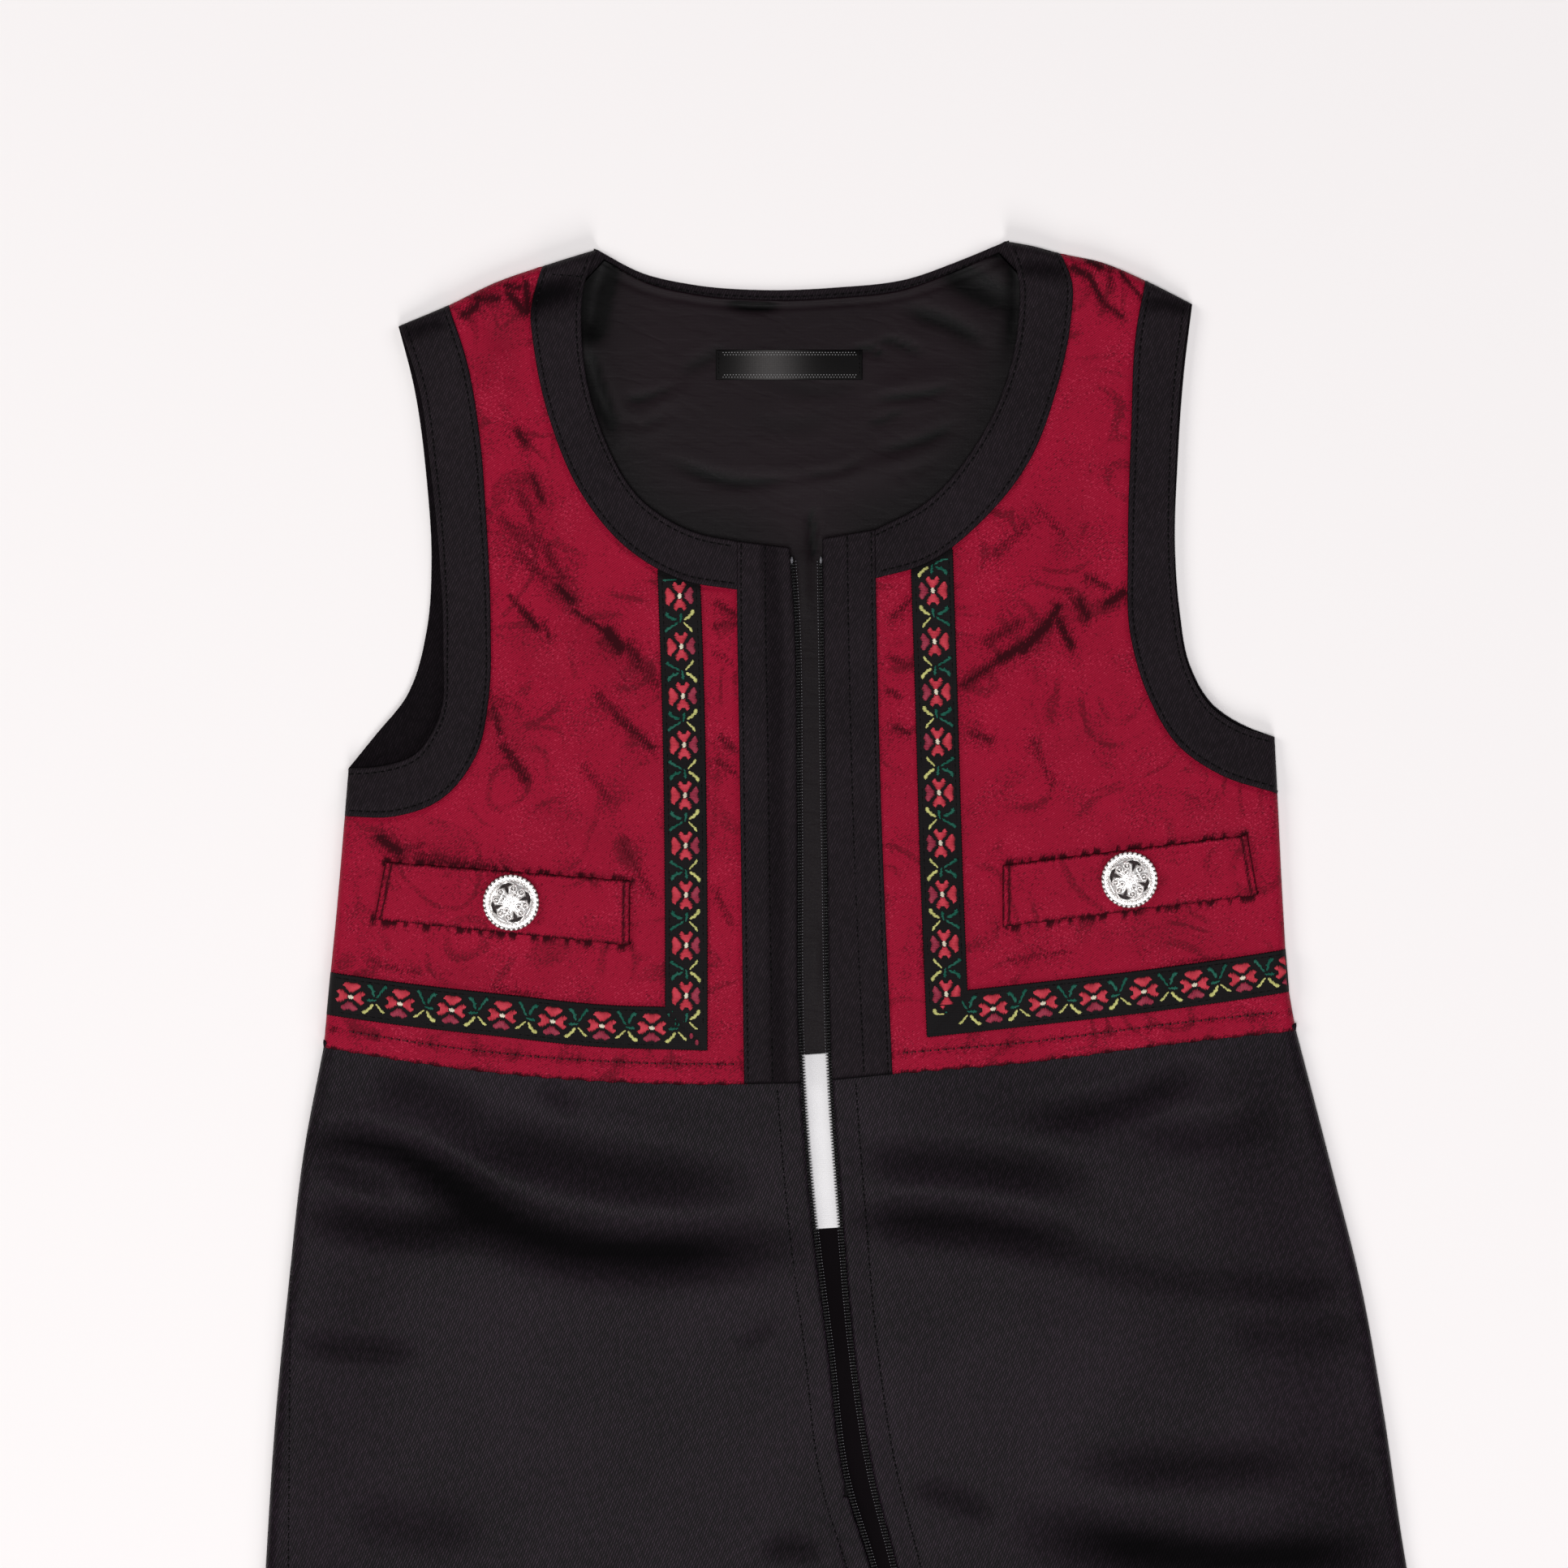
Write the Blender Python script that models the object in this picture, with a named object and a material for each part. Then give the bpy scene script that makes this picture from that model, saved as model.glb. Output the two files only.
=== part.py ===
"""A toddler's sleeveless one-piece folk suit, lying on its back, built from its cut pieces.

The tables are in millimetres and MM turns them into metres. The suit lies on z = 0 with
its neck towards +Y, and "left" is its side at -X. Each cloth piece is a wall between two
heights above a shared surface, so that neighbouring pieces follow the same form.
"""

import math
from collections import namedtuple

import bmesh
import bpy
import numpy as np
from mathutils import Vector

MM = 0.001
SIDES = ("left", "right")

# Cloth walls and the levels of the layers, from the floor up.
SEAM_GAP = 0.3
HALF_GAP = SEAM_GAP / 2
FRONT_WALL = 1.4
BACK_WALL = 1.2
LINING_WALL = 1.0
TRIM_WALL = 1.0
WELT_WALL = 1.4
EDGE_LEVEL = BACK_WALL + SEAM_GAP
LINING_TOP = EDGE_LEVEL + LINING_WALL

# The fronts: higher beside the zip, where the tapes lie under them.
BODICE_ZIP_LEVEL = 8.0
BODICE_SIDE_LEVEL = 5.4
TROUSER_DROP = 1.2
TROUSER_SIDE_LEVEL = 4.7
ZIP_SHELF = 16.0
ZIP_SLOPE = 70.0
TROUSER_BILLOW = 2.2
BILLOW_REACH = 42.0
LOWEST_FRONT, LOWEST_EASE = 3.1, 0.1

# The rolled edges, where a front turns down to meet its back.
ROLL = 3.2
ROLL_STOPS = (0.134, 0.5)
STEEP = 60.0

# Free edges settle to a level of their own within a reach.
NECK_LEVEL, NECK_REACH = 5.9, 15.0
ARMHOLE_LEVEL, ARMHOLE_REACH = 3.5, 16.0
LEG_HEM_LEVEL, LEG_HEM_REACH = 3.6, 24.0

# The length of one step along a fold, along the back's long seams and past the end of the zip.
FOLD_STEP, BACK_WAIST_STEP, CENTRE_BACK_STEP, CLOSING_STEP = 8.0, 8.0, 20.0, 4.0

# Rows along the bands and along the red fronts beside them, which share their seams: above
# the turn of the armhole, round its foot, and below it.
UPPER_ROWS, ARMHOLE_ROWS, LOWER_ROWS = 10, 7, 6
BODICE_COLUMNS, BAND_COLUMNS = 8, 3

# Rows of the other panels, a count for each stretch, and their columns.
LINING_ROWS, LINING_COLUMNS = 16, 11
LABEL_ROWS, LABEL_COLUMNS = 4, 6
PLACKET_ROWS, TAPE_ROWS = 16, 44
RIBBON_ROWS, RIBBON_COLUMNS = 12, 2
WELT_ROWS, WELT_COLUMNS = 3, 9
LEFT_LEG_ROWS, RIGHT_LEG_ROWS, LEG_COLUMNS = (18, 5, 9), (28, 1, 5), 10
STRIP_ROWS, STRIP_COLUMNS = (7, 11, 1, 5), 1
ARMHOLE_TURN = 0.62
ARMHOLE_FOOT_ON_PLACKET = {"left": 152.0, "right": 160.0}

# Outlines of the fronts; columns: x, y. Each runs from the neck or shoulder downwards.
SHOULDER = {
    "left": ((-80.3, 337.5), (-97.0, 332.3), (-112.0, 327.1), (-126.0, 320.3), (-141.5, 313.8)),
    "right": ((46.0, 340.0), (54.0, 338.6), (62.8, 336.2), (76.0, 333.4), (89.0, 327.9),
              (103.5, 320.6)),
}
NECK_SEAM_START = {"left": -97.0, "right": 62.8}
ARM_SEAM_START = {"left": -126.0, "right": 89.0}
NECK_EDGE = {
    "left": ((-80.3, 337.5), (-84.3, 325.0), (-84.9, 312.0), (-80.0, 284.8), (-65.3, 259.0),
             (-50.0, 250.0), (-37.0, 247.2)),
    "right": ((46.0, 340.0), (49.8, 328.0), (49.6, 314.0), (44.5, 292.5), (35.0, 274.5),
              (21.0, 259.0), (5.6, 250.8)),
}
NECK_SEAM = {
    "left": ((-97.0, 332.3), (-100.6, 319.0), (-99.5, 306.0), (-94.5, 284.0), (-85.0, 262.0),
             (-70.5, 244.8), (-54.0, 235.3), (-37.0, 232.3)),
    "right": ((62.8, 336.2), (66.4, 327.0), (66.0, 316.0), (61.5, 294.0), (53.0, 271.8),
              (39.0, 254.0), (21.0, 240.2), (5.8, 235.8)),
}
ARM_EDGE = {
    "left": ((-141.0, 314.0), (-135.3, 296.0), (-131.5, 270.0), (-128.6, 240.0), (-127.6, 215.0),
             (-129.3, 192.0), (-136.5, 181.5), (-147.0, 178.0), (-156.9, 177.3)),
    "right": ((102.7, 321.0), (100.0, 300.0), (98.1, 270.0), (97.6, 245.0), (98.8, 226.0),
              (102.0, 208.5), (109.0, 196.3), (118.5, 190.0), (128.9, 187.0)),
}
ARM_SEAM = {
    "left": ((-126.0, 320.3), (-120.3, 303.0), (-116.5, 281.5), (-114.3, 255.0), (-112.9, 222.0),
             (-113.5, 199.0), (-117.5, 181.0), (-128.5, 167.5), (-143.0, 162.4), (-158.1, 162.6)),
    "right": ((89.0, 327.9), (86.3, 314.0), (84.5, 281.5), (83.5, 245.0), (84.3, 218.0),
              (90.0, 199.0), (99.0, 184.3), (112.0, 175.3), (129.8, 169.5)),
}
BODICE_SIDE = {
    "left": ((-156.9, 177.3), (-158.1, 162.6), (-161.0, 129.0), (-163.0, 109.0), (-164.6, 91.3)),
    "right": ((128.9, 187.0), (129.8, 169.5), (131.8, 130.0), (133.3, 109.0), (135.5, 96.5)),
}
PLACKET_SEAM = {
    "left": ((-37.0, 247.2), (-37.0, 232.3), (-36.2, 180.0), (-34.8, 80.1)),
    "right": ((5.6, 250.8), (5.8, 235.8), (7.6, 160.0), (10.9, 83.2)),
}
HEM = {
    "left": ((-164.6, 91.3), (-126.5, 85.2), (-81.5, 81.0), (-34.8, 80.1), (-17.4, 80.4)),
    "right": ((135.5, 96.5), (98.5, 92.5), (53.5, 86.8), (10.9, 83.2), (-7.6, 81.3)),
}

# The zip opens between two edges that run on down the inner side of the right leg.
ZIP_TOP = 242.5
ZIP_EDGE = {
    "left": ((-20.8, 245.2), (-19.4, 225.0), (-18.5, 165.0), (-17.4, 80.4), (-14.0, 39.0),
             (-9.0, -1.0), (-3.6, -43.0), (4.4, -69.0), (12.3, -101.0), (24.9, -161.0),
             (34.3, -212.0), (34.3, -222.0), (36.0, -231.5)),
    "right": ((-10.7, 248.0), (-10.2, 215.0), (-9.2, 150.0), (-7.6, 81.3), (-4.5, 39.0),
              (-1.0, -1.0), (5.2, -41.0), (12.3, -69.0), (19.6, -101.0), (32.2, -161.0),
              (41.8, -212.0), (43.9, -222.0), (45.6, -231.5)),
}
ZIP_END = (42.3, -240.5)
LEG_SEAM_FOOT = (58.0, -340.0)

# Trousers: side lines, the seam from the zip to the crotch, and the inner leg lines.
TROUSER_SIDE = {
    "left": ((-164.6, 91.3), (-170.7, 59.0), (-175.3, 19.0), (-179.3, -21.0), (-182.0, -61.0),
             (-184.5, -110.0), (-186.0, -200.0), (-184.5, -340.0)),
    "right": ((135.5, 96.5), (140.6, 77.0), (147.8, 49.0), (155.3, 19.0), (162.5, -21.0),
              (168.3, -61.0), (175.8, -105.0), (182.6, -165.0), (186.0, -245.0), (185.0, -340.0)),
}
CROTCH = (0.0, -101.0)
CENTRE_SEAM = ((-3.6, -43.0), (-5.4, -58.5), (-3.2, -76.0), CROTCH)
STRIP_TOP = -47.0
INNER_LEG = {
    "left": (CROTCH, (-9.0, -161.0), (-21.0, -236.0), (-44.0, -340.0)),
    "right": (CROTCH, (12.2, -161.0), (26.0, -236.0), (45.0, -340.0)),
}

# Outlines of the back and of the lining that shows in the neck opening.
BACK_NECK_EDGE = ((-80.3, 337.5), (-66.5, 330.3), (-51.5, 326.8), (-29.0, 325.0), (-6.5, 325.8),
                  (16.0, 328.5), (31.0, 333.8), (46.0, 340.0))
BACK_NECK_SEAM = ((-97.0, 332.3), (-80.0, 320.0), (-60.0, 312.6), (-18.0, 308.5), (24.0, 315.0),
                  (44.0, 323.0), (62.8, 336.2))
BACK_ARM_EDGE = {
    "left": ((-141.5, 313.8), (-137.0, 296.5), (-132.8, 266.5), (-131.3, 240.0), (-132.6, 221.0),
             (-139.3, 199.0), (-148.0, 188.3), (-156.9, 177.3)),
    "right": ((103.5, 320.6), (101.0, 300.0), (99.0, 272.0), (98.2, 245.0), (99.6, 226.0),
              (102.8, 209.0), (109.8, 197.0), (119.0, 190.8), (128.9, 187.0)),
}
BACK_WAIST = ((-164.6, 91.3), (-90.0, 82.4), (-13.0, 80.0), (62.0, 87.0), (135.5, 96.5))
LINING_SIDE = {
    "left": ((-78.0, 334.4), (-86.0, 325.0), (-92.0, 308.0), (-90.0, 280.0), (-78.0, 252.0),
             (-60.0, 237.0), (-44.0, 215.0), (-36.0, 150.0), (-33.0, 84.0)),
    "right": ((43.8, 336.6), (53.0, 326.0), (58.0, 308.0), (53.0, 282.0), (41.0, 262.0),
              (25.0, 247.0), (10.0, 225.0), (6.0, 150.0), (8.0, 84.0)),
}
SLOT_LINING_TOP, SLOT_LINING_FOOT, SLOT_LINING_MARGIN = 83.7, -84.0, 9.0

# Folds; columns: start x, start y, middle x, middle y, end x, end y, depth, half width.
Fold = namedtuple("Fold", "x0 y0 xm ym x1 y1 depth width")
TROUSER_FOLDS = (
    Fold(-170, 63, -112, 46, -30, 30, 2.6, 9.0),
    Fold(-172, 42, -136, 36, -100, 32, 1.6, 7.0),
    Fold(-86, 66, -62, 58, -38, 48, 1.2, 8.0),
    Fold(-168, 3, -152, 0, -136, -4, 0.9, 7.0),
    Fold(-168, -64, -128, -70, -84, -66, 1.0, 9.0),
    Fold(-170, -150, -120, -160, -60, -148, 1.2, 12.0),
    Fold(-160, -250, -110, -244, -70, -254, 0.9, 12.0),
    Fold(55, 76, 86, 82, 108, 86, 1.4, 7.0),
    Fold(98, 68, 114, 67, 130, 69, 1.2, 6.0),
    Fold(10, 52, 38, 55, 70, 50, 1.5, 8.0),
    Fold(8, 40, 74, 28, 140, 14, 2.6, 10.0),
    Fold(66, -38, 92, -36, 118, -33, 1.3, 9.0),
    Fold(70, -62, 118, -60, 164, -63, 2.2, 10.0),
    Fold(70, -150, 120, -160, 168, -152, 1.2, 12.0),
    Fold(84, -256, 124, -248, 166, -258, 0.9, 12.0),
)
BODICE_FOLDS = (
    Fold(-92, 236, -78, 216, -60, 198, 0.7, 7.0),
    Fold(-116, 200, -108, 186, -100, 172, 0.6, 6.0),
    Fold(34, 200, 58, 222, 82, 238, 0.7, 7.0),
    Fold(-104, 318, -112, 306, -118, 292, 0.6, 6.0),
)
LINING_FOLDS = (
    Fold(-39, 266, 6, 270, 31, 279, -1.0, 5.0),
    Fold(1, 291, 18, 297, 31, 299, -0.9, 4.0),
    Fold(-66, 288, -58, 292, -50, 294, -0.9, 4.0),
    Fold(-76, 281, -66, 283, -56, 284, -0.8, 4.0),
)

# How high the lip is beside a trough and how many widths away, how far a fold reaches, and
# the distance from the zip within which the cloth stays calm.
FOLD_LIP, LIP_PLACE, FOLD_RANGE = 0.45, 1.8, 4
FOLD_CALM = 12.0

# Ribbons: the centre line from the neck band down, its corner, and out to the side.
RIBBON_WIDTH = 13.0
RIBBON_DOWN = {
    "left": ((-54.8, 235.4), (-53.6, 200.0), (-52.6, 130.0), (-52.6, 97.2)),
    "right": ((23.0, 241.5), (24.2, 205.0), (26.0, 145.0), (27.7, 101.8)),
}
RIBBON_OUT = {
    "left": ((-52.6, 97.2), (-78.6, 98.0), (-109.3, 101.2), (-140.8, 104.8), (-166.0, 108.4)),
    "right": ((27.7, 101.8), (57.3, 105.0), (88.4, 108.6), (118.8, 112.8), (137.0, 115.7)),
}

# Pocket welts and the buttons on them; corners go round from the upper left one.
WELT_CORNERS = {
    "left": ((-145.3, 148.5), (-69.8, 142.7), (-70.0, 122.8), (-148.7, 130.8)),
    "right": ((44.8, 147.5), (120.3, 156.8), (123.5, 138.3), (44.8, 128.5)),
}
BUTTON_CENTRE = {"left": (-106.5, 136.0), "right": (83.8, 143.0)}
BUTTON_TURN = {"left": 17.0, "right": -17.0}
BUTTON_RADIUS = 8.75
BUTTON_DOME = 3.6
BUTTON_SIDES = 20

# The button's rim, from its underside up; columns: distance in from the radius, height.
BUTTON_RIM = ((0.5, 0.0), (0.0, 0.5), (0.0, 1.2), (0.75, 1.7))
DOME_INSET, DOME_FOOT, DOME_STEPS = 1.6, 1.4, 4

# The openings: three-lobed wells round the dome, from their floor up.
OPENING_COUNT, OPENING_SIDES, OPENING_LOBE = 4, 9, 0.28
OPENING_REACH, OPENING_RADIUS, OPENING_FLOOR = 5.3, 1.75, 1.3

# Labels, bare; columns: centre x, centre y, width, length, turn in degrees.
Label = namedtuple("Label", "x y width length turn")
NECK_LABEL = Label(-20.9, 301.8, 45.2, 9.2, 0.0)
CARE_LABEL = Label(-10.8, 62.4, 26.0, 54.0, 3.7)

# Zip tapes, slider and pull; the slider's own axes are its width, the zip and up.
TAPE_OVER = 0.9
TAPE_UNDER = 6.5
TAPE_TOP_BODICE = BODICE_ZIP_LEVEL - FRONT_WALL - SEAM_GAP
TAPE_TOP_TROUSER = TAPE_TOP_BODICE - TROUSER_DROP
TAPE_RAMP = (112.0, 84.0)
TAPE_WALL = 1.0
SLIDER_AT = (39.7, -226.0)
SLIDER_TURN = 9.5
SLIDER_SIZE, SLIDER_BEVEL = (7.0, 9.0, 3.6), 0.5
SLIDER_FLOOR = 3.3
ARCH_LENGTH, ARCH_WIDTH, ARCH_POST, ARCH_CLEAR, ARCH_BAR = 6.8, 1.6, 0.9, 1.9, 0.8
ARCH_SINK, ARCH_BEVEL = 0.4, 0.3
PULL_WIDTH, PULL_LENGTH, PULL_THICK, PULL_BEVEL = 5.0, 17.0, 1.0, 0.25
PULL_BAR = 1.1
PULL_WINDOW = (2.9, 4.25)

# Colours; columns: red, green, blue, roughness, metallic.
COLOURS = {
    "jacquard": (0.33, 0.008, 0.035, 0.75, 0.0),
    "twill": (0.015, 0.014, 0.018, 0.70, 0.0),
    "satin_twill": (0.011, 0.010, 0.013, 0.45, 0.0),
    "lining": (0.014, 0.013, 0.013, 0.50, 0.0),
    "ribbon": (0.010, 0.009, 0.010, 0.80, 0.0),
    "silver": (0.75, 0.74, 0.72, 0.25, 1.0),
    "black_metal": (0.02, 0.02, 0.02, 0.35, 0.6),
    "label_black": (0.008, 0.008, 0.009, 0.35, 0.0),
    "label_white": (0.80, 0.80, 0.80, 0.40, 0.0),
}


# ---------------------------------------------------------------- lines in the plane


def smooth_line(points, step=6.0):
    """A smooth curve through the points, as a polyline of about one step a side."""
    points = np.array(points, float)
    if len(points) == 2:
        count = max(2, int(np.hypot(*(points[1] - points[0])) / step) + 1)
        return points[0] + np.linspace(0, 1, count)[:, None] * (points[1] - points[0])
    knots = np.concatenate([[0], np.cumsum(np.hypot(*np.diff(points, axis=0).T))])
    slopes = np.gradient(points, knots, axis=0)
    line = [points[:1]]
    for i, length in enumerate(np.diff(knots)):
        t = np.linspace(0, 1, max(2, int(length / step) + 1))[1:, None]
        line.append(
            (2 * t**3 - 3 * t**2 + 1) * points[i]
            + (t**3 - 2 * t**2 + t) * length * slopes[i]
            + (3 * t**2 - 2 * t**3) * points[i + 1]
            + (t**3 - t**2) * length * slopes[i + 1]
        )
    return np.concatenate(line)


def arc_lengths(line):
    """The distance along the line of each of its points."""
    return np.concatenate([[0], np.cumsum(np.hypot(*np.diff(line, axis=0).T))])


def along(line, fractions):
    """Points of the line at these fractions of its length."""
    lengths = arc_lengths(line)
    at = np.asarray(fractions) * lengths[-1]
    return np.stack([np.interp(at, lengths, line[:, k]) for k in (0, 1)], axis=-1)


def stretch(line, axis, start, end):
    """The part of the line between two values of x (axis 0) or y (axis 1)."""
    lengths = arc_lengths(line)
    values = line[:, axis]
    if values[-1] < values[0]:
        values, start, end = -values, -start, -end
    low, high = np.interp([start, end], values, lengths)
    inside = (lengths > low + 1e-6) & (lengths < high - 1e-6)
    ends = along(line, np.array([low, high]) / lengths[-1])
    return np.concatenate([ends[:1], line[inside], ends[1:]])


def halves(line, fraction):
    """The line in two parts that meet at this fraction of its length."""
    lengths = arc_lengths(line)
    inside = lengths < fraction * lengths[-1]
    middle = along(line, [fraction])
    return np.concatenate([line[inside], middle]), np.concatenate([middle, line[~inside]])


def shifted(line, distance):
    """The line moved sideways, to the left of its direction for a positive distance."""
    tangent = np.gradient(line, arc_lengths(line), axis=0)
    tangent /= np.hypot(*tangent.T)[:, None]
    return line + distance * np.stack([-tangent[:, 1], tangent[:, 0]], axis=-1)


def distance_to(point, line):
    """The shortest distance, the side (1 left, -1 right) and the fraction along the line."""
    start, edge = line[:-1], np.diff(line, axis=0)
    square = (edge**2).sum(axis=1)
    t = np.clip(((point - start) * edge).sum(axis=1) / square, 0, 1)
    away = point - (start + t[:, None] * edge)
    gaps = np.hypot(*away.T)
    k = int(gaps.argmin())
    cross = edge[k, 0] * away[k, 1] - edge[k, 1] * away[k, 0]
    return gaps[k], math.copysign(1, cross), (k + t[k]) / len(edge)


def smooth_step(value):
    """Nought to one, with flat ends."""
    t = min(max(value, 0.0), 1.0)
    return t * t * (3 - 2 * t)


def line_set(table):
    """A smooth line for each side."""
    return {side: smooth_line(table[side]) for side in SIDES}


shoulder = line_set(SHOULDER)
neck_edge = line_set(NECK_EDGE)
neck_seam = line_set(NECK_SEAM)
arm_edge = line_set(ARM_EDGE)
arm_seam = line_set(ARM_SEAM)
bodice_side = line_set(BODICE_SIDE)
placket_seam = line_set(PLACKET_SEAM)
hem = line_set(HEM)
zip_edge = line_set(ZIP_EDGE)
trouser_side = line_set(TROUSER_SIDE)
inner_leg = line_set(INNER_LEG)
back_arm_edge = line_set(BACK_ARM_EDGE)
lining_side = line_set(LINING_SIDE)
centre_seam = smooth_line(CENTRE_SEAM)
leg_seam = smooth_line((ZIP_END, LEG_SEAM_FOOT))
zip_centre = smooth_line([
    (a + b) / 2 for a, b in zip(*(along(zip_edge[side], np.linspace(0, 1, 30)) for side in SIDES))
])


# ---------------------------------------------------------------- the cloth's surfaces


class Crease:
    """A soft trough with a lip on its upper side, or a ridge, along a curved line."""

    def __init__(self, fold):
        """Draws the fold's line from left to right."""
        self.line = smooth_line(((fold.x0, fold.y0), (fold.xm, fold.ym), (fold.x1, fold.y1)), FOLD_STEP)
        if self.line[0, 0] > self.line[-1, 0]:
            self.line = self.line[::-1]
        self.depth = fold.depth
        self.width = fold.width

    def rise(self, point):
        """How far the fold lifts or lowers the cloth at this point."""
        gap, side, fraction = distance_to(point, self.line)
        if gap > FOLD_RANGE * self.width:
            return 0.0
        taper = math.sqrt(math.sin(math.pi * fraction)) if 0 < fraction < 1 else 0.0
        rise = -self.depth * math.exp(-((gap / self.width) ** 2))
        if self.depth > 0:
            rise += FOLD_LIP * self.depth * math.exp(-((side * gap / self.width - LIP_PLACE) ** 2))
        return taper * rise


class Surface:
    """The outer surface of a layer of cloth, as a height over the floor."""

    def __init__(self, crown, rolls=(), free_edges=(), folds=()):
        """Takes the level of the layer, the lines where it turns down, its edges and folds."""
        self.crown = crown
        self.rolls = rolls
        self.free_edges = free_edges
        self.creases = [Crease(fold) for fold in folds]

    def height(self, point, steep=False):
        """The height over the floor; steep lets it drop on past the rolled edge."""
        point = np.asarray(point, float)
        top = self.crown(point)
        if self.creases:
            calm = smooth_step((distance_to(point, zip_centre)[0] - FOLD_CALM) / FOLD_CALM)
            top += calm * sum(crease.rise(point) for crease in self.creases)
        for line, level, reach in self.free_edges:
            clear = max(smooth_step(distance_to(point, line)[0] / reach), zip_nearness(point))
            top = level + (top - level) * clear
        if self.rolls:
            above = top - LOWEST_FRONT
            top = LOWEST_FRONT + (above + math.sqrt(above * above + LOWEST_EASE)) / 2
            inset = min(distance_to(point, line)[0] for line in self.rolls) - HALF_GAP
            turn = 1 - min(max(inset / ROLL, 0.0), 1.0)
            top = EDGE_LEVEL + (top - EDGE_LEVEL) * math.sqrt(1 - turn * turn)
            if steep and inset <= 0:
                top += STEEP * inset
        return top

    def normal(self, point):
        """The direction out of the surface, which leans over past a rolled edge."""
        x, y = point
        h = 1e-3
        slope_x = (self.height((x + h, y), True) - self.height((x - h, y), True)) / (2 * h)
        slope_y = (self.height((x, y + h), True) - self.height((x, y - h), True)) / (2 * h)
        return Vector((-slope_x, -slope_y, 1)).normalized()

    def place(self, point, lift):
        """The point of space this far out from the surface."""
        base = Vector((point[0], point[1], self.height(point)))
        return (base + lift * self.normal(point)) * MM


def zip_nearness(point):
    """One beside the zip, falling to nought away from it."""
    return 1 - smooth_step((distance_to(point, zip_centre)[0] - ZIP_SHELF) / ZIP_SLOPE)


def bodice_crown(point):
    """The height of the red fronts, higher beside the zip."""
    return BODICE_SIDE_LEVEL + (BODICE_ZIP_LEVEL - BODICE_SIDE_LEVEL) * zip_nearness(point)


def trouser_crown(point):
    """A shelf beside the zip, a step down at the hem, and a billow over each leg."""
    near = zip_nearness(point)
    low = TROUSER_SIDE_LEVEL + (BODICE_ZIP_LEVEL - TROUSER_DROP - TROUSER_SIDE_LEVEL) * near
    lines = [trouser_side[side] for side in SIDES] + [hem[side] for side in SIDES]
    lines += [inner_leg[side] for side in SIDES]
    clear = min(distance_to(point, line)[0] for line in lines)
    return low + TROUSER_BILLOW * smooth_step(clear / BILLOW_REACH) * (1 - near)


def lining_crown(point):
    """The level of the lining."""
    return LINING_TOP


def tape_crown(point):
    """The level of the zip tapes, which step down at the hem."""
    start, end = TAPE_RAMP
    down = smooth_step((start - point[1]) / (start - end))
    return TAPE_TOP_BODICE + (TAPE_TOP_TROUSER - TAPE_TOP_BODICE) * down


bodice_surface = {
    side: Surface(
        bodice_crown,
        rolls=(shoulder[side], bodice_side[side]),
        free_edges=(
            (neck_edge[side], NECK_LEVEL, NECK_REACH),
            (arm_edge[side], ARMHOLE_LEVEL, ARMHOLE_REACH),
        ),
        folds=BODICE_FOLDS,
    )
    for side in SIDES
}
trouser_surface = Surface(
    trouser_crown,
    rolls=[trouser_side[side] for side in SIDES] + [inner_leg[side] for side in SIDES],
    free_edges=[
        (smooth_line((trouser_side[side][-1], inner_leg[side][-1])), LEG_HEM_LEVEL, LEG_HEM_REACH)
        for side in SIDES
    ],
    folds=TROUSER_FOLDS,
)
lining_surface = Surface(lining_crown, folds=LINING_FOLDS)
tape_surface = Surface(tape_crown)


# ---------------------------------------------------------------- grids over the plane

Stretch = namedtuple("Stretch", "left right rows roll_start roll_end", defaults=(False, False))


def stations(length, count, roll_start=False, roll_end=False):
    """Fractions of a length: even steps, with closer ones where the cloth rolls over."""
    near = [0.0] + [(HALF_GAP + ROLL * stop) / length for stop in ROLL_STOPS]
    rolled = (HALF_GAP + ROLL) / length
    first = rolled if roll_start else 0.0
    last = 1 - rolled if roll_end else 1.0
    head = near if roll_start else []
    tail = [1 - stop for stop in reversed(near)] if roll_end else []
    return np.array([*head, *np.linspace(first, last, count + 1), *tail])


def bulge(line, fractions):
    """How far the line leaves the straight line between its ends, at these fractions."""
    straight = line[0] + np.asarray(fractions)[:, None] * (line[-1] - line[0])
    return along(line, fractions) - straight


def panel_grid(stretches, columns, roll_left=False, roll_right=False, top=None, bottom=None):
    """Rows of points between the left and right lines of the stretches, from the top down.

    The top and bottom lines run from left to right, and their own curve fades into the panel.
    """
    lefts, rights = [], []
    for k, part in enumerate(stretches):
        for line, points in ((part.left, lefts), (part.right, rights)):
            length = arc_lengths(line)[-1]
            fractions = stations(length, part.rows, part.roll_start, part.roll_end)
            points.extend(along(line, fractions)[1 if k else 0:])
    down = (arc_lengths(np.array(lefts)) / arc_lengths(np.array(lefts))[-1]
            + arc_lengths(np.array(rights)) / arc_lengths(np.array(rights))[-1]) / 2
    grid = []
    for left, right, depth in zip(lefts, rights, down):
        fractions = stations(np.hypot(*(right - left)), columns, roll_left, roll_right)
        row = left + fractions[:, None] * (right - left)
        if top is not None:
            row = row + (1 - depth) * bulge(top, fractions)
        if bottom is not None:
            row = row + depth * bulge(bottom, fractions)
        grid.append(row)
    return np.array(grid)


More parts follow.
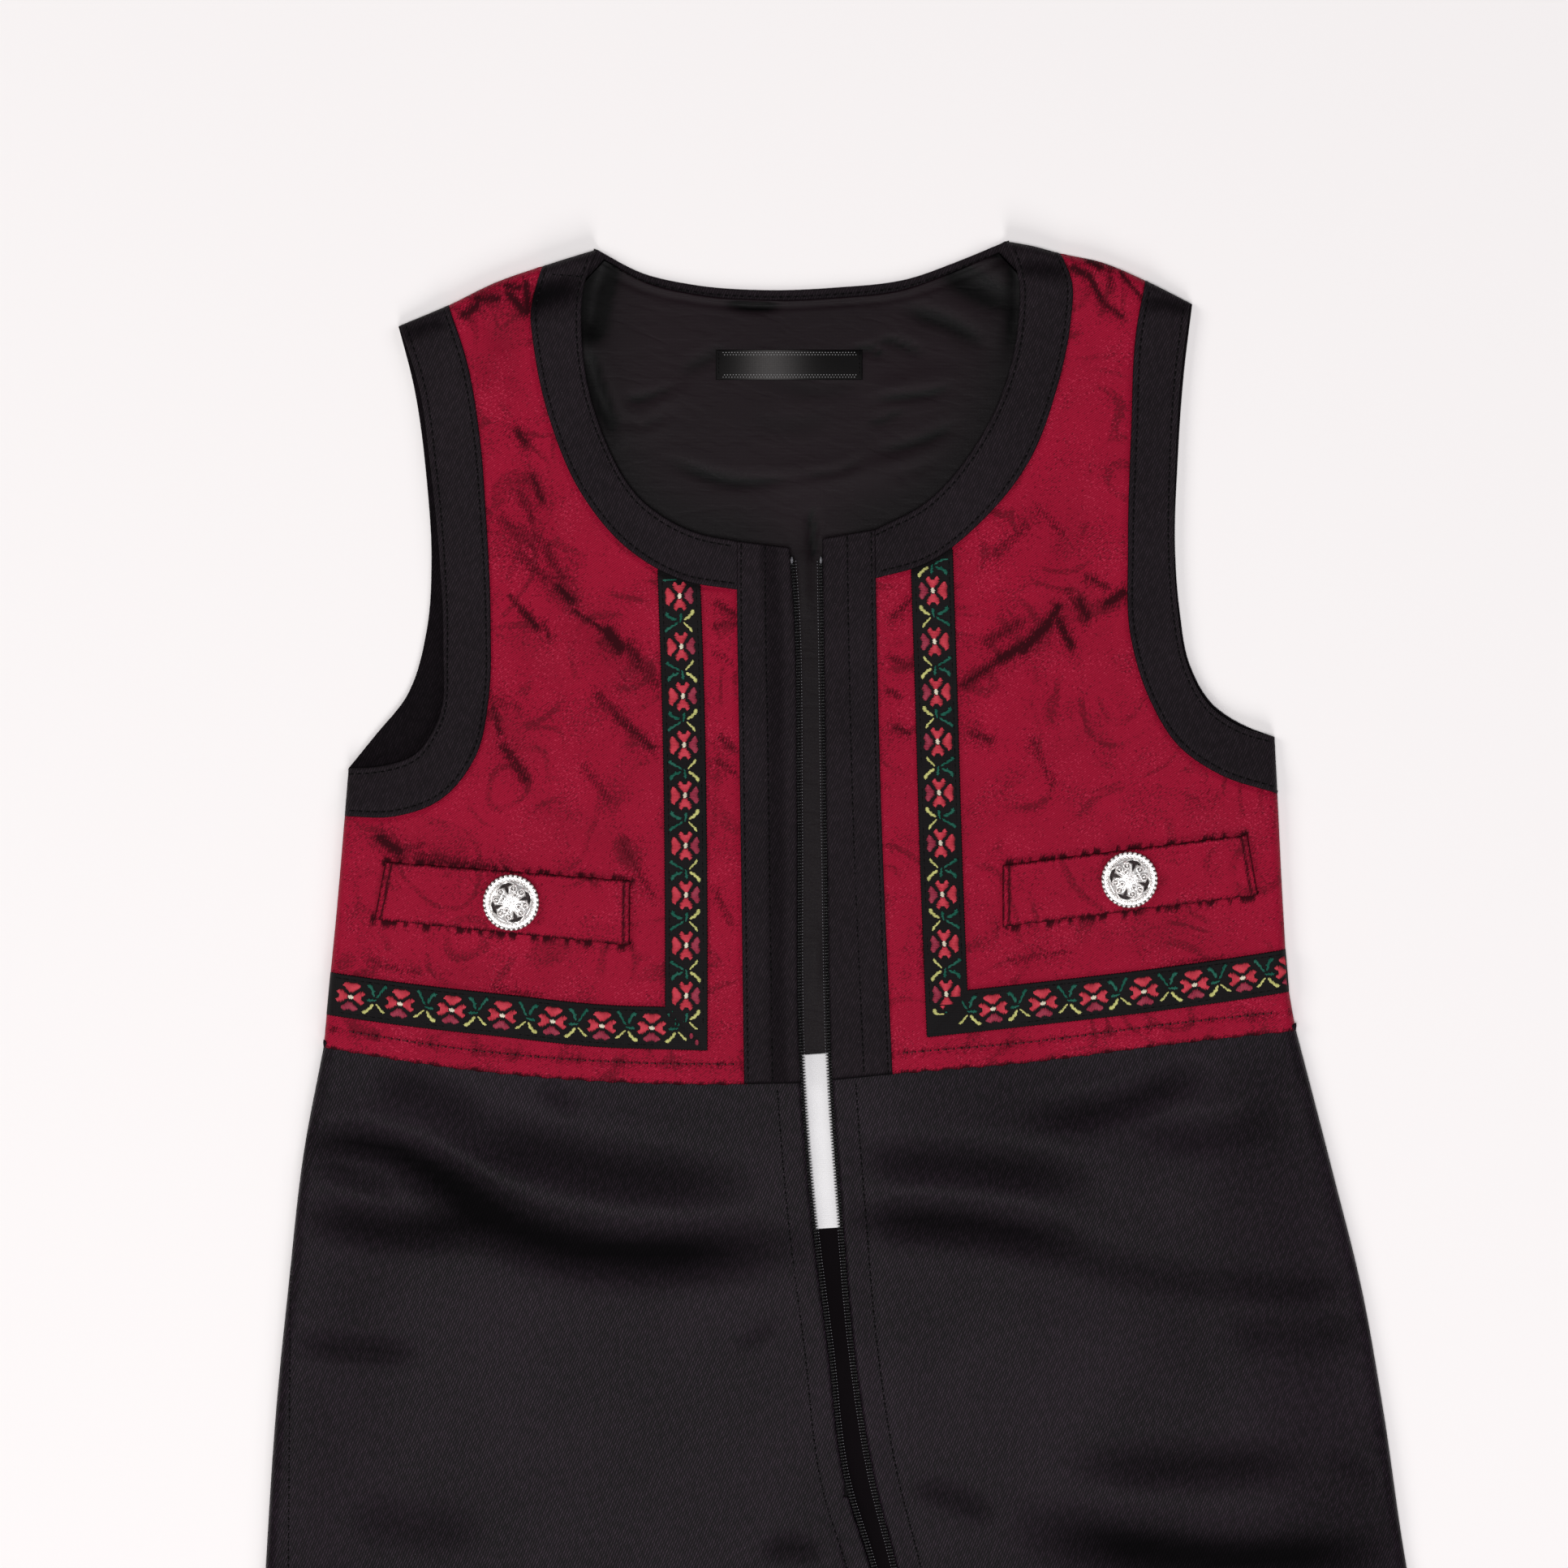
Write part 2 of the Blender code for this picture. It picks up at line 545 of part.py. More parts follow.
def inset_loop(loop, distance):
    """A closed outline moved inwards by a distance, with mitred corners."""
    loop = np.asarray(loop, float)
    before, after = np.roll(loop, 1, axis=0), np.roll(loop, -1, axis=0)
    area = (loop[:, 0] * after[:, 1] - after[:, 0] * loop[:, 1]).sum() / 2
    edges = []
    for edge in (loop - before, after - loop):
        edge = edge / np.hypot(*edge.T)[:, None]
        edges.append(math.copysign(1, area) * np.stack([-edge[:, 1], edge[:, 0]], axis=-1))
    into = edges[0] + edges[1]
    spread = np.maximum(1 + (edges[0] * edges[1]).sum(axis=1), 0.35)
    return loop + distance * into / spread[:, None]


def border_of(rows, columns):
    """The row and column of each border point of a grid, in order round it."""
    top = [(0, i) for i in range(columns - 1)]
    right = [(j, columns - 1) for j in range(rows - 1)]
    bottom = [(rows - 1, i) for i in range(columns - 1, 0, -1)]
    left = [(j, 0) for j in range(rows - 1, 0, -1)]
    return top + right + bottom + left


def pulled_in(grid, distance=HALF_GAP):
    """The grid with its border moved inwards, to leave half of each seam's gap."""
    grid = grid.copy()
    border = tuple(np.array(border_of(*grid.shape[:2])).T)
    grid[border] = inset_loop(grid[border], distance)
    return grid


def joined(*lines):
    """One closed outline from lines laid end to end, each turned to follow the one before."""
    loop = list(lines[0])
    for line in lines[1:]:
        line = np.asarray(line)
        ends = [np.hypot(*(line[k] - loop[-1])) for k in (0, -1)]
        loop.extend((line if ends[0] <= ends[1] else line[::-1])[1:])
    if np.hypot(*(loop[0] - loop[-1])) < 0.5:
        loop.pop()
    return np.array(loop)


# ---------------------------------------------------------------- meshes and objects


def material(name):
    """The Principled material of this name, made once."""
    if name in bpy.data.materials:
        return bpy.data.materials[name]
    red, green, blue, roughness, metallic = COLOURS[name]
    made = bpy.data.materials.new(name)
    made.use_nodes = True
    shader = made.node_tree.nodes["Principled BSDF"]
    shader.inputs["Base Color"].default_value = (red, green, blue, 1)
    shader.inputs["Roughness"].default_value = roughness
    shader.inputs["Metallic"].default_value = metallic
    return made


def add_object(name, bm, finish, smooth=True):
    """A new object from the bmesh, with its faces turned out."""
    bmesh.ops.recalc_face_normals(bm, faces=bm.faces)
    mesh = bpy.data.meshes.new(name)
    bm.to_mesh(mesh)
    bm.free()
    if smooth:
        mesh.shade_smooth()
        mesh.set_sharp_from_angle(angle=math.radians(40))
    made = bpy.data.objects.new(name, mesh)
    made.data.materials.append(material(finish))
    bpy.context.scene.collection.objects.link(made)
    return made


def wall(name, grid, surface, low, high, finish):
    """A cloth wall over the grid, between two heights above the surface."""
    rows, columns = grid.shape[:2]
    bm = bmesh.new()
    bmesh.ops.create_grid(bm, x_segments=columns - 1, y_segments=rows - 1, size=0.5)
    row_of = bm.verts.layers.int.new("row")
    column_of = bm.verts.layers.int.new("column")
    for vert in bm.verts:
        vert[row_of] = round((0.5 - vert.co.y) * (rows - 1))
        vert[column_of] = round((vert.co.x + 0.5) * (columns - 1))
    raised = bmesh.ops.extrude_face_region(bm, geom=bm.faces[:], use_keep_orig=True)
    upper = {item for item in raised["geom"] if isinstance(item, bmesh.types.BMVert)}
    for vert in bm.verts:
        point = grid[vert[row_of], vert[column_of]]
        vert.co = surface.place(point, high if vert in upper else low)
    return add_object(name, bm, finish)


def plate(name, outline, low, high, finish):
    """A flat piece of cloth with this outline."""
    bm = bmesh.new()
    ring = [bm.verts.new((x * MM, y * MM, low * MM)) for x, y in inset_loop(outline, HALF_GAP)]
    face = bm.faces.new(ring)
    raised = bmesh.ops.extrude_face_region(bm, geom=[face], use_keep_orig=True)
    for item in raised["geom"]:
        if isinstance(item, bmesh.types.BMVert):
            item.co.z = high * MM
    return add_object(name, bm, finish)


def box(name, size, centre, finish, bevel=0.0):
    """A box in millimetres about a centre, with rounded edges where a bevel is given."""
    bm = bmesh.new()
    bmesh.ops.create_cube(bm, size=1)
    for vert in bm.verts:
        vert.co = Vector([(c + s * v) * MM for c, s, v in zip(centre, size, vert.co)])
    if bevel:
        bmesh.ops.bevel(bm, geom=bm.edges[:], offset=bevel * MM, segments=1, profile=0.5,
                        affect="EDGES", material=-1)
    return add_object(name, bm, finish, smooth=False)


def cut_or_join(target, other, operation):
    """A Boolean of the other object on the target; the other is kept as a hidden guide."""
    other.hide_render = True
    other.display_type = "WIRE"
    modifier = target.modifiers.new(operation.title(), "BOOLEAN")
    modifier.operation = operation
    modifier.object = other


# ---------------------------------------------------------------- the back


def add_back():
    """The flat back: red body, bands round the neck and armholes, and two trouser backs."""
    upper = {}
    for side in SIDES:
        band_seam = arm_seam[side]
        shoulder_arm = stretch(shoulder[side], 0, ARM_SEAM_START[side], SHOULDER[side][-1][0])
        side_seam = stretch(bodice_side[side], 1, BODICE_SIDE[side][0][1], BODICE_SIDE[side][1][1])
        outline = joined(shoulder_arm, back_arm_edge[side], side_seam, band_seam)
        plate(f"back_arm_band_{side}", outline, 0, BACK_WALL, "twill")
        red_shoulder = stretch(shoulder[side], 0, NECK_SEAM_START[side], ARM_SEAM_START[side])
        low_side = stretch(bodice_side[side], 1, BODICE_SIDE[side][1][1], BODICE_SIDE[side][-1][1])
        upper[side] = (red_shoulder, band_seam, low_side)
    neck_seam_line = smooth_line(BACK_NECK_SEAM)
    waist = smooth_line(BACK_WAIST, BACK_WAIST_STEP)
    plate("back_bodice",
          joined(*upper["left"], waist, *upper["right"][::-1], neck_seam_line),
          0, BACK_WALL, "jacquard")
    neck_parts = {
        side: stretch(shoulder[side], 0, SHOULDER[side][0][0], NECK_SEAM_START[side]) for side in SIDES
    }
    plate("back_neck_band",
          joined(neck_parts["left"], neck_seam_line, neck_parts["right"], smooth_line(BACK_NECK_EDGE)),
          0, BACK_WALL, "twill")
    middle = np.array((0.0, np.interp(0.0, waist[:, 0], waist[:, 1])))
    centre_back = smooth_line((middle, CROTCH), CENTRE_BACK_STEP)
    for side in SIDES:
        foot = (trouser_side[side][-1], inner_leg[side][-1])
        half_waist = stretch(waist, 0, *((waist[0, 0], 0.0) if side == "left" else (0.0, waist[-1, 0])))
        outline = joined(trouser_side[side], foot, inner_leg[side], centre_back, half_waist)
        plate(f"back_trouser_{side}", outline, 0, BACK_WALL, "satin_twill")


def add_lining():
    """The bodice lining in the neck opening and the strip behind the zip."""
    left, right = lining_side["left"], lining_side["right"]
    grid = panel_grid([Stretch(left, right, LINING_ROWS)], LINING_COLUMNS,
                      top=smooth_line(BACK_NECK_EDGE))
    wall("back_lining", pulled_in(grid), lining_surface, -LINING_WALL, 0, "lining")
    edges = [
        shifted(stretch(zip_edge[side], 1, SLOT_LINING_TOP, SLOT_LINING_FOOT), margin)
        for side, margin in (("left", -SLOT_LINING_MARGIN), ("right", SLOT_LINING_MARGIN))
    ]
    ends = [(edges[0][k], edges[1][k]) for k in (-1, 0)]
    plate("trouser_lining", joined(edges[0], ends[0], edges[1], ends[1]),
          EDGE_LEVEL, LINING_TOP, "lining")


def add_label(name, label, finish):
    """A bare label that lies on the lining."""
    turn = math.radians(label.turn)
    across = np.array((math.cos(turn), math.sin(turn))) * label.width / 2
    down = np.array((math.sin(turn), -math.cos(turn))) * label.length / 2
    centre = np.array((label.x, label.y))
    left = smooth_line((centre - across - down, centre - across + down))
    right = smooth_line((centre + across - down, centre + across + down))
    grid = panel_grid([Stretch(left, right, LABEL_ROWS)], LABEL_COLUMNS)
    wall(name, grid, lining_surface, SEAM_GAP, SEAM_GAP + TRIM_WALL, finish)


# ---------------------------------------------------------------- the fronts


def ordered(side, outer, inner):
    """Left line first: the outer one on the left side, the inner one on the right side."""
    return (outer, inner) if side == "left" else (inner, outer)


def rightwards(line):
    """The line, turned where needed to run from left to right."""
    return line if line[0, 0] <= line[-1, 0] else line[::-1]


def add_bodice(side):
    """One red front, its neck and armhole bands and its placket."""
    surface = bodice_surface[side]
    seam_foot, foot = PLACKET_SEAM[side][1][1], ARMHOLE_FOOT_ON_PLACKET[side]
    seam_upper, seam_lower = halves(arm_seam[side], ARMHOLE_TURN)
    red_shoulder = stretch(shoulder[side], 0, NECK_SEAM_START[side], ARM_SEAM_START[side])
    red_hem = stretch(hem[side], 0, HEM[side][0][0], PLACKET_SEAM[side][-1][0])
    low_side = stretch(bodice_side[side], 1, *(BODICE_SIDE[side][k][1] for k in (1, -1)))
    upper_placket = stretch(placket_seam[side], 1, seam_foot, foot)
    lower_placket = stretch(placket_seam[side], 1, foot, PLACKET_SEAM[side][-1][1])
    grid = panel_grid(
        [
            Stretch(*ordered(side, seam_upper, neck_seam[side]), UPPER_ROWS, True),
            Stretch(*ordered(side, seam_lower, upper_placket), ARMHOLE_ROWS, False, True),
            Stretch(*ordered(side, low_side, lower_placket), LOWER_ROWS),
        ],
        BODICE_COLUMNS, roll_left=side == "left", roll_right=side == "right",
        top=rightwards(red_shoulder), bottom=rightwards(red_hem),
    )
    wall(f"front_bodice_{side}", pulled_in(grid), surface, -FRONT_WALL, 0, "jacquard")

    neck_top = stretch(shoulder[side], 0, SHOULDER[side][0][0], NECK_SEAM_START[side])
    grid = panel_grid(
        [Stretch(*ordered(side, neck_seam[side], neck_edge[side]), UPPER_ROWS, True)],
        BAND_COLUMNS, top=rightwards(neck_top))
    wall(f"neck_band_{side}", pulled_in(grid), surface, -FRONT_WALL, 0, "twill")

    arm_top = stretch(shoulder[side], 0, ARM_SEAM_START[side], ARM_EDGE[side][0][0])
    edge_upper, edge_lower = halves(arm_edge[side], ARMHOLE_TURN)
    grid = panel_grid(
        [
            Stretch(*ordered(side, edge_upper, seam_upper), UPPER_ROWS, True),
            Stretch(*ordered(side, edge_lower, seam_lower), ARMHOLE_ROWS, False, True),
        ],
        BAND_COLUMNS, top=rightwards(arm_top))
    wall(f"arm_band_{side}", pulled_in(grid), surface, -FRONT_WALL, 0, "twill")

    zip_line = stretch(zip_edge[side], 1, ZIP_EDGE[side][0][1], HEM[side][-1][1])
    grid = panel_grid([Stretch(*ordered(side, placket_seam[side], zip_line), PLACKET_ROWS)],
                      BAND_COLUMNS)
    wall(f"placket_{side}", pulled_in(grid), surface, -FRONT_WALL, 0, "twill")


def add_ribbon(side):
    """The woven ribbon: down from the neck band, a mitred corner, and out to the side."""
    half = RIBBON_WIDTH / 2
    turn = 1 if side == "left" else -1
    down, out = smooth_line(RIBBON_DOWN[side]), smooth_line(RIBBON_OUT[side])
    edges = []
    for distance in (-turn * half, turn * half):
        outward = cut_at(shifted(out, distance), bodice_side[side])
        edges.append(trimmed_corner(shifted(down, distance), outward))
    stretches = [
        Stretch(edges[0][0], edges[1][0], RIBBON_ROWS),
        Stretch(edges[0][1], edges[1][1], RIBBON_ROWS, False, True),
    ]
    grid = panel_grid(stretches, RIBBON_COLUMNS)
    wall(f"ribbon_{side}", pulled_in(grid), bodice_surface[side],
         SEAM_GAP, SEAM_GAP + TRIM_WALL, "ribbon")


def cut_at(line, other):
    """The part of the line before it first crosses the other one."""
    for i, (a, b) in enumerate(zip(line, line[1:])):
        for c, d in zip(other, other[1:]):
            matrix = np.array([b - a, c - d]).T
            if abs(np.linalg.det(matrix)) > 1e-9:
                s, t = np.linalg.solve(matrix, c - a)
                if 0 <= s <= 1 and 0 <= t <= 1:
                    return np.array([*line[:i + 1], a + s * (b - a)])
    return line


def trimmed_corner(first, second):
    """Two lines cut or lengthened to meet where their end and start directions cross."""
    a, u = first[-1], first[-1] - first[-2]
    b, v = second[0], second[1] - second[0]
    s = np.linalg.solve(np.array([u, -v]).T, b - a)[0]
    corner = a + s * u
    kept = [point for point in first[:-1] if (corner - point) @ u > 0.5]
    rest = [point for point in second[1:] if (point - corner) @ v > 0.5]
    return np.array([*kept, corner]), np.array([corner, *rest])


def add_welt(side):
    """A pocket welt, laid over the red front."""
    upper_left, upper_right, lower_right, lower_left = WELT_CORNERS[side]
    left, right = smooth_line((upper_left, lower_left)), smooth_line((upper_right, lower_right))
    grid = panel_grid([Stretch(left, right, WELT_ROWS)], WELT_COLUMNS)
    wall(f"welt_{side}", grid, bodice_surface[side], SEAM_GAP, SEAM_GAP + WELT_WALL, "jacquard")


def add_trousers():
    """Two trouser fronts and the strip between the crotch seam and the zip."""
    surface = trouser_surface
    foot = TROUSER_SIDE["left"][-1][1]
    seam_top, crotch = CENTRE_SEAM[0][1], CROTCH[1]

    upper, middle, lower = LEFT_LEG_ROWS
    zip_line = stretch(zip_edge["left"], 1, HEM["left"][-1][1], seam_top)
    side_line = trouser_side["left"]
    grid = panel_grid(
        [
            Stretch(stretch(side_line, 1, side_line[0, 1], seam_top), zip_line, upper),
            Stretch(stretch(side_line, 1, seam_top, crotch), centre_seam, middle),
            Stretch(stretch(side_line, 1, crotch, foot), inner_leg["left"], lower),
        ],
        LEG_COLUMNS, roll_left=True, roll_right=True, top=rightwards(hem["left"]),
    )
    wall("front_trouser_left", pulled_in(grid), surface, -FRONT_WALL, 0, "satin_twill")

    upper, middle, lower = RIGHT_LEG_ROWS
    open_end = ZIP_EDGE["right"][-1][1]
    zip_line = stretch(zip_edge["right"], 1, HEM["right"][-1][1], open_end)
    closing = smooth_line((ZIP_EDGE["right"][-1], ZIP_END), CLOSING_STEP)
    side_line = trouser_side["right"]
    grid = panel_grid(
        [
            Stretch(zip_line, stretch(side_line, 1, side_line[0, 1], open_end), upper),
            Stretch(closing, stretch(side_line, 1, open_end, ZIP_END[1]), middle),
            Stretch(leg_seam, stretch(side_line, 1, ZIP_END[1], foot), lower),
        ],
        LEG_COLUMNS, roll_right=True, top=rightwards(hem["right"]),
    )
    wall("front_trouser_right", pulled_in(grid), surface, -FRONT_WALL, 0, "satin_twill")

    beside_seam, beside_zip, past_end, down_leg = STRIP_ROWS
    open_end = ZIP_EDGE["left"][-1][1]
    closing = smooth_line((ZIP_EDGE["left"][-1], ZIP_END), CLOSING_STEP)
    grid = panel_grid(
        [
            Stretch(stretch(centre_seam, 1, STRIP_TOP, crotch),
                    stretch(zip_edge["left"], 1, STRIP_TOP, crotch), beside_seam),
            Stretch(stretch(inner_leg["right"], 1, crotch, open_end),
                    stretch(zip_edge["left"], 1, crotch, open_end), beside_zip),
            Stretch(stretch(inner_leg["right"], 1, open_end, ZIP_END[1]), closing, past_end),
            Stretch(stretch(inner_leg["right"], 1, ZIP_END[1], foot), leg_seam, down_leg),
        ],
        STRIP_COLUMNS, roll_left=True,
    )
    wall("inner_leg_strip", pulled_in(grid), surface, -FRONT_WALL, 0, "satin_twill")


# ---------------------------------------------------------------- fastenings


def button_profile():
    """Half of the button's outline, from the middle of its underside round to its top."""
    profile = [(0.0, 0.0)] + [(BUTTON_RADIUS - inset, height) for inset, height in BUTTON_RIM]
    reach, rise = BUTTON_RADIUS - DOME_INSET, BUTTON_DOME - DOME_FOOT
    for step in range(DOME_STEPS):
        angle = math.pi / 2 * step / DOME_STEPS
        profile.append((reach * math.cos(angle), DOME_FOOT + rise * math.sin(angle)))
    return [*profile, (0.0, BUTTON_DOME)]


def add_button(side):
    """A domed button with a raised rim and four pierced openings, shown as deep recesses."""
    x, y = BUTTON_CENTRE[side]
    surface = bodice_surface[side]
    base = surface.place((x, y), 2 * SEAM_GAP + WELT_WALL)
    bm = bmesh.new()
    verts = [bm.verts.new((r * MM, 0, z * MM)) for r, z in button_profile()]
    edges = [bm.edges.new(pair) for pair in zip(verts, verts[1:])]
    bmesh.ops.spin(bm, geom=verts + edges, cent=(0, 0, 0), axis=(0, 0, 1), angle=2 * math.pi,
                   steps=BUTTON_SIDES, use_merge=True)
    bmesh.ops.remove_doubles(bm, verts=bm.verts, dist=1e-6)
    button = add_object(f"button_{side}", bm, "silver")
    cutters = bmesh.new()
    for k in range(OPENING_COUNT):
        angle = 2 * math.pi * k / OPENING_COUNT
        ring = []
        for step in range(OPENING_SIDES):
            around = 2 * math.pi * step / OPENING_SIDES
            reach = OPENING_RADIUS * (1 + OPENING_LOBE * math.cos(3 * (around - angle)))
            ring.append(cutters.verts.new((
                (OPENING_REACH * math.cos(angle) + reach * math.cos(around)) * MM,
                (OPENING_REACH * math.sin(angle) + reach * math.sin(around)) * MM,
                OPENING_FLOOR * MM)))
        face = cutters.faces.new(ring)
        raised = bmesh.ops.extrude_face_region(cutters, geom=[face], use_keep_orig=True)
        for item in raised["geom"]:
            if isinstance(item, bmesh.types.BMVert):
                item.co.z = 2 * BUTTON_DOME * MM
    cutter = add_object(f"button_cutter_{side}", cutters, "silver", smooth=False)
    cutter.parent = button
    cut_or_join(button, cutter, "DIFFERENCE")
    button.location = base
    button.rotation_euler = Vector((0, 0, 1)).rotation_difference(surface.normal((x, y))).to_euler()
    button.rotation_euler.rotate_axis("Z", math.radians(BUTTON_TURN[side]))


def add_tape(side):
    """One zip tape: a narrow edge shows in the gap, the rest lies under the front."""
    into_gap = 1 if side == "left" else -1
    line = stretch(zip_edge[side], 1, ZIP_TOP, ZIP_EDGE[side][-1][1])
    inner, outer = shifted(line, into_gap * TAPE_OVER), shifted(line, -into_gap * TAPE_UNDER)
    grid = panel_grid([Stretch(*ordered(side, outer, inner), TAPE_ROWS)], 1)
    wall(f"zip_tape_{side}", grid, tape_surface, -TAPE_WALL, 0, "twill")


def add_slider():
    """The slider with its arch, and the pull tab that hinges on the bar under the arch."""
    mount = bpy.data.objects.new("slider_mount", None)
    mount.location = Vector((*SLIDER_AT, SLIDER_FLOOR)) * MM
    mount.rotation_euler.z = math.radians(SLIDER_TURN)
    bpy.context.scene.collection.objects.link(mount)
    width, length, height = SLIDER_SIZE
    arch_height = ARCH_SINK + ARCH_CLEAR + ARCH_BAR
    body = box("zip_slider", SLIDER_SIZE, (0, 0, height / 2), "black_metal", bevel=SLIDER_BEVEL)
    arch = box("arch_guide", (ARCH_WIDTH, ARCH_LENGTH, arch_height),
               (0, 0, height - ARCH_SINK + arch_height / 2), "black_metal", bevel=ARCH_BEVEL)
    hole = box("arch_hole_guide", (2 * ARCH_WIDTH, ARCH_LENGTH - 2 * ARCH_POST, ARCH_CLEAR),
               (0, 0, height + ARCH_CLEAR / 2), "black_metal")
    cut_or_join(body, arch, "UNION")
    cut_or_join(body, hole, "DIFFERENCE")
    pull = box("zip_pull", (PULL_WIDTH, PULL_LENGTH, PULL_THICK),
               (0, PULL_BAR / 2 - PULL_LENGTH / 2, 0), "black_metal", bevel=PULL_BEVEL)
    window_width, window_length = PULL_WINDOW
    window = box("pull_window_guide", (window_width, window_length, 3 * PULL_THICK),
                 (0, -PULL_BAR / 2 - window_length / 2, 0), "black_metal")
    window.parent = pull
    cut_or_join(pull, window, "DIFFERENCE")
    pull.location = Vector((0, 0, height + ARCH_CLEAR / 2)) * MM
    for item in (body, arch, hole, pull):
        item.parent = mount


def main():
    """Clears the file and builds every piece."""
    for item in list(bpy.data.objects):
        bpy.data.objects.remove(item, do_unlink=True)
    add_back()
    add_lining()
    add_label("neck_label", NECK_LABEL, "label_black")
    add_label("care_label", CARE_LABEL, "label_white")
    for side in SIDES:
        add_bodice(side)
        add_ribbon(side)
        add_welt(side)
        add_button(side)
        add_tape(side)
    add_trousers()
    add_slider()
    bpy.context.view_layer.update()


main()
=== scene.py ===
"""Dresses a toddler's sleeveless folk suit that lies on its back.

Every table is in millimetres and MM turns it into metres. The suit lies on the floor with its
neck towards +Y, and "left" is its side at -X.
"""

import logging
import math
from collections.abc import Callable, Iterable, Iterator, Sequence
from dataclasses import dataclass, field
from enum import Enum
from functools import cache
from typing import NamedTuple

import bmesh
import bpy
import numpy as np
from bpy.types import Material, Node, NodeSocket, NodeTree, Object
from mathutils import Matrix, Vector


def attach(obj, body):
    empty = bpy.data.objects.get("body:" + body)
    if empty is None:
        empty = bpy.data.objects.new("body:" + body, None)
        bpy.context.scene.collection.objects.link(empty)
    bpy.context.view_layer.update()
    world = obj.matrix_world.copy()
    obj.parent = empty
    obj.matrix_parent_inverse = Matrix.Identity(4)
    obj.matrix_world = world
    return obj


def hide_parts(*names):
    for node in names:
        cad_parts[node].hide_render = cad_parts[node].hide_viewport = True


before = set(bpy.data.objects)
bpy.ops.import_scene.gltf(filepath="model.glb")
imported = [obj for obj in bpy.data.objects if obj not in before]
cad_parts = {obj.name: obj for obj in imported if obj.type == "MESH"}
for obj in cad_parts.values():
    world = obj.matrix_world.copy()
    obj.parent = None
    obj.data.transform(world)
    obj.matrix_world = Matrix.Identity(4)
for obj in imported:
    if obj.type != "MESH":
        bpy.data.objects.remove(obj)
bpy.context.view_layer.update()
log = logging.getLogger("folk_suit")

Array = np.ndarray
Table = Sequence[tuple[float, ...]]
Colour = tuple[float, float, float]
MM = 0.001
GARMENT = "garment"
NEAREST_BATCH = 4096

# ---------------------------------- sizes shared by the pieces

SEAM_GAP = 0.3
HALF_GAP = SEAM_GAP / 2
EDGE_LEVEL = 1.5
LINING_TOP = 2.5
BODICE_ZIP_LEVEL = 8.0
BODICE_SIDE_LEVEL = 5.4
TROUSER_DROP = 1.2
TROUSER_SIDE_LEVEL = 4.7
ZIP_SHELF, ZIP_SLOPE = 16.0, 70.0
TROUSER_BILLOW, BILLOW_REACH = 2.2, 42.0
LOWEST_FRONT = 3.1
ROLL = 3.2
NECK_LEVEL, NECK_REACH = 5.9, 15.0
ARMHOLE_LEVEL, ARMHOLE_REACH = 3.5, 16.0
LEG_HEM_LEVEL, LEG_HEM_REACH = 3.6, 24.0
TAPE_TOP_BODICE, TAPE_TOP_TROUSER = 6.3, 5.1
TAPE_RAMP = (112.0, 84.0)
ARMHOLE_TURN = 0.62
FOLD_LIP, FOLD_CALM, FOLD_END = 0.16, 12.0, 0.34

# Distances in from a border at which the cloth has extra rows: for a rolled edge, a folded
# edge and a plain seam.
ROLL_STOPS = (0.0, 0.05, 0.18, 0.42, 0.8, 1.3, 1.9, 2.6, 3.4)
FOLD_STOPS = (0.0, 0.1, 0.3, 0.6, 1.1, 1.7)
SEAM_STOPS = (0.0, 0.5, 1.0, 1.6, 2.3)
PLAIN_STOPS = (0.0,)


class Side(Enum):
    """A side of the suit, as it is seen from above."""

    LEFT = "left"
    RIGHT = "right"

    @property
    def outward(self) -> int:
        """The sign of x on this side."""
        return -1 if self is Side.LEFT else 1

    def ordered(self, outer: object, inner: object) -> tuple:
        """What belongs to this side's outer and inner borders, the left one first."""
        return (outer, inner) if self is Side.LEFT else (inner, outer)


L, R = Side.LEFT, Side.RIGHT

# Outlines; columns: x, y. Each runs from the neck or shoulder downwards.
SHOULDER = {
    L: ((-80.3, 337.5), (-97, 332.3), (-112, 327.1), (-126, 320.3), (-141.5, 313.8)),
    R: ((46, 340), (54, 338.6), (62.8, 336.2), (76, 333.4), (89, 327.9), (103.5, 320.6)),
}
NECK_SEAM_START = {L: -97, R: 62.8}
ARM_SEAM_START = {L: -126, R: 89}
NECK_EDGE = {
    L: ((-80.3, 337.5), (-84.3, 325), (-84.9, 312), (-80, 284.8), (-65.3, 259),
        (-50, 250), (-37, 247.2)),
    R: ((46, 340), (49.8, 328), (49.6, 314), (44.5, 292.5), (35, 274.5),
        (21, 259), (5.6, 250.8)),
}
NECK_SEAM = {
    L: ((-97, 332.3), (-100.6, 319), (-99.5, 306), (-94.5, 284), (-85, 262),
        (-70.5, 244.8), (-54, 235.3), (-37, 232.3)),
    R: ((62.8, 336.2), (66.4, 327), (66, 316), (61.5, 294), (53, 271.8),
        (39, 254), (21, 240.2), (5.8, 235.8)),
}
ARM_EDGE = {
    L: ((-141, 314), (-135.3, 296), (-131.5, 270), (-128.6, 240), (-127.6, 215),
        (-129.3, 192), (-136.5, 181.5), (-147, 178), (-156.9, 177.3)),
    R: ((102.7, 321), (100, 300), (98.1, 270), (97.6, 245), (98.8, 226),
        (102, 208.5), (109, 196.3), (118.5, 190), (128.9, 187)),
}
ARM_SEAM = {
    L: ((-126, 320.3), (-120.3, 303), (-116.5, 281.5), (-114.3, 255), (-112.9, 222),
        (-113.5, 199), (-117.5, 181), (-128.5, 167.5), (-143, 162.4), (-158.1, 162.6)),
    R: ((89, 327.9), (86.3, 314), (84.5, 281.5), (83.5, 245), (84.3, 218),
        (90, 199), (99, 184.3), (112, 175.3), (129.8, 169.5)),
}
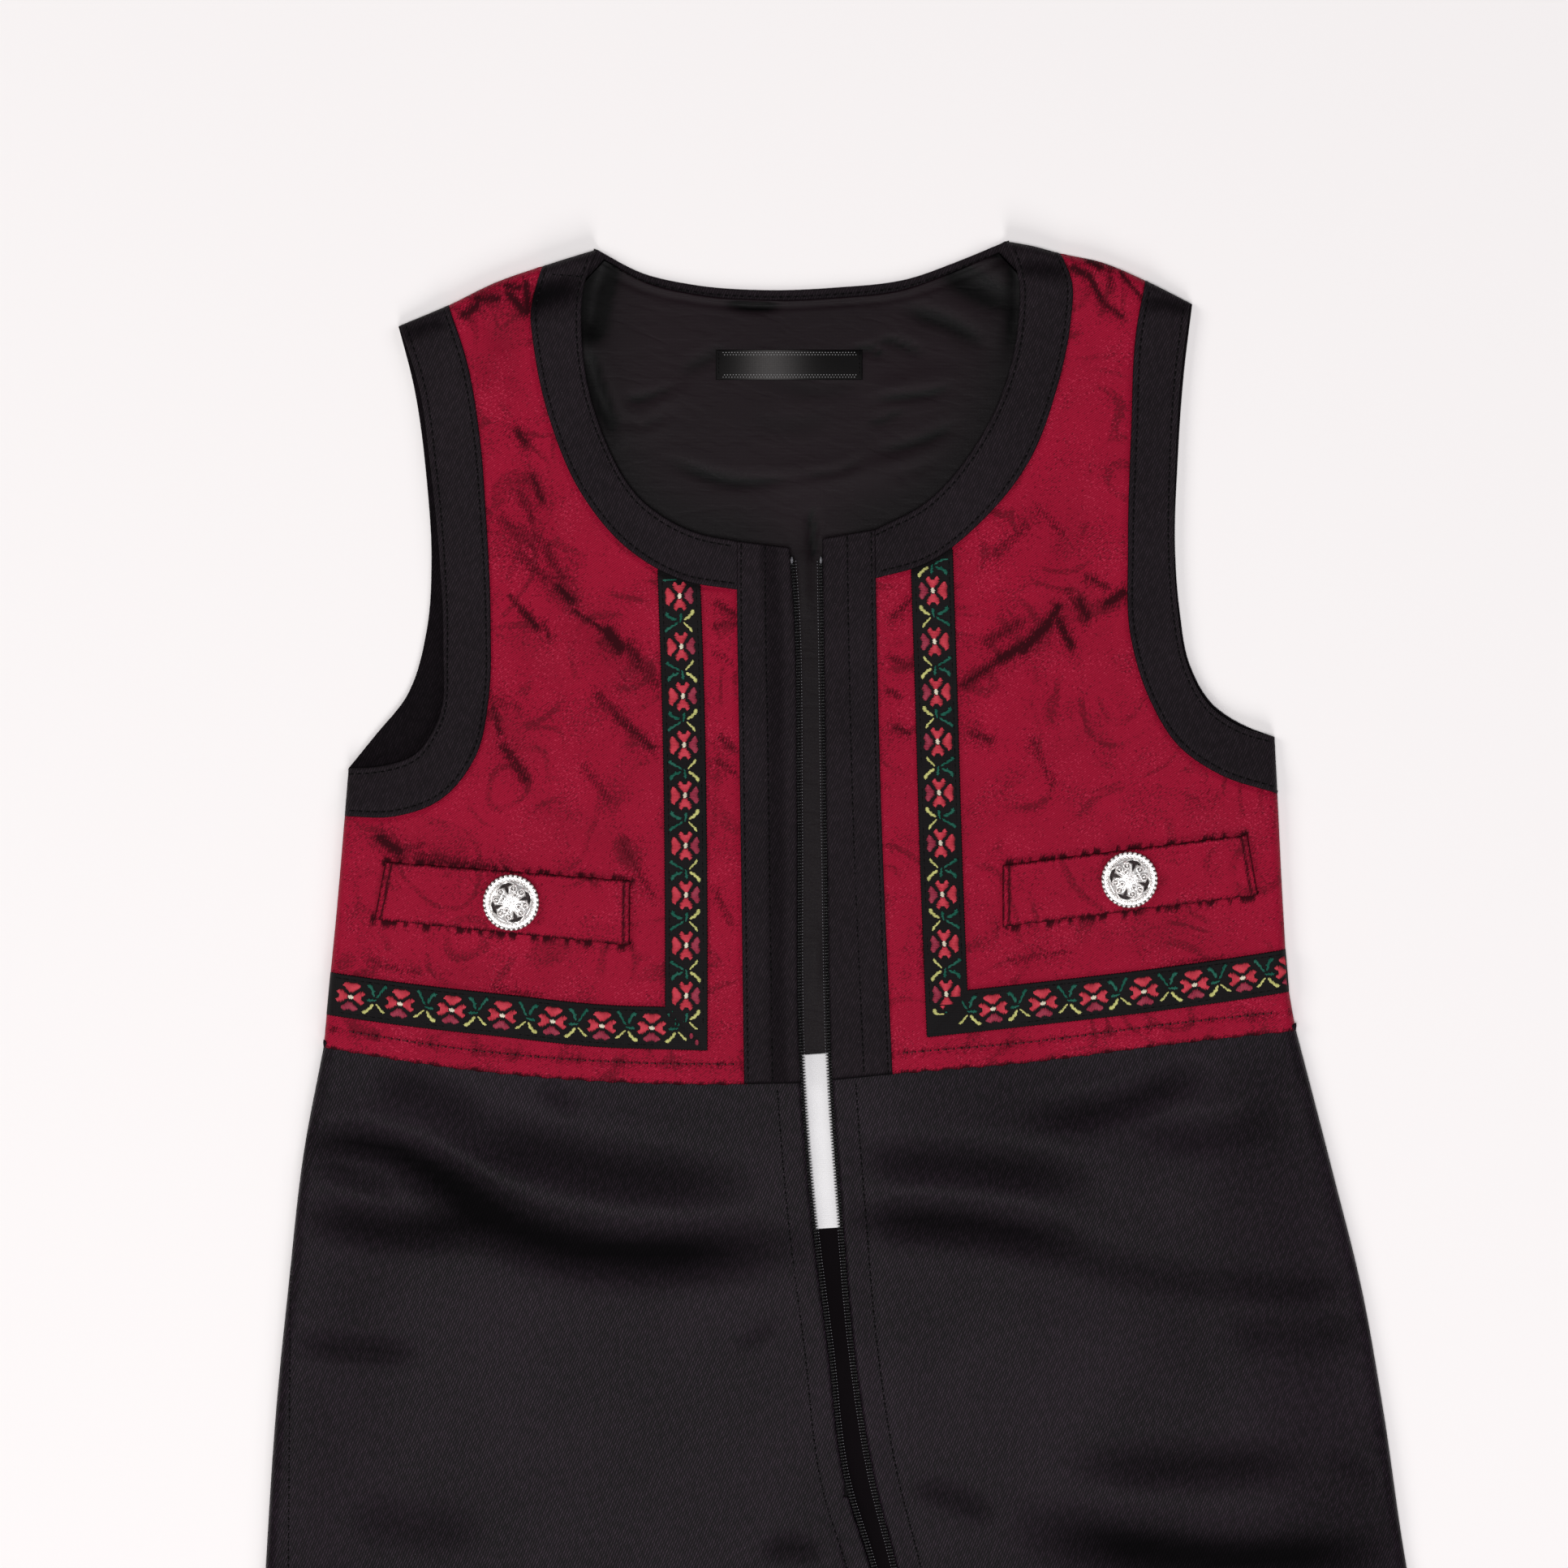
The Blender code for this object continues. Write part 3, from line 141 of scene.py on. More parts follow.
BODICE_SIDE = {
    L: ((-156.9, 177.3), (-158.1, 162.6), (-161, 129), (-163, 109), (-164.6, 91.3)),
    R: ((128.9, 187), (129.8, 169.5), (131.8, 130), (133.3, 109), (135.5, 96.5)),
}
PLACKET_SEAM = {
    L: ((-37, 247.2), (-37, 232.3), (-36.2, 180), (-34.8, 80.1)),
    R: ((5.6, 250.8), (5.8, 235.8), (7.6, 160), (10.9, 83.2)),
}
ARMHOLE_FOOT_ON_PLACKET = {L: 152, R: 160}
HEM = {
    L: ((-164.6, 91.3), (-126.5, 85.2), (-81.5, 81), (-34.8, 80.1), (-17.4, 80.4)),
    R: ((135.5, 96.5), (98.5, 92.5), (53.5, 86.8), (10.9, 83.2), (-7.6, 81.3)),
}
ZIP_TOP = 242.5
ZIP_EDGE = {
    L: ((-20.8, 245.2), (-19.4, 225), (-18.5, 165), (-17.4, 80.4), (-14, 39),
        (-9, -1), (-3.6, -43), (4.4, -69), (12.3, -101), (24.9, -161),
        (34.3, -212), (34.3, -222), (36, -231.5)),
    R: ((-10.7, 248), (-10.2, 215), (-9.2, 150), (-7.6, 81.3), (-4.5, 39),
        (-1, -1), (5.2, -41), (12.3, -69), (19.6, -101), (32.2, -161),
        (41.8, -212), (43.9, -222), (45.6, -231.5)),
}
ZIP_END = (42.3, -240.5)
LEG_SEAM_FOOT = (58, -340)
TROUSER_SIDE = {
    L: ((-164.6, 91.3), (-170.7, 59), (-175.3, 19), (-179.3, -21), (-182, -61),
        (-184.5, -110), (-186, -200), (-184.5, -340)),
    R: ((135.5, 96.5), (140.6, 77), (147.8, 49), (155.3, 19), (162.5, -21),
        (168.3, -61), (175.8, -105), (182.6, -165), (186, -245), (185, -340)),
}
CROTCH = (0, -101)
CENTRE_SEAM = ((-3.6, -43), (-5.4, -58.5), (-3.2, -76), CROTCH)
STRIP_TOP = -47
INNER_LEG = {
    L: (CROTCH, (-9, -161), (-21, -236), (-44, -340)),
    R: (CROTCH, (12.2, -161), (26, -236), (45, -340)),
}
BACK_NECK_EDGE = ((-80.3, 337.5), (-66.5, 330.3), (-51.5, 326.8), (-29, 325), (-6.5, 325.8),
                  (16, 328.5), (31, 333.8), (46, 340))
BACK_NECK_SEAM = ((-97, 332.3), (-80, 320), (-60, 312.6), (-18, 308.5), (24, 315),
                  (44, 323), (62.8, 336.2))
BACK_ARM_EDGE = {
    L: ((-141.5, 313.8), (-137, 296.5), (-132.8, 266.5), (-131.3, 240), (-132.6, 221),
        (-139.3, 199), (-148, 188.3), (-156.9, 177.3)),
    R: ((103.5, 320.6), (101, 300), (99, 272), (98.2, 245), (99.6, 226),
        (102.8, 209), (109.8, 197), (119, 190.8), (128.9, 187)),
}
BACK_WAIST = ((-164.6, 91.3), (-90, 82.4), (-13, 80), (62, 87), (135.5, 96.5))
LINING_SIDE = {
    L: ((-78, 334.4), (-86, 325), (-92, 308), (-90, 280), (-78, 252),
        (-60, 237), (-44, 215), (-36, 150), (-33, 84)),
    R: ((43.8, 336.6), (53, 326), (58, 308), (53, 282), (41, 262),
        (25, 247), (10, 225), (6, 150), (8, 84)),
}

# Soft troughs of the cloth; columns: x, y of the start, the middle and the end, then the depth,
# which is below nought for a ridge, and the width.
TROUSER_FOLDS = (
    (-178, 62, -148, 61, -102, 36, 2.5, 4), (-152, 60, -90, 31, -6, 31, 2.8, 7),
    (-176, 42, -146, 36, -108, 37, 1.9, 4.8), (-134, 72, -88, 57, -22, 45, 1.4, 7.4),
    (-178, 1, -158, -1, -132, -3, 1.2, 2.6), (-162, -52, -138, -56, -110, -60, 0.7, 7),
    (-170, -150, -120, -160, -60, -148, 1.6, 10), (-160, -250, -110, -244, -70, -254, 1.3, 9),
    (48, 71, 76, 73, 112, 87, 1.6, 3.6), (84, 66, 112, 65, 140, 74, 0.9, 4.6),
    (-6, 57, 30, 56, 80, 50, 1.5, 5.2), (-8, 39, 34, 37, 80, 27, 2.2, 5), (58, 30, 90, 22, 126, 17, 0.8, 4.6),
    (60, -38, 106, -37, 152, -35, 1.4, 5.4), (42, -54, 104, -65, 180, -62, 2.8, 7.8),
    (70, -150, 120, -160, 168, -152, 1.6, 10), (84, -256, 124, -248, 166, -258, 1.3, 9),
)
TROUSER_CREASES = (
    (-170, 57, -158, 53, -140, 46, 1.1, 3), (-152, 84, -134, 79, -112, 68, 0.9, 5),
    (-98, 82, -92, 77, -84, 73, 0.8, 2.4), (-38, -1, -30, 3, -22, 8, 0.6, 1.8),
    (-30, -64, -20, -62, -9, -66, 1.3, 2.4), (-120, 14, -84, 8, -52, 10, -0.5, 11),
    (-150, -30, -110, -36, -70, -30, -0.5, 12), (-160, -110, -124, -116, -96, -110, 0.8, 6),
    (-84, -188, -66, -204, -54, -224, 0.8, 6), (-176, -196, -150, -206, -118, -202, 1, 6),
    (-150, -300, -120, -308, -84, -300, 0.9, 7), (108, 21, 136, 18, 158, 20, 1.1, 4.2),
    (110, 5, 138, 3, 164, 5, 0.8, 4.6), (30, 12, 66, 2, 110, 0, -0.5, 11),
    (12, -46, 22, -45, 46, -55, 1, 2.6), (142, -32, 152, -36, 164, -43, 0.9, 2),
    (92, -84, 124, -88, 150, -84, 0.7, 6), (60, -110, 92, -120, 130, -114, 0.8, 7),
    (60, -206, 84, -214, 120, -206, 0.9, 7), (78, -306, 110, -312, 146, -302, 0.9, 7),
)
BODICE_FOLDS = (
    (-92, 236, -78, 216, -60, 198, 0.7, 7), (-116, 200, -108, 186, -100, 172, 0.6, 6),
    (34, 200, 58, 222, 82, 238, 0.7, 7), (-104, 318, -112, 306, -118, 292, 0.6, 6),
)
BODICE_CREASES = (
    (-110, 282, -98, 262, -88, 244, 0.25, 4), (-110, 226, -98, 210, -84, 196, 0.3, 4),
    (-106, 172, -84, 160, -66, 154, 0.3, 6), (-158, 152, -136, 156, -112, 152, 0.3, 4),
    (-150, 112, -110, 114, -70, 110, 0.3, 6), (-98, 330, -102, 318, -110, 308, 0.5, 3.5),
    (-118, 322, -113, 312, -106, 304, 0.35, 3), (-110, 314, -106, 302, -107, 286, 0.35, 2.6),
    (70, 331, 75, 323, 82, 316, 0.5, 2.2), (79, 331, 83, 327, 88, 322, 0.4, 1.6),
    (47, 331, 57, 331.5, 68, 330, 1.2, 2.8), (86, 321.5, 95, 320.5, 106, 317, 1.2, 2.4),
    (-143, 309, -134, 313, -124, 316, 1.2, 2.4), (72, 268, 66, 250, 54, 236, 0.3, 5),
    (80, 192, 62, 184, 44, 170, 0.3, 5), (126, 150, 104, 160, 84, 162, 0.25, 5),
    (40, 118, 80, 124, 124, 128, 0.3, 6), (-32, 216, -31, 180, -30, 140, 0.2, 3),
    (1, 210, 2, 170, 4, 130, 0.25, 3), (-81, 327, -92, 324.5, -105, 321, 1.8, 4.6),
    (-81, 333, -92, 330.5, -104, 328, -0.5, 2),
)
LINING_FOLDS = (
    (-39, 266, 6, 270, 31, 279, -0.2, 4), (1, 291, 18, 297, 31, 299, -0.2, 3),
    (-66, 288, -58, 292, -50, 294, -0.2, 3), (-76, 281, -66, 283, -56, 284, -0.2, 3),
)
LINING_CREASES = (
    (-76, 285, -66, 283, -57, 287, 0.32, 1.3), (-74, 291, -64, 292, -53, 296, 0.30, 1.3),
    (-56, 299, -46, 304, -40, 308, 0.18, 2), (-63, 274, -38, 266, -10, 268, 0.30, 1.8),
    (-20, 267.5, -4, 269.5, 6, 275, 0.30, 1.3), (3, 274, 16, 277, 34, 285, 0.28, 1.9),
    (2, 291.5, 14, 292, 32, 295, 0.34, 1.2), (3, 284.5, 8, 285, 16, 288, 0.24, 1),
    (4, 309, 10, 309.5, 22, 304, 0.26, 1.2), (12, 320, 30, 314, 44, 305, 0.30, 2.4),
    (-30, 298, -14, 294, 4, 297, 0.10, 2.6), (-36, 286, -22, 283, -4, 287, 0.08, 3),
    (8, 268, 20, 270, 30, 276, 0.16, 1.6), (24, 334, 38, 326, 54, 318, 0.5, 4.4),
    (30, 338, 42, 337, 52, 334, 0.5, 2.2), (47, 340, 50, 322, 46, 302, 0.6, 2.6),
    (-75, 340, -81, 324, -83, 306, 1.2, 4.2), (-84, 310, -80, 294, -73, 278, 0.7, 2.4),
    (-3, 306, 4, 307, 10, 304, 0.3, 1), (-42, 321, -32, 320, -22, 320, 0.5, 1.3),
    (-14, 259, -13.6, 250, -13.2, 240, 0.6, 0.9), (-17, 250, -16.4, 236, -16, 222, -0.3, 2.4),
    (-12, 132, -12.6, 118, -13, 104, -0.2, 2.6),
)


# ---------------------------------- lines in the plane


def smooth_line(points: Table | Array, step: float = 3.0) -> Array:
    """A smooth curve through the points.

    Args:
        points: the points, as rows of x and y.
        step: the longest side of the polyline.

    Returns:
        The polyline, one row for each point.
    """
    points = np.array(points, float)
    if len(points) == 2:
        count = max(2, int(np.hypot(*(points[1] - points[0])) / step) + 1)
        return points[0] + np.linspace(0, 1, count)[:, None] * (points[1] - points[0])
    knots = np.concatenate([[0], np.cumsum(np.hypot(*np.diff(points, axis=0).T))])
    slopes = np.gradient(points, knots, axis=0)
    line = [points[:1]]
    for i, length in enumerate(np.diff(knots)):
        t = np.linspace(0, 1, max(2, int(length / step) + 1))[1:, None]
        line.append((2 * t**3 - 3 * t**2 + 1) * points[i] + (t**3 - 2 * t**2 + t) * length * slopes[i]
                    + (3 * t**2 - 2 * t**3) * points[i + 1] + (t**3 - t**2) * length * slopes[i + 1])
    return np.concatenate(line)


def arc_lengths(line: Array) -> Array:
    """The distance along the line of each of its points."""
    return np.concatenate([[0], np.cumsum(np.hypot(*np.diff(line, axis=0).T))])


def along(line: Array, fractions: Array | Sequence[float]) -> Array:
    """Points of the line at these fractions of its length."""
    lengths = arc_lengths(line)
    at = np.asarray(fractions) * lengths[-1]
    return np.stack([np.interp(at, lengths, line[:, k]) for k in (0, 1)], axis=-1)


def stretch(line: Array, axis: int, start: float, end: float) -> Array:
    """The part of the line between two values of x (axis 0) or y (axis 1)."""
    lengths = arc_lengths(line)
    values = line[:, axis]
    if values[-1] < values[0]:
        values, start, end = -values, -start, -end
    low, high = np.interp([start, end], values, lengths)
    inside = (lengths > low + 1e-6) & (lengths < high - 1e-6)
    ends = along(line, np.array([low, high]) / lengths[-1])
    return np.concatenate([ends[:1], line[inside], ends[1:]])


def halves(line: Array, fraction: float) -> tuple[Array, Array]:
    """The line in two parts that meet at this fraction of its length."""
    lengths = arc_lengths(line)
    inside = lengths < fraction * lengths[-1]
    middle = along(line, [fraction])
    return np.concatenate([line[inside], middle]), np.concatenate([middle, line[~inside]])


def shifted(line: Array, distance: float) -> Array:
    """The line moved sideways, to the left of its direction for a positive distance."""
    tangent = np.gradient(line, arc_lengths(line), axis=0)
    tangent /= np.hypot(*tangent.T)[:, None]
    return line + distance * np.stack([-tangent[:, 1], tangent[:, 0]], axis=-1)


def rightwards(line: Array) -> Array:
    """The line, turned where needed to run from left to right."""
    return line if line[0, 0] <= line[-1, 0] else line[::-1]


def nearest(points: Array, line: Array) -> tuple[Array, Array, Array]:
    """How the points lie beside a line.

    Args:
        points: x and y in the last axis.
        line: the polyline.

    Returns:
        The shortest distance, the side (1 left, -1 right) and the fraction along the line.
    """
    start, edge, flat = line[:-1], np.diff(line, axis=0), points.reshape(-1, 2)
    square = (edge**2).sum(axis=1)
    gaps, sides, fractions = (np.empty(len(flat)) for _ in range(3))
    for first in range(0, len(flat), NEAREST_BATCH):
        part = slice(first, first + NEAREST_BATCH)
        reach = flat[part, None, :] - start
        t = np.clip((reach * edge).sum(axis=2) / square, 0, 1)
        away = reach - t[..., None] * edge
        distance = np.hypot(away[..., 0], away[..., 1])
        k = distance.argmin(axis=1)
        rows = np.arange(len(k))
        gaps[part] = distance[rows, k]
        sides[part] = np.sign(edge[k, 0] * away[rows, k, 1] - edge[k, 1] * away[rows, k, 0])
        fractions[part] = (k + t[rows, k]) / len(edge)
    gaps, sides, fractions = (value.reshape(points.shape[:-1]) for value in (gaps, sides, fractions))
    return gaps, sides, fractions


def gap_to(points: Array, line: Array) -> Array:
    """The shortest distance of each point to the line."""
    return nearest(points, line)[0]


def smooth_step(value: Array) -> Array:
    """Nought to one, with flat ends."""
    t = np.clip(value, 0, 1)
    return t * t * (3 - 2 * t)


def bell(distance: Array, width: float) -> Array:
    """One at nought, falling off softly over the width to both sides."""
    return np.exp(-((distance / width) ** 2))


class Pattern:
    """The smooth lines of the cut, made once from the tables."""

    def __init__(self) -> None:
        """Draws each line."""
        def both(table: dict[Side, Table]) -> dict[Side, Array]:
            """A smooth line for each side."""
            return {side: smooth_line(table[side]) for side in Side}

        self.shoulder = both(SHOULDER)
        self.neck_edge, self.neck_seam = both(NECK_EDGE), both(NECK_SEAM)
        self.arm_edge, self.arm_seam = both(ARM_EDGE), both(ARM_SEAM)
        self.bodice_side, self.placket_seam = both(BODICE_SIDE), both(PLACKET_SEAM)
        self.hem, self.zip_edge = both(HEM), both(ZIP_EDGE)
        self.trouser_side, self.inner_leg = both(TROUSER_SIDE), both(INNER_LEG)
        self.back_arm_edge, self.lining_side = both(BACK_ARM_EDGE), both(LINING_SIDE)
        self.back_neck_edge = smooth_line(BACK_NECK_EDGE)
        self.back_neck_seam = smooth_line(BACK_NECK_SEAM)
        self.back_waist = smooth_line(BACK_WAIST)
        self.centre_seam = smooth_line(CENTRE_SEAM)
        self.leg_seam = smooth_line((ZIP_END, LEG_SEAM_FOOT))
        sides = [along(self.zip_edge[side], np.linspace(0, 1, 30)) for side in Side]
        self.zip_centre = smooth_line((sides[0] + sides[1]) / 2)


PATTERN = Pattern()


# ---------------------------------- the cloth's forms


class Crease:
    """A fold as a curved line with a soft cross-section."""

    def __init__(self, fold: tuple[float, ...]) -> None:
        """Draws the fold's line from left to right."""
        *line, self.depth, self.width = fold
        self.line = rightwards(smooth_line(np.reshape(line, (3, 2)), 6.0))

    def rise(self, points: Array) -> Array:
        """How far the fold lifts or lowers each point."""
        low = self.line.min(axis=0) - 4 * self.width
        high = self.line.max(axis=0) + 4 * self.width
        near = ((points > low) & (points < high)).all(axis=1)
        rise = np.zeros(len(points))
        if not near.any():
            return rise
        gap, side, fraction = nearest(points[near], self.line)
        taper = smooth_step(np.minimum(fraction, 1 - fraction) / FOLD_END)
        height = -self.depth * bell(gap, self.width)
        if self.depth > 0:
            height += FOLD_LIP * self.depth * np.exp(-((side * gap / self.width - 1.8) ** 2))
        rise[near] = taper * height
        return rise


class FreeEdge(NamedTuple):
    """An edge near which the cloth settles to a level of its own."""

    line: Array
    level: float
    reach: float


def zip_nearness(points: Array) -> Array:
    """One beside the zip, falling to nought away from it."""
    return 1 - smooth_step((gap_to(points, PATTERN.zip_centre) - ZIP_SHELF) / ZIP_SLOPE)


def bodice_crown(points: Array) -> Array:
    """The height of the red fronts, higher beside the zip."""
    return BODICE_SIDE_LEVEL + (BODICE_ZIP_LEVEL - BODICE_SIDE_LEVEL) * zip_nearness(points)


def trouser_crown(points: Array) -> Array:
    """A shelf beside the zip, a step down at the hem, and a billow over each leg."""
    near = zip_nearness(points)
    low = TROUSER_SIDE_LEVEL + (BODICE_ZIP_LEVEL - TROUSER_DROP - TROUSER_SIDE_LEVEL) * near
    lines = [part[side] for part in (PATTERN.trouser_side, PATTERN.hem, PATTERN.inner_leg) for side in Side]
    clear = np.min([gap_to(points, line) for line in lines], axis=0)
    return low + TROUSER_BILLOW * smooth_step(clear / BILLOW_REACH) * (1 - near)


def lining_crown(points: Array) -> Array:
    """The level of the lining."""
    return np.full(len(points), LINING_TOP)


def tape_crown(points: Array) -> Array:
    """The level of the zip tapes, which step down at the hem."""
    start, end = TAPE_RAMP
    down = smooth_step((start - points[:, 1]) / (start - end))
    return TAPE_TOP_BODICE + (TAPE_TOP_TROUSER - TAPE_TOP_BODICE) * down


class Form:
    """The outer surface of a layer of cloth, as a height over the floor."""

    def __init__(self, crown: Callable[[Array], Array], rolls: Iterable[Array] = (),
                 free_edges: Iterable[FreeEdge] = (), folds: Table = ()) -> None:
        """Takes the level of the layer and what bends it.

        Args:
            crown: the level before any edge or fold.
            rolls: lines where the cloth turns down to the back.
            free_edges: edges that settle to a level of their own.
            folds: troughs and ridges.
        """
        self.crown, self.rolls, self.free_edges = crown, list(rolls), list(free_edges)
        self.creases = [Crease(fold) for fold in folds]

    def height(self, points: Array) -> Array:
        """The height over the floor of each point of the plan."""
        flat = np.asarray(points, float).reshape(-1, 2)
        top = self.crown(flat)
        if self.creases:
            calm = smooth_step((gap_to(flat, PATTERN.zip_centre) - FOLD_CALM) / FOLD_CALM)
            if self.crown is lining_crown:
                calm = 1.0
            top = top + calm * sum(crease.rise(flat) for crease in self.creases)
        for edge in self.free_edges:
            clear = np.maximum(smooth_step(gap_to(flat, edge.line) / edge.reach), zip_nearness(flat))
            top = edge.level + (top - edge.level) * clear
        if self.rolls:
            above = top - LOWEST_FRONT
            top = LOWEST_FRONT + (above + np.sqrt(above**2 + 0.1)) / 2
            inset = np.min([gap_to(flat, line) for line in self.rolls], axis=0) - HALF_GAP
            turn = 1 - np.clip(inset / ROLL, 0, 1)
            top = EDGE_LEVEL + (top - EDGE_LEVEL) * np.sqrt(1 - turn**2)
        return top.reshape(np.shape(points)[:-1])

    def hollow(self, points: Array, depth: float = 2.6) -> Array:
        """How deep in a trough each point lies, up to one at this depth: the painted shade of the creases."""
        rise = sum(crease.rise(points.reshape(-1, 2)) for crease in self.creases)
        return np.clip(-rise / depth, 0, 1).reshape(points.shape[:-1])


@cache
def bodice_form(side: Side) -> Form:
    """The form that the red front, its bands and its placket share."""
    return Form(bodice_crown, (PATTERN.shoulder[side], PATTERN.bodice_side[side]),
                (FreeEdge(PATTERN.neck_edge[side], NECK_LEVEL, NECK_REACH),
                 FreeEdge(PATTERN.arm_edge[side], ARMHOLE_LEVEL, ARMHOLE_REACH)),
                BODICE_FOLDS + BODICE_CREASES)


@cache
def trouser_form() -> Form:
    """The form that the trouser fronts and the inner leg strip share."""
    ends = [smooth_line((PATTERN.trouser_side[side][-1], PATTERN.inner_leg[side][-1])) for side in Side]
    rolls = [part[side] for part in (PATTERN.trouser_side, PATTERN.inner_leg) for side in Side]
    return Form(trouser_crown, rolls, [FreeEdge(end, LEG_HEM_LEVEL, LEG_HEM_REACH) for end in ends],
                TROUSER_FOLDS + TROUSER_CREASES)


@cache
def lining_form() -> Form:
    """The form of the lining and of the labels on it."""
    return Form(lining_crown, folds=LINING_FOLDS + LINING_CREASES)


@cache
def tape_form() -> Form:
    """The form of the zip tapes."""
    return Form(tape_crown)


# ---------------------------------- grids of cloth


class Stretch(NamedTuple):
    """A part of a panel between a left line and a right line, both running down."""

    left: Array
    right: Array


@dataclass
class Grid:
    """Points of a panel in rows from the top down, with how far each lies in from each border."""

    points: Array
    left: Array
    right: Array
    top: Array
    bottom: Array

    @property
    def side_inset(self) -> Array:
        """The distance in from the nearer of the left and right borders."""
        return np.minimum(self.left, self.right)

    @property
    def inset(self) -> Array:
        """The distance in from the nearest border."""
        return np.minimum(self.side_inset, np.minimum(self.top, self.bottom))


def places(length: float, steps: int, start: Sequence[float], end: Sequence[float]) -> Array:
    """Distances along a length: closer at its ends, and even between them.

    Args:
        length: the length.
        steps: the number of even steps.
        start: distances in from the start.
        end: distances in from the end.

    Returns:
        The distances, from the start.
    """
    scale = min(1.0, 0.9 * length / (start[-1] + end[-1] + 1e-6))
    first, last = np.array(start) * scale, length - np.array(end[::-1]) * scale
    return np.concatenate([first[:-1], np.linspace(first[-1], last[0], steps + 1), last[1:]])


def bulge(line: Array, fractions: Array) -> Array:
    """How far the line leaves the straight line between its ends, at these fractions."""
    return along(line, fractions) - (line[0] + fractions[:, None] * (line[-1] - line[0]))


def panel_grid(parts: Sequence[Stretch], pitch: float,
               stops: tuple[Sequence[float], Sequence[float], Sequence[float], Sequence[float]],
               over: tuple[float, float] = (0.0, 0.0), top: Array | None = None,
               bottom: Array | None = None) -> Grid:
    """Rows of points between the left and right lines of the parts.

    Args:
        parts: the parts of the panel, from the top down.
        pitch: the size of a cell.
        stops: extra rows in from the left, right, top and bottom borders.
        over: how far the panel reaches past its left and right lines.
        top: the panel's top line, whose curve fades into the panel.
        bottom: the panel's bottom line, likewise.

    Returns:
        The grid.
    """
    lefts, rights, downs, base = [], [], [], 0.0
    for k, part in enumerate(parts):
        length = (arc_lengths(part.left)[-1] + arc_lengths(part.right)[-1]) / 2
        at = places(length, max(2, round(length / pitch)), stops[2] if k == 0 else PLAIN_STOPS,
                    stops[3] if k == len(parts) - 1 else PLAIN_STOPS)[1 if k else 0:]
        lefts.append(along(part.left, at / length))
        rights.append(along(part.right, at / length))
        downs.append(base + at)
        base += length
    left, right, down = np.concatenate(lefts), np.concatenate(rights), np.concatenate(downs)
    across = right - left
    widths = np.hypot(*across.T)
    unit = across / widths[:, None]
    left, widths = left - over[0] * unit, widths + over[0] + over[1]
    steps = max(1, round((widths.max() - stops[0][-1] - stops[1][-1]) / pitch))
    at = np.array([places(width, steps, stops[0], stops[1]) for width in widths])
    points = left[:, None] + at[..., None] * unit[:, None]
    for line, share in ((top, 1 - down / base), (bottom, down / base)):
        if line is not None:
            for row in range(len(points)):
                points[row] += share[row] * bulge(line, at[row] / widths[row])
    rows = np.broadcast_to(down[:, None], at.shape)
    return Grid(points, at - over[0], widths[:, None] - at - over[1], rows, base - rows)


def tuck(distance: Array, depth: float, reach: float) -> Array:
    """A drop towards an edge that goes under its neighbour."""
    return -depth * (1 - smooth_step(distance / reach))


def round_over(distance: Array, radius: float) -> Array:
    """A drop over a folded edge, as a quarter circle."""
    t = 1 - np.clip(distance / radius, 0, 1)
    return -radius * (1 - np.sqrt(1 - t * t))


def channel(distance: Array, depth: float = 0.2, width: float = 0.6) -> Array:
    """The groove that a row of stitches pulls into the cloth."""
    return -depth * bell(distance, width)


def unevenness(points: Array, size: float, seed: float = 0.0) -> Array:
    """A gentle waviness from minus one to one, the same on each run."""
    x, y = points[..., 0] / size + seed, points[..., 1] / size - 2 * seed
    return (np.sin(1.7 * x + 1.1 * y) * np.sin(0.9 * x - 1.9 * y + 1.3)
            + 0.5 * np.sin(3.1 * x - 1.3 * y + 0.7) * np.sin(2.3 * y + 1.9 * x)) / 1.5


# ---------------------------------- meshes and pieces


def set_weave(mesh: bpy.types.Mesh, weave: Array) -> None:
    """Gives each vertex of a mesh its place in the cloth's own coordinates."""
    corners = np.empty(len(mesh.loops), np.int32)
    mesh.loops.foreach_get("vertex_index", corners)
    layer = mesh.uv_layers.new(name="UVMap")
    layer.data.foreach_set("uv", (weave.reshape(-1, 2)[corners] * MM).astype(np.float32).ravel())


def show(mesh: bpy.types.Mesh) -> Object:
    """A smooth object of the mesh, in the scene."""
    mesh.shade_smooth()
    mesh.update()
    made = bpy.data.objects.new(mesh.name, mesh)
    bpy.context.scene.collection.objects.link(made)
    return made


def grid_mesh(name: str, places_3d: Array, weave: Array) -> Object:
    """A mesh over a grid of points in space.

    Args:
        name: the piece's name.
        places_3d: rows and columns of points in millimetres, from the top left.
        weave: the cloth's own coordinates of each point, in millimetres.

    Returns:
        The object, facing up.
    """
    rows, columns = places_3d.shape[:2]
    bm = bmesh.new()
    bmesh.ops.create_grid(bm, x_segments=columns - 1, y_segments=rows - 1, size=0.5)
    mesh = bpy.data.meshes.new(name)
    bm.to_mesh(mesh)
    bm.free()
    mesh.vertices.foreach_set("co", (places_3d[::-1] * MM).astype(np.float32).ravel())
    set_weave(mesh, weave[::-1])
    return show(mesh)


def paint(piece: Object, name: str, values: Array) -> None:
    """Stores one value for each point of a grid on its mesh."""
    attribute = piece.data.attributes.new(name, "FLOAT", "POINT")
    attribute.data.foreach_set("value", values[::-1].astype(np.float32).ravel())


def thicken(piece: Object, wall: float) -> None:
    """Gives a surface its wall, on the side away from its face."""
    solid = piece.modifiers.new("Wall", "SOLIDIFY")
    solid.thickness, solid.offset, solid.use_even_offset = wall * MM, -1.0, False


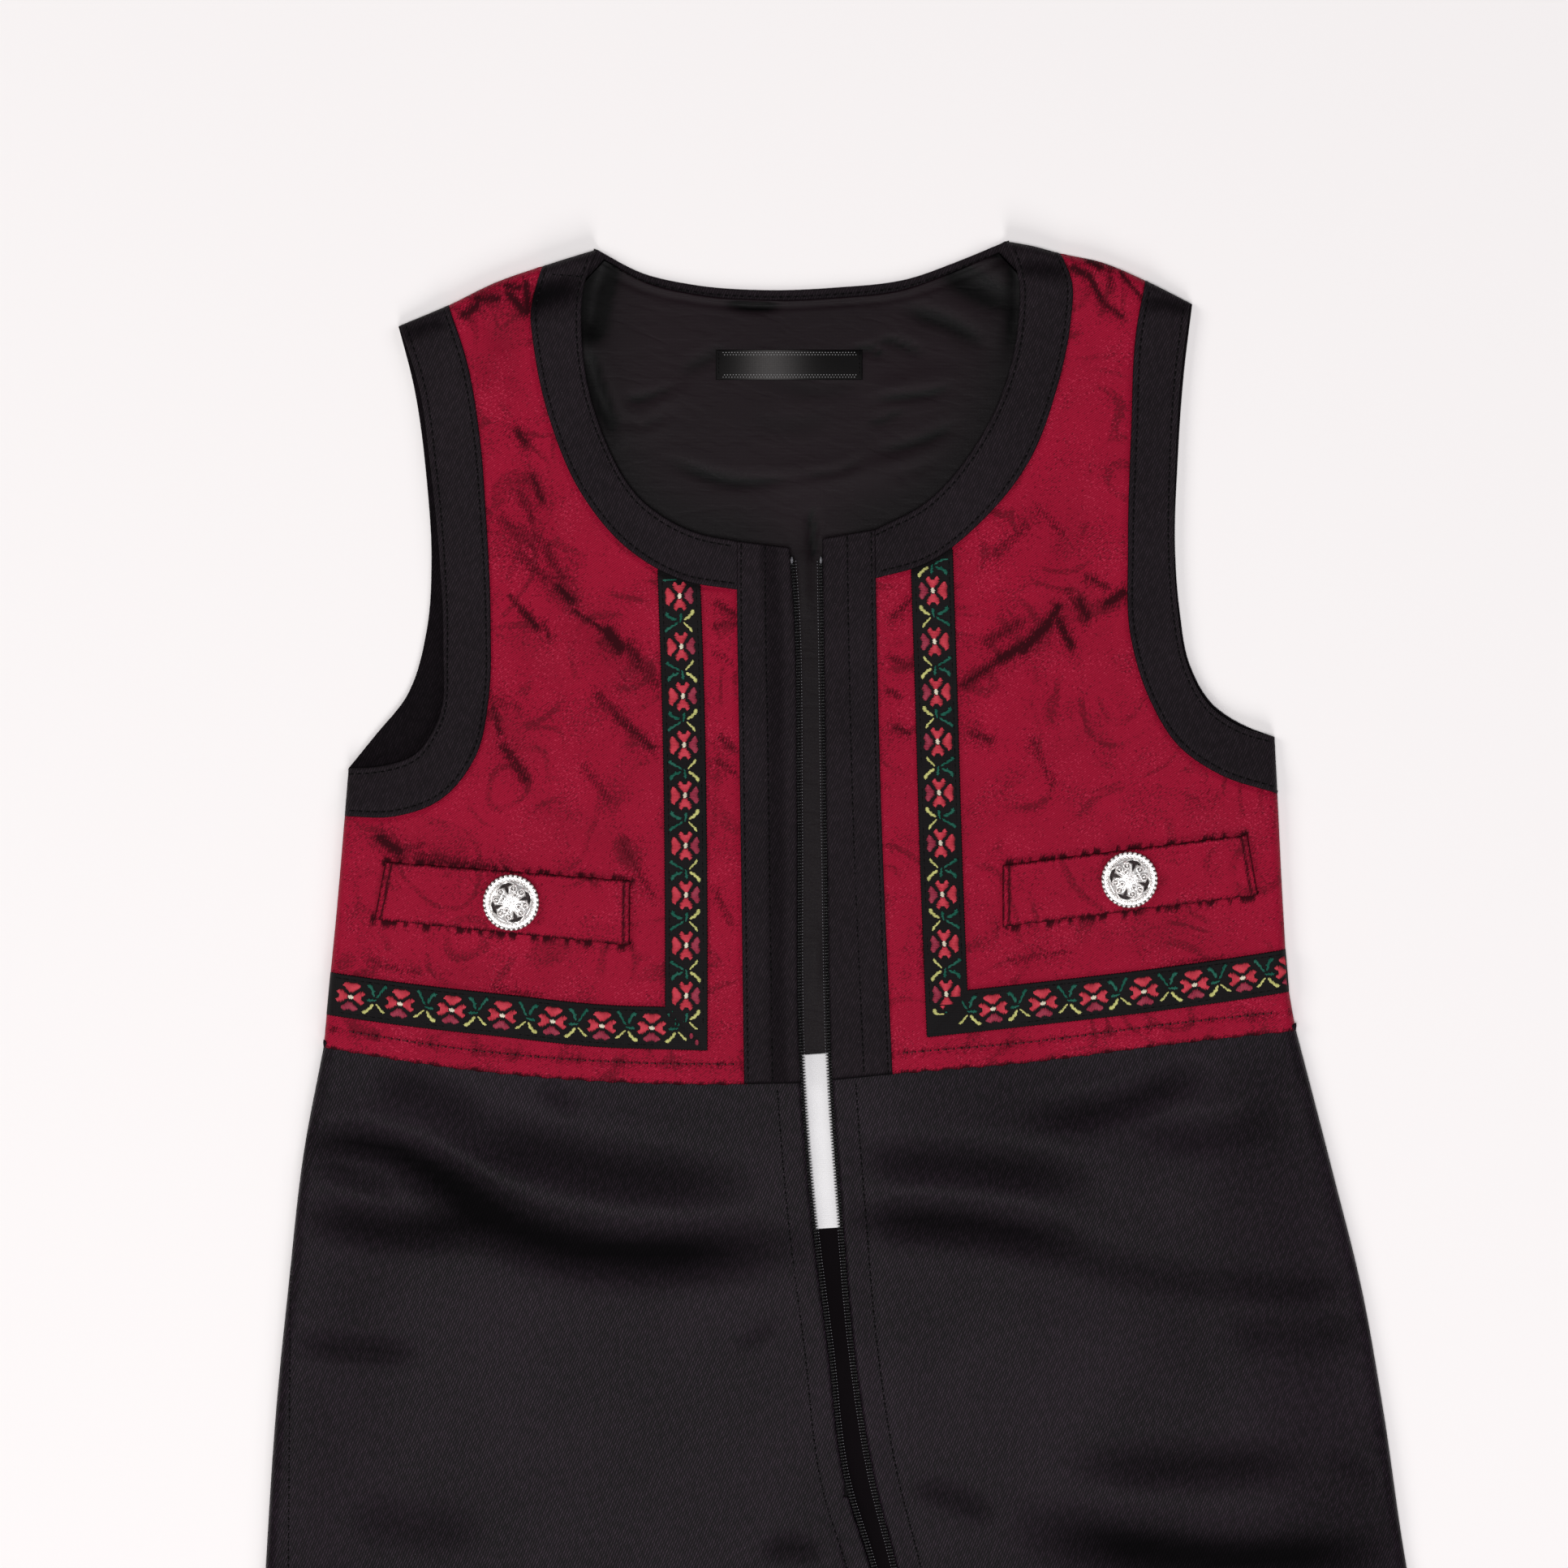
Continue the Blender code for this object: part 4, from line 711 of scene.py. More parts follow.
def surface_area(places_3d: Array) -> float:
    """The area of a grid of points in space, in square millimetres."""
    a, b = places_3d[1:, 1:] - places_3d[:-1, :-1], places_3d[1:, :-1] - places_3d[:-1, 1:]
    return float(np.linalg.norm(np.cross(a, b), axis=-1).sum() / 2)


@dataclass(frozen=True)
class Cloth:
    """The cut size of a sheet of cloth in millimetres and what it lies on."""

    width: float
    length: float
    rests_on: str


def settle(piece: Object, slot: str, *materials: Material, solid: str = "") -> None:
    """Puts a finished piece on the garment.

    Args:
        piece: the piece.
        slot: the record's material slot; not used.
        materials: its materials.
        solid: the solid that it stands for, if any.
    """
    for material in materials:
        piece.data.materials.append(material)
    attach(piece, GARMENT)
    if solid:
        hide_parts(solid)


@dataclass(frozen=True)
class Template:
    """A small shape that is laid down many times."""

    points: Array
    faces: list[tuple[int, ...]]

    @classmethod
    def from_bmesh(cls, bm: bmesh.types.BMesh) -> "Template":
        """Takes the shape from a bmesh and frees it."""
        bmesh.ops.recalc_face_normals(bm, faces=bm.faces)
        bm.verts.index_update()
        made = cls(np.array([v.co for v in bm.verts], float),
                   [tuple(v.index for v in face.verts) for face in bm.faces])
        bm.free()
        return made


def joined(name: str, template: Template, copies: Array, weave: Array | None = None,
           slots: Sequence[int] = ()) -> Object:
    """One mesh of many copies of a shape.

    Args:
        name: the piece's name.
        template: the shape.
        copies: the points of each copy in millimetres, as copy, point and axis.
        weave: coordinates of each copy's points for its material, in millimetres.
        slots: the material of each copy.

    Returns:
        The object.
    """
    count, points = copies.shape[:2]
    mesh = bpy.data.meshes.new(name)
    faces = [tuple(i + points * k for i in face) for k in range(count) for face in template.faces]
    mesh.from_pydata((copies.reshape(-1, 3) * MM).tolist(), [], faces)
    if weave is not None:
        set_weave(mesh, weave)
    if len(slots):
        mesh.polygons.foreach_set("material_index", np.repeat(slots, len(template.faces)).astype(np.int32))
    return show(mesh)


# ---------------------------------- finishes


@dataclass(frozen=True)
class Signal:
    """A value that changes over a surface, written into a formula."""

    graph: "Graph"
    socket: NodeSocket

    def __add__(self, other: object) -> "Signal":
        """The sum."""
        return self.graph.math("ADD", self, other)

    def __sub__(self, other: object) -> "Signal":
        """The difference."""
        return self.graph.math("SUBTRACT", self, other)

    def __rsub__(self, other: float) -> "Signal":
        """What the signal leaves of a number."""
        return self.graph.math("SUBTRACT", other, self)

    def __mul__(self, other: object) -> "Signal":
        """The product."""
        return self.graph.math("MULTIPLY", self, other)

    def __truediv__(self, other: object) -> "Signal":
        """The quotient."""
        return self.graph.math("DIVIDE", self, other)

    def scaled(self, factor: float, base: float) -> "Signal":
        """The signal times a factor, over a base."""
        return self.graph.math("MULTIPLY_ADD", self, factor, base)

    def wave(self) -> "Signal":
        """A wave from nought to one, one for each whole number."""
        return self.graph.math("SINE", self * math.tau).scaled(0.5, 0.5)

    def ramp(self, low: float, high: float, to_low: float = 0.0, to_high: float = 1.0) -> "Signal":
        """The signal moved from one range to another, with soft ends."""
        return self.graph.value("ShaderNodeMapRange", {0: self, 1: low, 2: high, 3: to_low, 4: to_high},
                                interpolation_type="SMOOTHSTEP")


class Graph:
    """A node tree that is filled with short calls."""

    def __init__(self, tree: NodeTree) -> None:
        """Takes the tree to fill."""
        self.tree = tree

    def add(self, kind: str, inputs: dict | None = None, **settings: object) -> Node:
        """Adds a node.

        Args:
            kind: the node's type.
            inputs: signals, numbers or colours by input name or number.
            settings: the node's own settings.

        Returns:
            The node.
        """
        node = self.tree.nodes.new(kind)
        for name, value in settings.items():
            setattr(node, name, value)
        for name, value in (inputs or {}).items():
            self.put(node.inputs[name], value)
        return node

    def put(self, socket: NodeSocket, value: object) -> None:
        """Links a signal to an input, or sets a constant on it."""
        if isinstance(value, Signal):
            self.tree.links.new(value.socket, socket)
        elif value is not None:
            socket.default_value = value

    def value(self, kind: str, inputs: dict | None = None, output: int | str = 0,
              **settings: object) -> Signal:
        """Adds a node and gives one of its outputs."""
        return Signal(self, self.add(kind, inputs, **settings).outputs[output])

    def math(self, operation: str, a: object, b: object = None, c: object = None) -> Signal:
        """The result of a math node."""
        return self.value("ShaderNodeMath", {0: a, 1: b, 2: c}, operation=operation)

    def mix(self, share: object, a: object, b: object) -> Signal:
        """A mix of two colours."""
        a, b = ((*colour, 1) if isinstance(colour, tuple) else colour for colour in (a, b))
        return self.value("ShaderNodeMix", {0: share, 6: a, 7: b}, 2, data_type="RGBA")

    def noise(self, vector: object, scale: object, detail: float = 2.0) -> Signal:
        """A noise value about a half."""
        return self.value("ShaderNodeTexNoise", {"Vector": vector, "Scale": scale, "Detail": detail})

    def turned(self, vector: object, degrees: float, scale: tuple[float, ...] = ()) -> Signal:
        """Coordinates turned in the plane, then scaled."""
        turn = self.value("ShaderNodeMapping", {0: vector, 2: (0, 0, math.radians(degrees))})
        return self.value("ShaderNodeMapping", {0: turn, 3: scale}) if scale else turn

    def group(self, tree: NodeTree, **inputs: object) -> dict[str, Signal]:
        """The outputs of a node group with these inputs."""
        node = self.add("ShaderNodeGroup", inputs, node_tree=tree)
        return {socket.name: Signal(self, socket) for socket in node.outputs}


class Group(Graph):
    """A shader node group with named inputs and outputs."""

    def __init__(self, name: str, inputs: dict[str, float | None], outputs: Sequence[str]) -> None:
        """Makes an empty group.

        Args:
            name: the group's name.
            inputs: the default of each input; None makes a vector.
            outputs: the names of its values.
        """
        super().__init__(bpy.data.node_groups.new(name, "ShaderNodeTree"))
        face = self.tree.interface
        for label, default in inputs.items():
            kind = "NodeSocketVector" if default is None else "NodeSocketFloat"
            socket = face.new_socket(name=label, in_out="INPUT", socket_type=kind)
            if default is not None:
                socket.default_value = default
        for label in outputs:
            face.new_socket(name=label, in_out="OUTPUT", socket_type="NodeSocketFloat")
        sockets = self.add("NodeGroupInput").outputs
        self.given = [Signal(self, sockets[label]) for label in inputs]

    def give(self, **values: Signal) -> NodeTree:
        """Links the group's outputs and gives its tree."""
        self.add("NodeGroupOutput", values)
        return self.tree


@cache
def rib_group() -> NodeTree:
    """Twill ribs: lines across x that waver a little and break into floats along y."""
    g = Group("twill_ribs", {"Vector": None, "Pitch": 0.0007, "Waver": 0.25}, ("Rib", "Float"))
    vector, pitch, waver = g.given
    x, y = (g.value("ShaderNodeSeparateXYZ", {0: vector}, axis) for axis in "XY")
    phase = x / pitch + (g.noise(vector, 420.0, 1.0) - 0.5) * waver
    step = y / (pitch * 2.3) + g.math("FLOOR", phase) * 0.37
    return g.give(Rib=phase.wave(), Float=step.wave())


@cache
def fleck_group() -> NodeTree:
    """Small specks: the larger the amount, the more of them."""
    g = Group("flecks", {"Vector": None, "Scale": 2000.0, "Amount": 0.2}, ("Mask",))
    vector, scale, amount = g.given
    past_edge = g.noise(vector, scale, 1.0) - (0.78 - amount * 0.5)
    return g.give(Mask=g.value("ShaderNodeMath", {0: past_edge, 1: 14.0}, operation="MULTIPLY", use_clamp=True))


@cache
def arc_group() -> NodeTree:
    """Faint curled lines of a woven damask: arcs about scattered centres, broken by noise."""
    g = Group("damask_arcs", {"Vector": None}, ("Line",))
    vector = g.given[0]
    warp = g.value("ShaderNodeTexNoise", {"Vector": vector, "Scale": 40.0, "Detail": 1.0}, "Color")
    bent = g.value("ShaderNodeVectorMath", {0: warp, 1: (0.014, 0.014, 0.0)}, operation="MULTIPLY")
    moved = g.value("ShaderNodeVectorMath", {0: vector, 1: bent}, operation="ADD")
    cell = g.value("ShaderNodeTexVoronoi", {"Vector": moved, "Scale": 30.0}, "Distance")
    line = g.math("SINE", cell * 34.0).ramp(0.35, 0.95)
    return g.give(Line=line * g.noise(vector, 55.0).ramp(0.45, 0.6))


@cache
def wear_group() -> NodeTree:
    """Slow changes over the cloth: a cloudy tone from handling, and fine dust."""
    g = Group("handling", {"Vector": None, "Size": 30.0}, ("Cloud", "Dust"))
    vector, size = g.given
    return g.give(Cloud=g.noise(vector, size, 3.0).ramp(0.3, 0.7),
                  Dust=g.noise(vector, 1400.0, 1.0).ramp(0.74, 0.8))


class Skin(Graph):
    """A Principled material, with the coordinates that its patterns follow."""

    def __init__(self, name: str, roughness: float, metallic: float = 0.0, specular: float = 0.5,
                 on_uv: bool = True) -> None:
        """Makes the material.

        Args:
            name: its name.
            roughness: how matt it is.
            metallic: one for bare metal.
            specular: the strength of its reflections.
            on_uv: whether patterns follow the cloth's own coordinates.
        """
        self.material = bpy.data.materials.new(name)
        self.material.use_nodes = True
        super().__init__(self.material.node_tree)
        self.shader = self.tree.nodes["Principled BSDF"].inputs
        for key, value in (("Roughness", roughness), ("Metallic", metallic), ("Specular IOR Level", specular)):
            self.put(self.shader[key], value)
        self.weave = (self.value("ShaderNodeUVMap", uv_map="UVMap") if on_uv
                      else self.value("ShaderNodeTexCoord", output="Object"))

    def ribs(self, pitch: float, waver: float, turn: float | None = None) -> dict[str, Signal]:
        """The ribs of the weave, turned by these degrees."""
        vector = self.weave if turn is None else self.turned(self.weave, turn)
        return self.group(rib_group(), Vector=vector, Pitch=pitch, Waver=waver)

    def handling(self, size: float) -> dict[str, Signal]:
        """The clouds and the dust of this size."""
        return self.group(wear_group(), Vector=self.weave, Size=size)

    def painted(self, name: str) -> Signal:
        """A value that is stored on the piece."""
        return self.value("ShaderNodeAttribute", None, "Fac", attribute_name=name)

    def finish(self, colour: Signal, height: Signal, depth: float, roughness: Signal | None = None) -> Material:
        """Feeds a colour, a relief in metres and a roughness to the shader.

        Args:
            colour: the colour.
            height: the relief, from nought to about one.
            depth: the height of one in metres.
            roughness: the roughness, where it changes over the surface.

        Returns:
            The material.
        """
        bump = self.value("ShaderNodeBump", {"Strength": 1.0, "Distance": depth, "Height": height})
        for key, value in (("Base Color", colour), ("Normal", bump), ("Roughness", roughness)):
            self.put(self.shader[key], value)
        return self.material


@dataclass(frozen=True)
class Jacquard:
    """Red figured cloth: fine slanted ribs, dark flecks, pale glints and dark woven figures."""

    red: Colour = (0.372, 0.0054, 0.033)
    deep: Colour = (0.135, 0.0034, 0.012)
    dark: Colour = (0.026, 0.0026, 0.005)
    glint: Colour = (0.560, 0.040, 0.090)
    pitch: float = 0.00058
    comb: float = 0.00085
    slant: float = 55.0

    def material(self) -> Material:
        """The material, which reads each piece's figure attribute and its painted shade."""
        g = Skin("red_jacquard", 0.62, specular=0.055)
        rib = g.ribs(self.pitch, 0.35, self.slant)["Rib"]
        arcs = g.group(arc_group(), Vector=g.weave)["Line"]
        fine = g.noise(g.weave, 900.0, 4.0)
        figure, figured = self.figured(g, fine)
        patch = g.noise(g.weave, 75.0, 3.0).ramp(0.42, 0.66) * 0.13
        amount = (arcs * 0.13 + 0.155) + (figure * 0.34 + patch)
        hatch = g.noise(g.turned(g.weave, self.slant, (1.0, 0.45, 1.0)), 2100.0)
        specks = g.value("ShaderNodeClamp", {0: (hatch - (0.78 - amount)) * 9.0})
        bright = g.noise(g.weave, 60.0, 3.0).ramp(0.42, 0.68).scaled(0.20, 0.24)
        glints = g.group(fleck_group(), Vector=g.turned(g.weave, 20.0), Scale=1500.0, Amount=bright)["Mask"]
        tone = g.mix(rib.scaled(-0.58, 0.58), self.red, self.deep)
        # The last mix is painted shade: the stored value darkens the red in creases.
        for share, colour in ((g.handling(34.0)["Cloud"] * 0.16, self.deep), (arcs * 0.26, self.deep),
                              (glints * 0.45, self.glint), (specks * 0.50, self.dark),
                              (figured * figure.ramp(0.2, 1.2, 0.50, 0.94), self.dark),
                              (g.painted("hollow") * 0.6, self.dark)):
            tone = g.mix(share, tone, colour)
        relief = (rib * 0.45 + (figured + specks) * -0.45) + fine * 0.8
        return g.finish(tone, relief, 0.00007, figured.scaled(0.25, 0.58))

    def figured(self, g: Skin, fine: Signal) -> tuple[Signal, Signal]:
        """The woven figures as they are painted, and with the comb of threads at their edges."""
        figure = g.painted("figure")
        streaks = g.noise(g.turned(g.weave, self.slant, (1.0, 0.16, 1.0)), 2300.0, 1.0)
        comb = g.math("MAXIMUM", streaks, g.ribs(self.comb, 0.9, 16.0)["Rib"].scaled(0.24, 0.43))
        edge = comb * 3.6 + fine * 2.4
        return figure, (figure + (edge - 3.35)).ramp(0.42, 0.64)


@dataclass(frozen=True)
class Twill:
    """Black twill: slanted ribs of short floats."""

    name: str
    base: Colour
    light: Colour
    pitch: float
    slant: float
    roughness: float
    gloss: float
    relief: float
    dust: Colour = (0.10, 0.09, 0.10)
    shade: Colour = (0.0008, 0.0006, 0.0009)

    def material(self) -> Material:
        """The material."""
        g = Skin(self.name, self.roughness, specular=self.gloss)
        ribs, wear = g.ribs(self.pitch, 0.45, self.slant), g.handling(22.0)
        grain = g.noise(g.weave, 2600.0)
        rib = ribs["Rib"] * ribs["Float"].scaled(0.45, 0.55)
        slub = g.noise(g.turned(g.weave, self.slant, (1.0, 0.4, 1.0)), 900.0).ramp(0.34, 0.68, 0.45, 1.5)
        share = rib * (slub * grain.scaled(1.1, 0.1)) + (wear["Cloud"] - 0.5) * 0.16
        # Painted shade: the stored value darkens the twill towards its shade colour and makes it rougher.
        hollow = g.painted("hollow")
        tone = g.mix(wear["Dust"] * 0.25, g.mix(share, self.base, self.light), self.dust)
        tone = g.mix(hollow * 0.95, tone, self.shade)
        rough = g.math("MULTIPLY_ADD", hollow, 0.5, (1.0 - rib).scaled(0.18, self.roughness))
        return g.finish(tone, rib + grain * 0.35, self.relief, rough)


@dataclass(frozen=True)
class PlainWeave:
    """A fine plain weave: the lining, the labels and the ribbon's ground."""

    name: str
    base: Colour
    light: Colour
    pitch: float
    roughness: float
    relief: float
    gloss: float = 0.25
    wrinkle: float = 0.0
    shade: Colour = (0.0004, 0.0003, 0.0004)

    def material(self) -> Material:
        """The material."""
        g = Skin(self.name, self.roughness, specular=self.gloss)
        cell = g.ribs(self.pitch, 0.2)["Rib"] * g.ribs(self.pitch, 0.2, 90.0)["Rib"]
        grain = g.noise(g.weave, 1800.0)
        share = ((cell + grain) * 0.6) * g.handling(26.0)["Cloud"].scaled(0.5, 0.75)
        height = cell + grain * 0.4
        if self.wrinkle:
            bent = g.noise(g.turned(g.weave, 8.0, (0.35, 1.0, 1.0)), 130.0, 3.0)
            height += g.math("ABSOLUTE", bent - 0.5).ramp(0.0, 0.10) * self.wrinkle
        # Painted shade: the stored value darkens the weave towards its shade colour; on the black label it
        # leaves a painted sheen in the middle.
        tone = g.mix(g.painted("hollow") * 0.95, g.mix(share, self.base, self.light), self.shade)
        return g.finish(tone, height, self.relief, grain.scaled(0.2, self.roughness - 0.1))


@dataclass(frozen=True)
class Thread:
    """Sewing or embroidery thread: twisted strands with a soft gloss."""

    name: str
    base: Colour
    shade: Colour
    roughness: float = 0.5
    pitch: float = 0.00036
    on_uv: bool = True
    gloss: float = 0.3

    def material(self) -> Material:
        """The material."""
        g = Skin(self.name, self.roughness, specular=self.gloss, on_uv=self.on_uv)
        strand = g.ribs(self.pitch, 0.5)["Rib"]
        grain = g.noise(g.weave, 2400.0)
        share = (1.0 - strand) * 0.75 + (grain - 0.5) * 0.9
        return g.finish(g.mix(share, self.base, self.shade), strand + grain, 0.00009,
                        grain.scaled(0.2, self.roughness))


@dataclass(frozen=True)
class Metal:
    """Cast or painted metal with worn high spots and dull hollows."""

    name: str
    base: Colour
    hollow: Colour
    roughness: float
    metallic: float

    def material(self) -> Material:
        """The material."""
        g = Skin(self.name, self.roughness, self.metallic, on_uv=False)
        cast = g.noise(g.weave, 2200.0, 3.0)
        stain = g.noise(g.weave, 480.0).ramp(0.42, 0.72)
        high = g.value("ShaderNodeNewGeometry", output="Pointiness").ramp(0.44, 0.5)
        tone = g.mix(stain * 0.25, g.mix(high, self.hollow, self.base), self.hollow)
        return g.finish(tone, cast, 0.00004, (cast + stain).scaled(0.16, self.roughness - 0.1))


@dataclass(frozen=True)
class Paper:
    """The pale floor of the studio."""

    tone: Colour = (0.968, 0.948, 0.940)
    fleck: Colour = (0.8, 0.8, 0.8)

    def material(self) -> Material:
        """The material."""
        g = Skin("studio_floor", 0.9, specular=0.1, on_uv=False)
        grain = g.noise(g.weave, 900.0)
        return g.finish(g.mix(grain * 0.03, self.tone, self.fleck), grain, 0.00001)


class Silk(Enum):
    """The silks of the embroidery: each one's colour and shade."""

    CORAL = ((0.66, 0.050, 0.080), (0.42, 0.022, 0.042))
    RASPBERRY = ((0.46, 0.040, 0.085), (0.10, 0.008, 0.020))
    CREAM = ((0.92, 0.86, 0.70), (0.66, 0.58, 0.42))
    GREEN = ((0.009, 0.150, 0.098), (0.003, 0.050, 0.036))
    LIME = ((0.68, 0.68, 0.25), (0.44, 0.44, 0.13))

    @property
    def slot(self) -> int:
        """The number of its material."""
        return list(Silk).index(self)


class Finishes:
    """Every material of the suit, made once and shared."""

    def __init__(self) -> None:
        """Builds the materials."""
        self.jacquard = Jacquard().material()
        self.twill = Twill("black_twill", (0.0058, 0.0038, 0.0052), (0.0255, 0.0176, 0.0232), 0.00072,
                           24.0, 0.60, 0.10, 0.00004).material()
        self.satin = Twill("black_satin_twill", (0.0010, 0.0003, 0.0010), (0.0280, 0.0163, 0.0268), 0.00073,
                           22.0, 0.38, 0.09, 0.000010).material()
        self.lining = PlainWeave("black_lining", (0.0034, 0.0013, 0.0022), (0.0112, 0.0052, 0.0078),
                                 0.00034, 0.42, 0.00001, 0.080, 2.0).material()
        self.lining_in_shade = PlainWeave("lining_in_shade", (0.0030, 0.0022, 0.0028),
                                          (0.0075, 0.0055, 0.0068), 0.00034, 0.7, 0.00001, 0.02).material()
        self.ribbon = PlainWeave("ribbon_ground", (0.0012, 0.0010, 0.0012), (0.0105, 0.0088, 0.0098),
                                 0.00046, 0.7, 0.00005, 0.12).material()
        # The black label's light colour is a painted sheen, kept to its middle by painted shade at both ends.
        self.label_black = PlainWeave("black_label", (0.0300, 0.0290, 0.0300), (0.0950, 0.0900, 0.0865),
                                      0.0004, 0.42, 0.00001, 0.04).material()
        self.label_white = PlainWeave("white_label", (0.72, 0.72, 0.73), (0.90, 0.90, 0.90),
                                      0.00042, 0.4, 0.00002, 0.4).material()
        # Painted shade: dark blobs that stand for the needle holes between the stitches.
        self.needle_hole_shade = self.sewing("needle_hole_shade", (0.0010, 0.0008, 0.0010), (0.0004, 0.0003, 0.0004), 0.9)
        self.black_thread = self.sewing("black_thread", (0.0022, 0.0018, 0.0022), (0.0006, 0.0005, 0.0006),
                                        0.7, 0.08)
        self.red_thread = self.sewing("red_thread", (0.17, 0.008, 0.022), (0.05, 0.003, 0.008))
        self.grey_thread = self.sewing("label_thread", (0.40, 0.40, 0.40), (0.20, 0.20, 0.20))
        self.zip_glint = self.sewing("zip_glint", (0.26, 0.26, 0.28), (0.12, 0.12, 0.13), 0.3, 0.5)
        self.coil = self.sewing("zip_coil", (0.0060, 0.0058, 0.0064), (0.0020, 0.0018, 0.0022), 0.22, 0.6)
        self.silks = [Thread(f"{silk.name.lower()}_silk", *silk.value).material() for silk in Silk]
        self.silver = Metal("silver", (0.97, 0.95, 0.93), (0.26, 0.24, 0.23), 0.27, 0.62).material()
        # Tarnish in the buttons' scroll grooves, and painted shade in their openings and on the rim between the
        # beads.
        self.button_tarnish_and_shade = Metal("tarnished_hollow", (0.030, 0.018, 0.018), (0.012, 0.008, 0.008), 0.6, 0.3
                             ).material()
        self.black_metal = Metal("black_metal", (0.030, 0.030, 0.032), (0.008, 0.008, 0.009), 0.34, 0.7
                                 ).material()

    @staticmethod
    def sewing(name: str, base: Colour, shade: Colour, roughness: float = 0.5, gloss: float = 0.3) -> Material:
        """A thread whose twist is fixed in space."""
        return Thread(name, base, shade, roughness, on_uv=False, gloss=gloss).material()


# ---------------------------------- how cloth is laid and sewn

SHELL = 0.9
TRIM_SHELL = 0.6
BAND_LIFT = 0.35
UNDER_BAND = 0.7
STITCH_PITCH, STITCH_LENGTH = 2.4, 1.5
BAND_STITCH = 1.8
BAND_THREAD = BAND_LIFT - 0.12
PLACKET_STITCHES = (1.3, 8.8)
HOLE = 0.5


def lay(solid: str, grid: Grid, height: Array, slot: str, material: Material, cut: Cloth,
        wall: float = SHELL, **painted: Array) -> None:
    """Lays a sheet of cloth over the grid, in place of its solid.

    Args:
        solid: the solid that it stands for.
        grid: its points in the plan.
        height: the height of its outer face at each point.
        slot: the record's material slot.
        material: its finish.
        cut: its cut.
        wall: its thickness.
        painted: the values that its finish reads, by their names.
    """
    spots = np.concatenate([grid.points, height[..., None]], axis=-1)
    piece = grid_mesh(f"{solid}_cloth", spots, grid.points)
    for name, values in painted.items():
        paint(piece, name, values)
    thicken(piece, wall)
    settle(piece, slot, material, solid=solid)
    min(surface_area(spots), cut.width * cut.length) * MM * MM


def ball_template(segments: int, rings: int) -> Template:
    """A ball of radius one."""
    bm = bmesh.new()
    bmesh.ops.create_uvsphere(bm, u_segments=segments, v_segments=rings, radius=1.0)
    return Template.from_bmesh(bm)


def runs_along(line: Array, height: Callable[[Array], Array], lift: float, pitch: float = STITCH_PITCH,
               length: float = STITCH_LENGTH) -> Array:
    """A row of stitches along a line.

    Args:
        line: the line in the plan.
        height: the height of the cloth.
        lift: how far the thread lies over it.
        pitch: from one stitch to the next.
        length: the length of a stitch.

    Returns:
        The two ends of each stitch, as stitch, end and axis.
    """
    total = arc_lengths(line)[-1]
    starts = np.arange(0.4, max(0.5, total - length), pitch)
    ends = np.stack([along(line, starts / total), along(line, (starts + length) / total)], axis=1)
    level = height(ends) + lift
    return np.concatenate([ends, level[..., None]], axis=-1)


def thread_copies(template: Template, ends: Array, radius: float, flatten: float = 0.8) -> Array:
    """The template drawn out between the two ends of each stitch.

    Args:
        template: a ball of radius one.
        ends: the two ends of each stitch.
        radius: the radius of the thread.
        flatten: how tall it is for its width.

    Returns:
        The points of each copy.
    """
    centre, half = ends.mean(axis=1), (ends[:, 1] - ends[:, 0]) / 2
    side = np.stack([-half[:, 1], half[:, 0], np.zeros(len(half))], axis=-1)
    side /= np.linalg.norm(side, axis=1)[:, None]
    up = np.array((0.0, 0.0, 1.0))
    x, y, z = (template.points[None, :, k, None] for k in range(3))
    return centre[:, None] + half[:, None] * x + radius * side[:, None] * y + radius * flatten * up * z


def sew(name: str, rows: Sequence[Array], material: Material, slot: str,
        radius: float = 0.30, hole_shade: Material | None = None) -> None:
    """Sews rows of stitches as one piece.

    Args:
        name: the piece's name.
        rows: the ends of the stitches of each row.
        material: the thread.
        slot: the record's material slot.
        radius: the radius of the thread.
        hole_shade: the painted shade of the needle holes between the stitches, as dark blobs where they show.
    """
    template, ends = ball_template(5, 3), np.concatenate(rows)
    copies, slots = thread_copies(template, ends, radius), np.zeros(len(ends), int)
    # Painted shade: a flat dark blob beyond the end of each stitch stands for its needle hole.
    if hole_shade is not None:
        along_it = ends[:, 1] - ends[:, 0]
        along_it *= HOLE / np.linalg.norm(along_it, axis=1)[:, None]
        holes = np.stack([ends[:, 1] - along_it * 0.2, ends[:, 1] + along_it], axis=1)
        copies = np.concatenate([copies, thread_copies(template, holes, radius * 1.5, 0.5)])
        slots = np.concatenate([slots, slots + 1])
    settle(joined(name, template, copies, slots=slots), slot, *(m for m in (material, hole_shade) if m))


def cut_at(line: Array, other: Array) -> Array:
    """The part of the line before it first crosses the other one."""
    for i, (a, b) in enumerate(zip(line, line[1:])):
        for c, d in zip(other, other[1:]):
            sides = np.array([b - a, c - d]).T
            if abs(np.linalg.det(sides)) > 1e-9:
                s, t = np.linalg.solve(sides, c - a)
                if 0 <= s <= 1 and 0 <= t <= 1:
                    return np.concatenate([line[:i + 1], [a + s * (b - a)]])
    return line


def mitred(first: Array, second: Array) -> tuple[Array, Array]:
    """Two lines cut or lengthened to meet where their end and start directions cross."""
    a, u = first[-1], first[-1] - first[-2]
    b, v = second[0], second[1] - second[0]
    corner = a + np.linalg.solve(np.array([u, -v]).T, b - a)[0] * u
    kept = first[:-1][(corner - first[:-1]) @ u > 0.5]
    rest = second[1:][(second[1:] - corner) @ v > 0.5]
    return np.concatenate([kept, [corner]]), np.concatenate([[corner], rest])


# ---------------------------------- the back and the lining


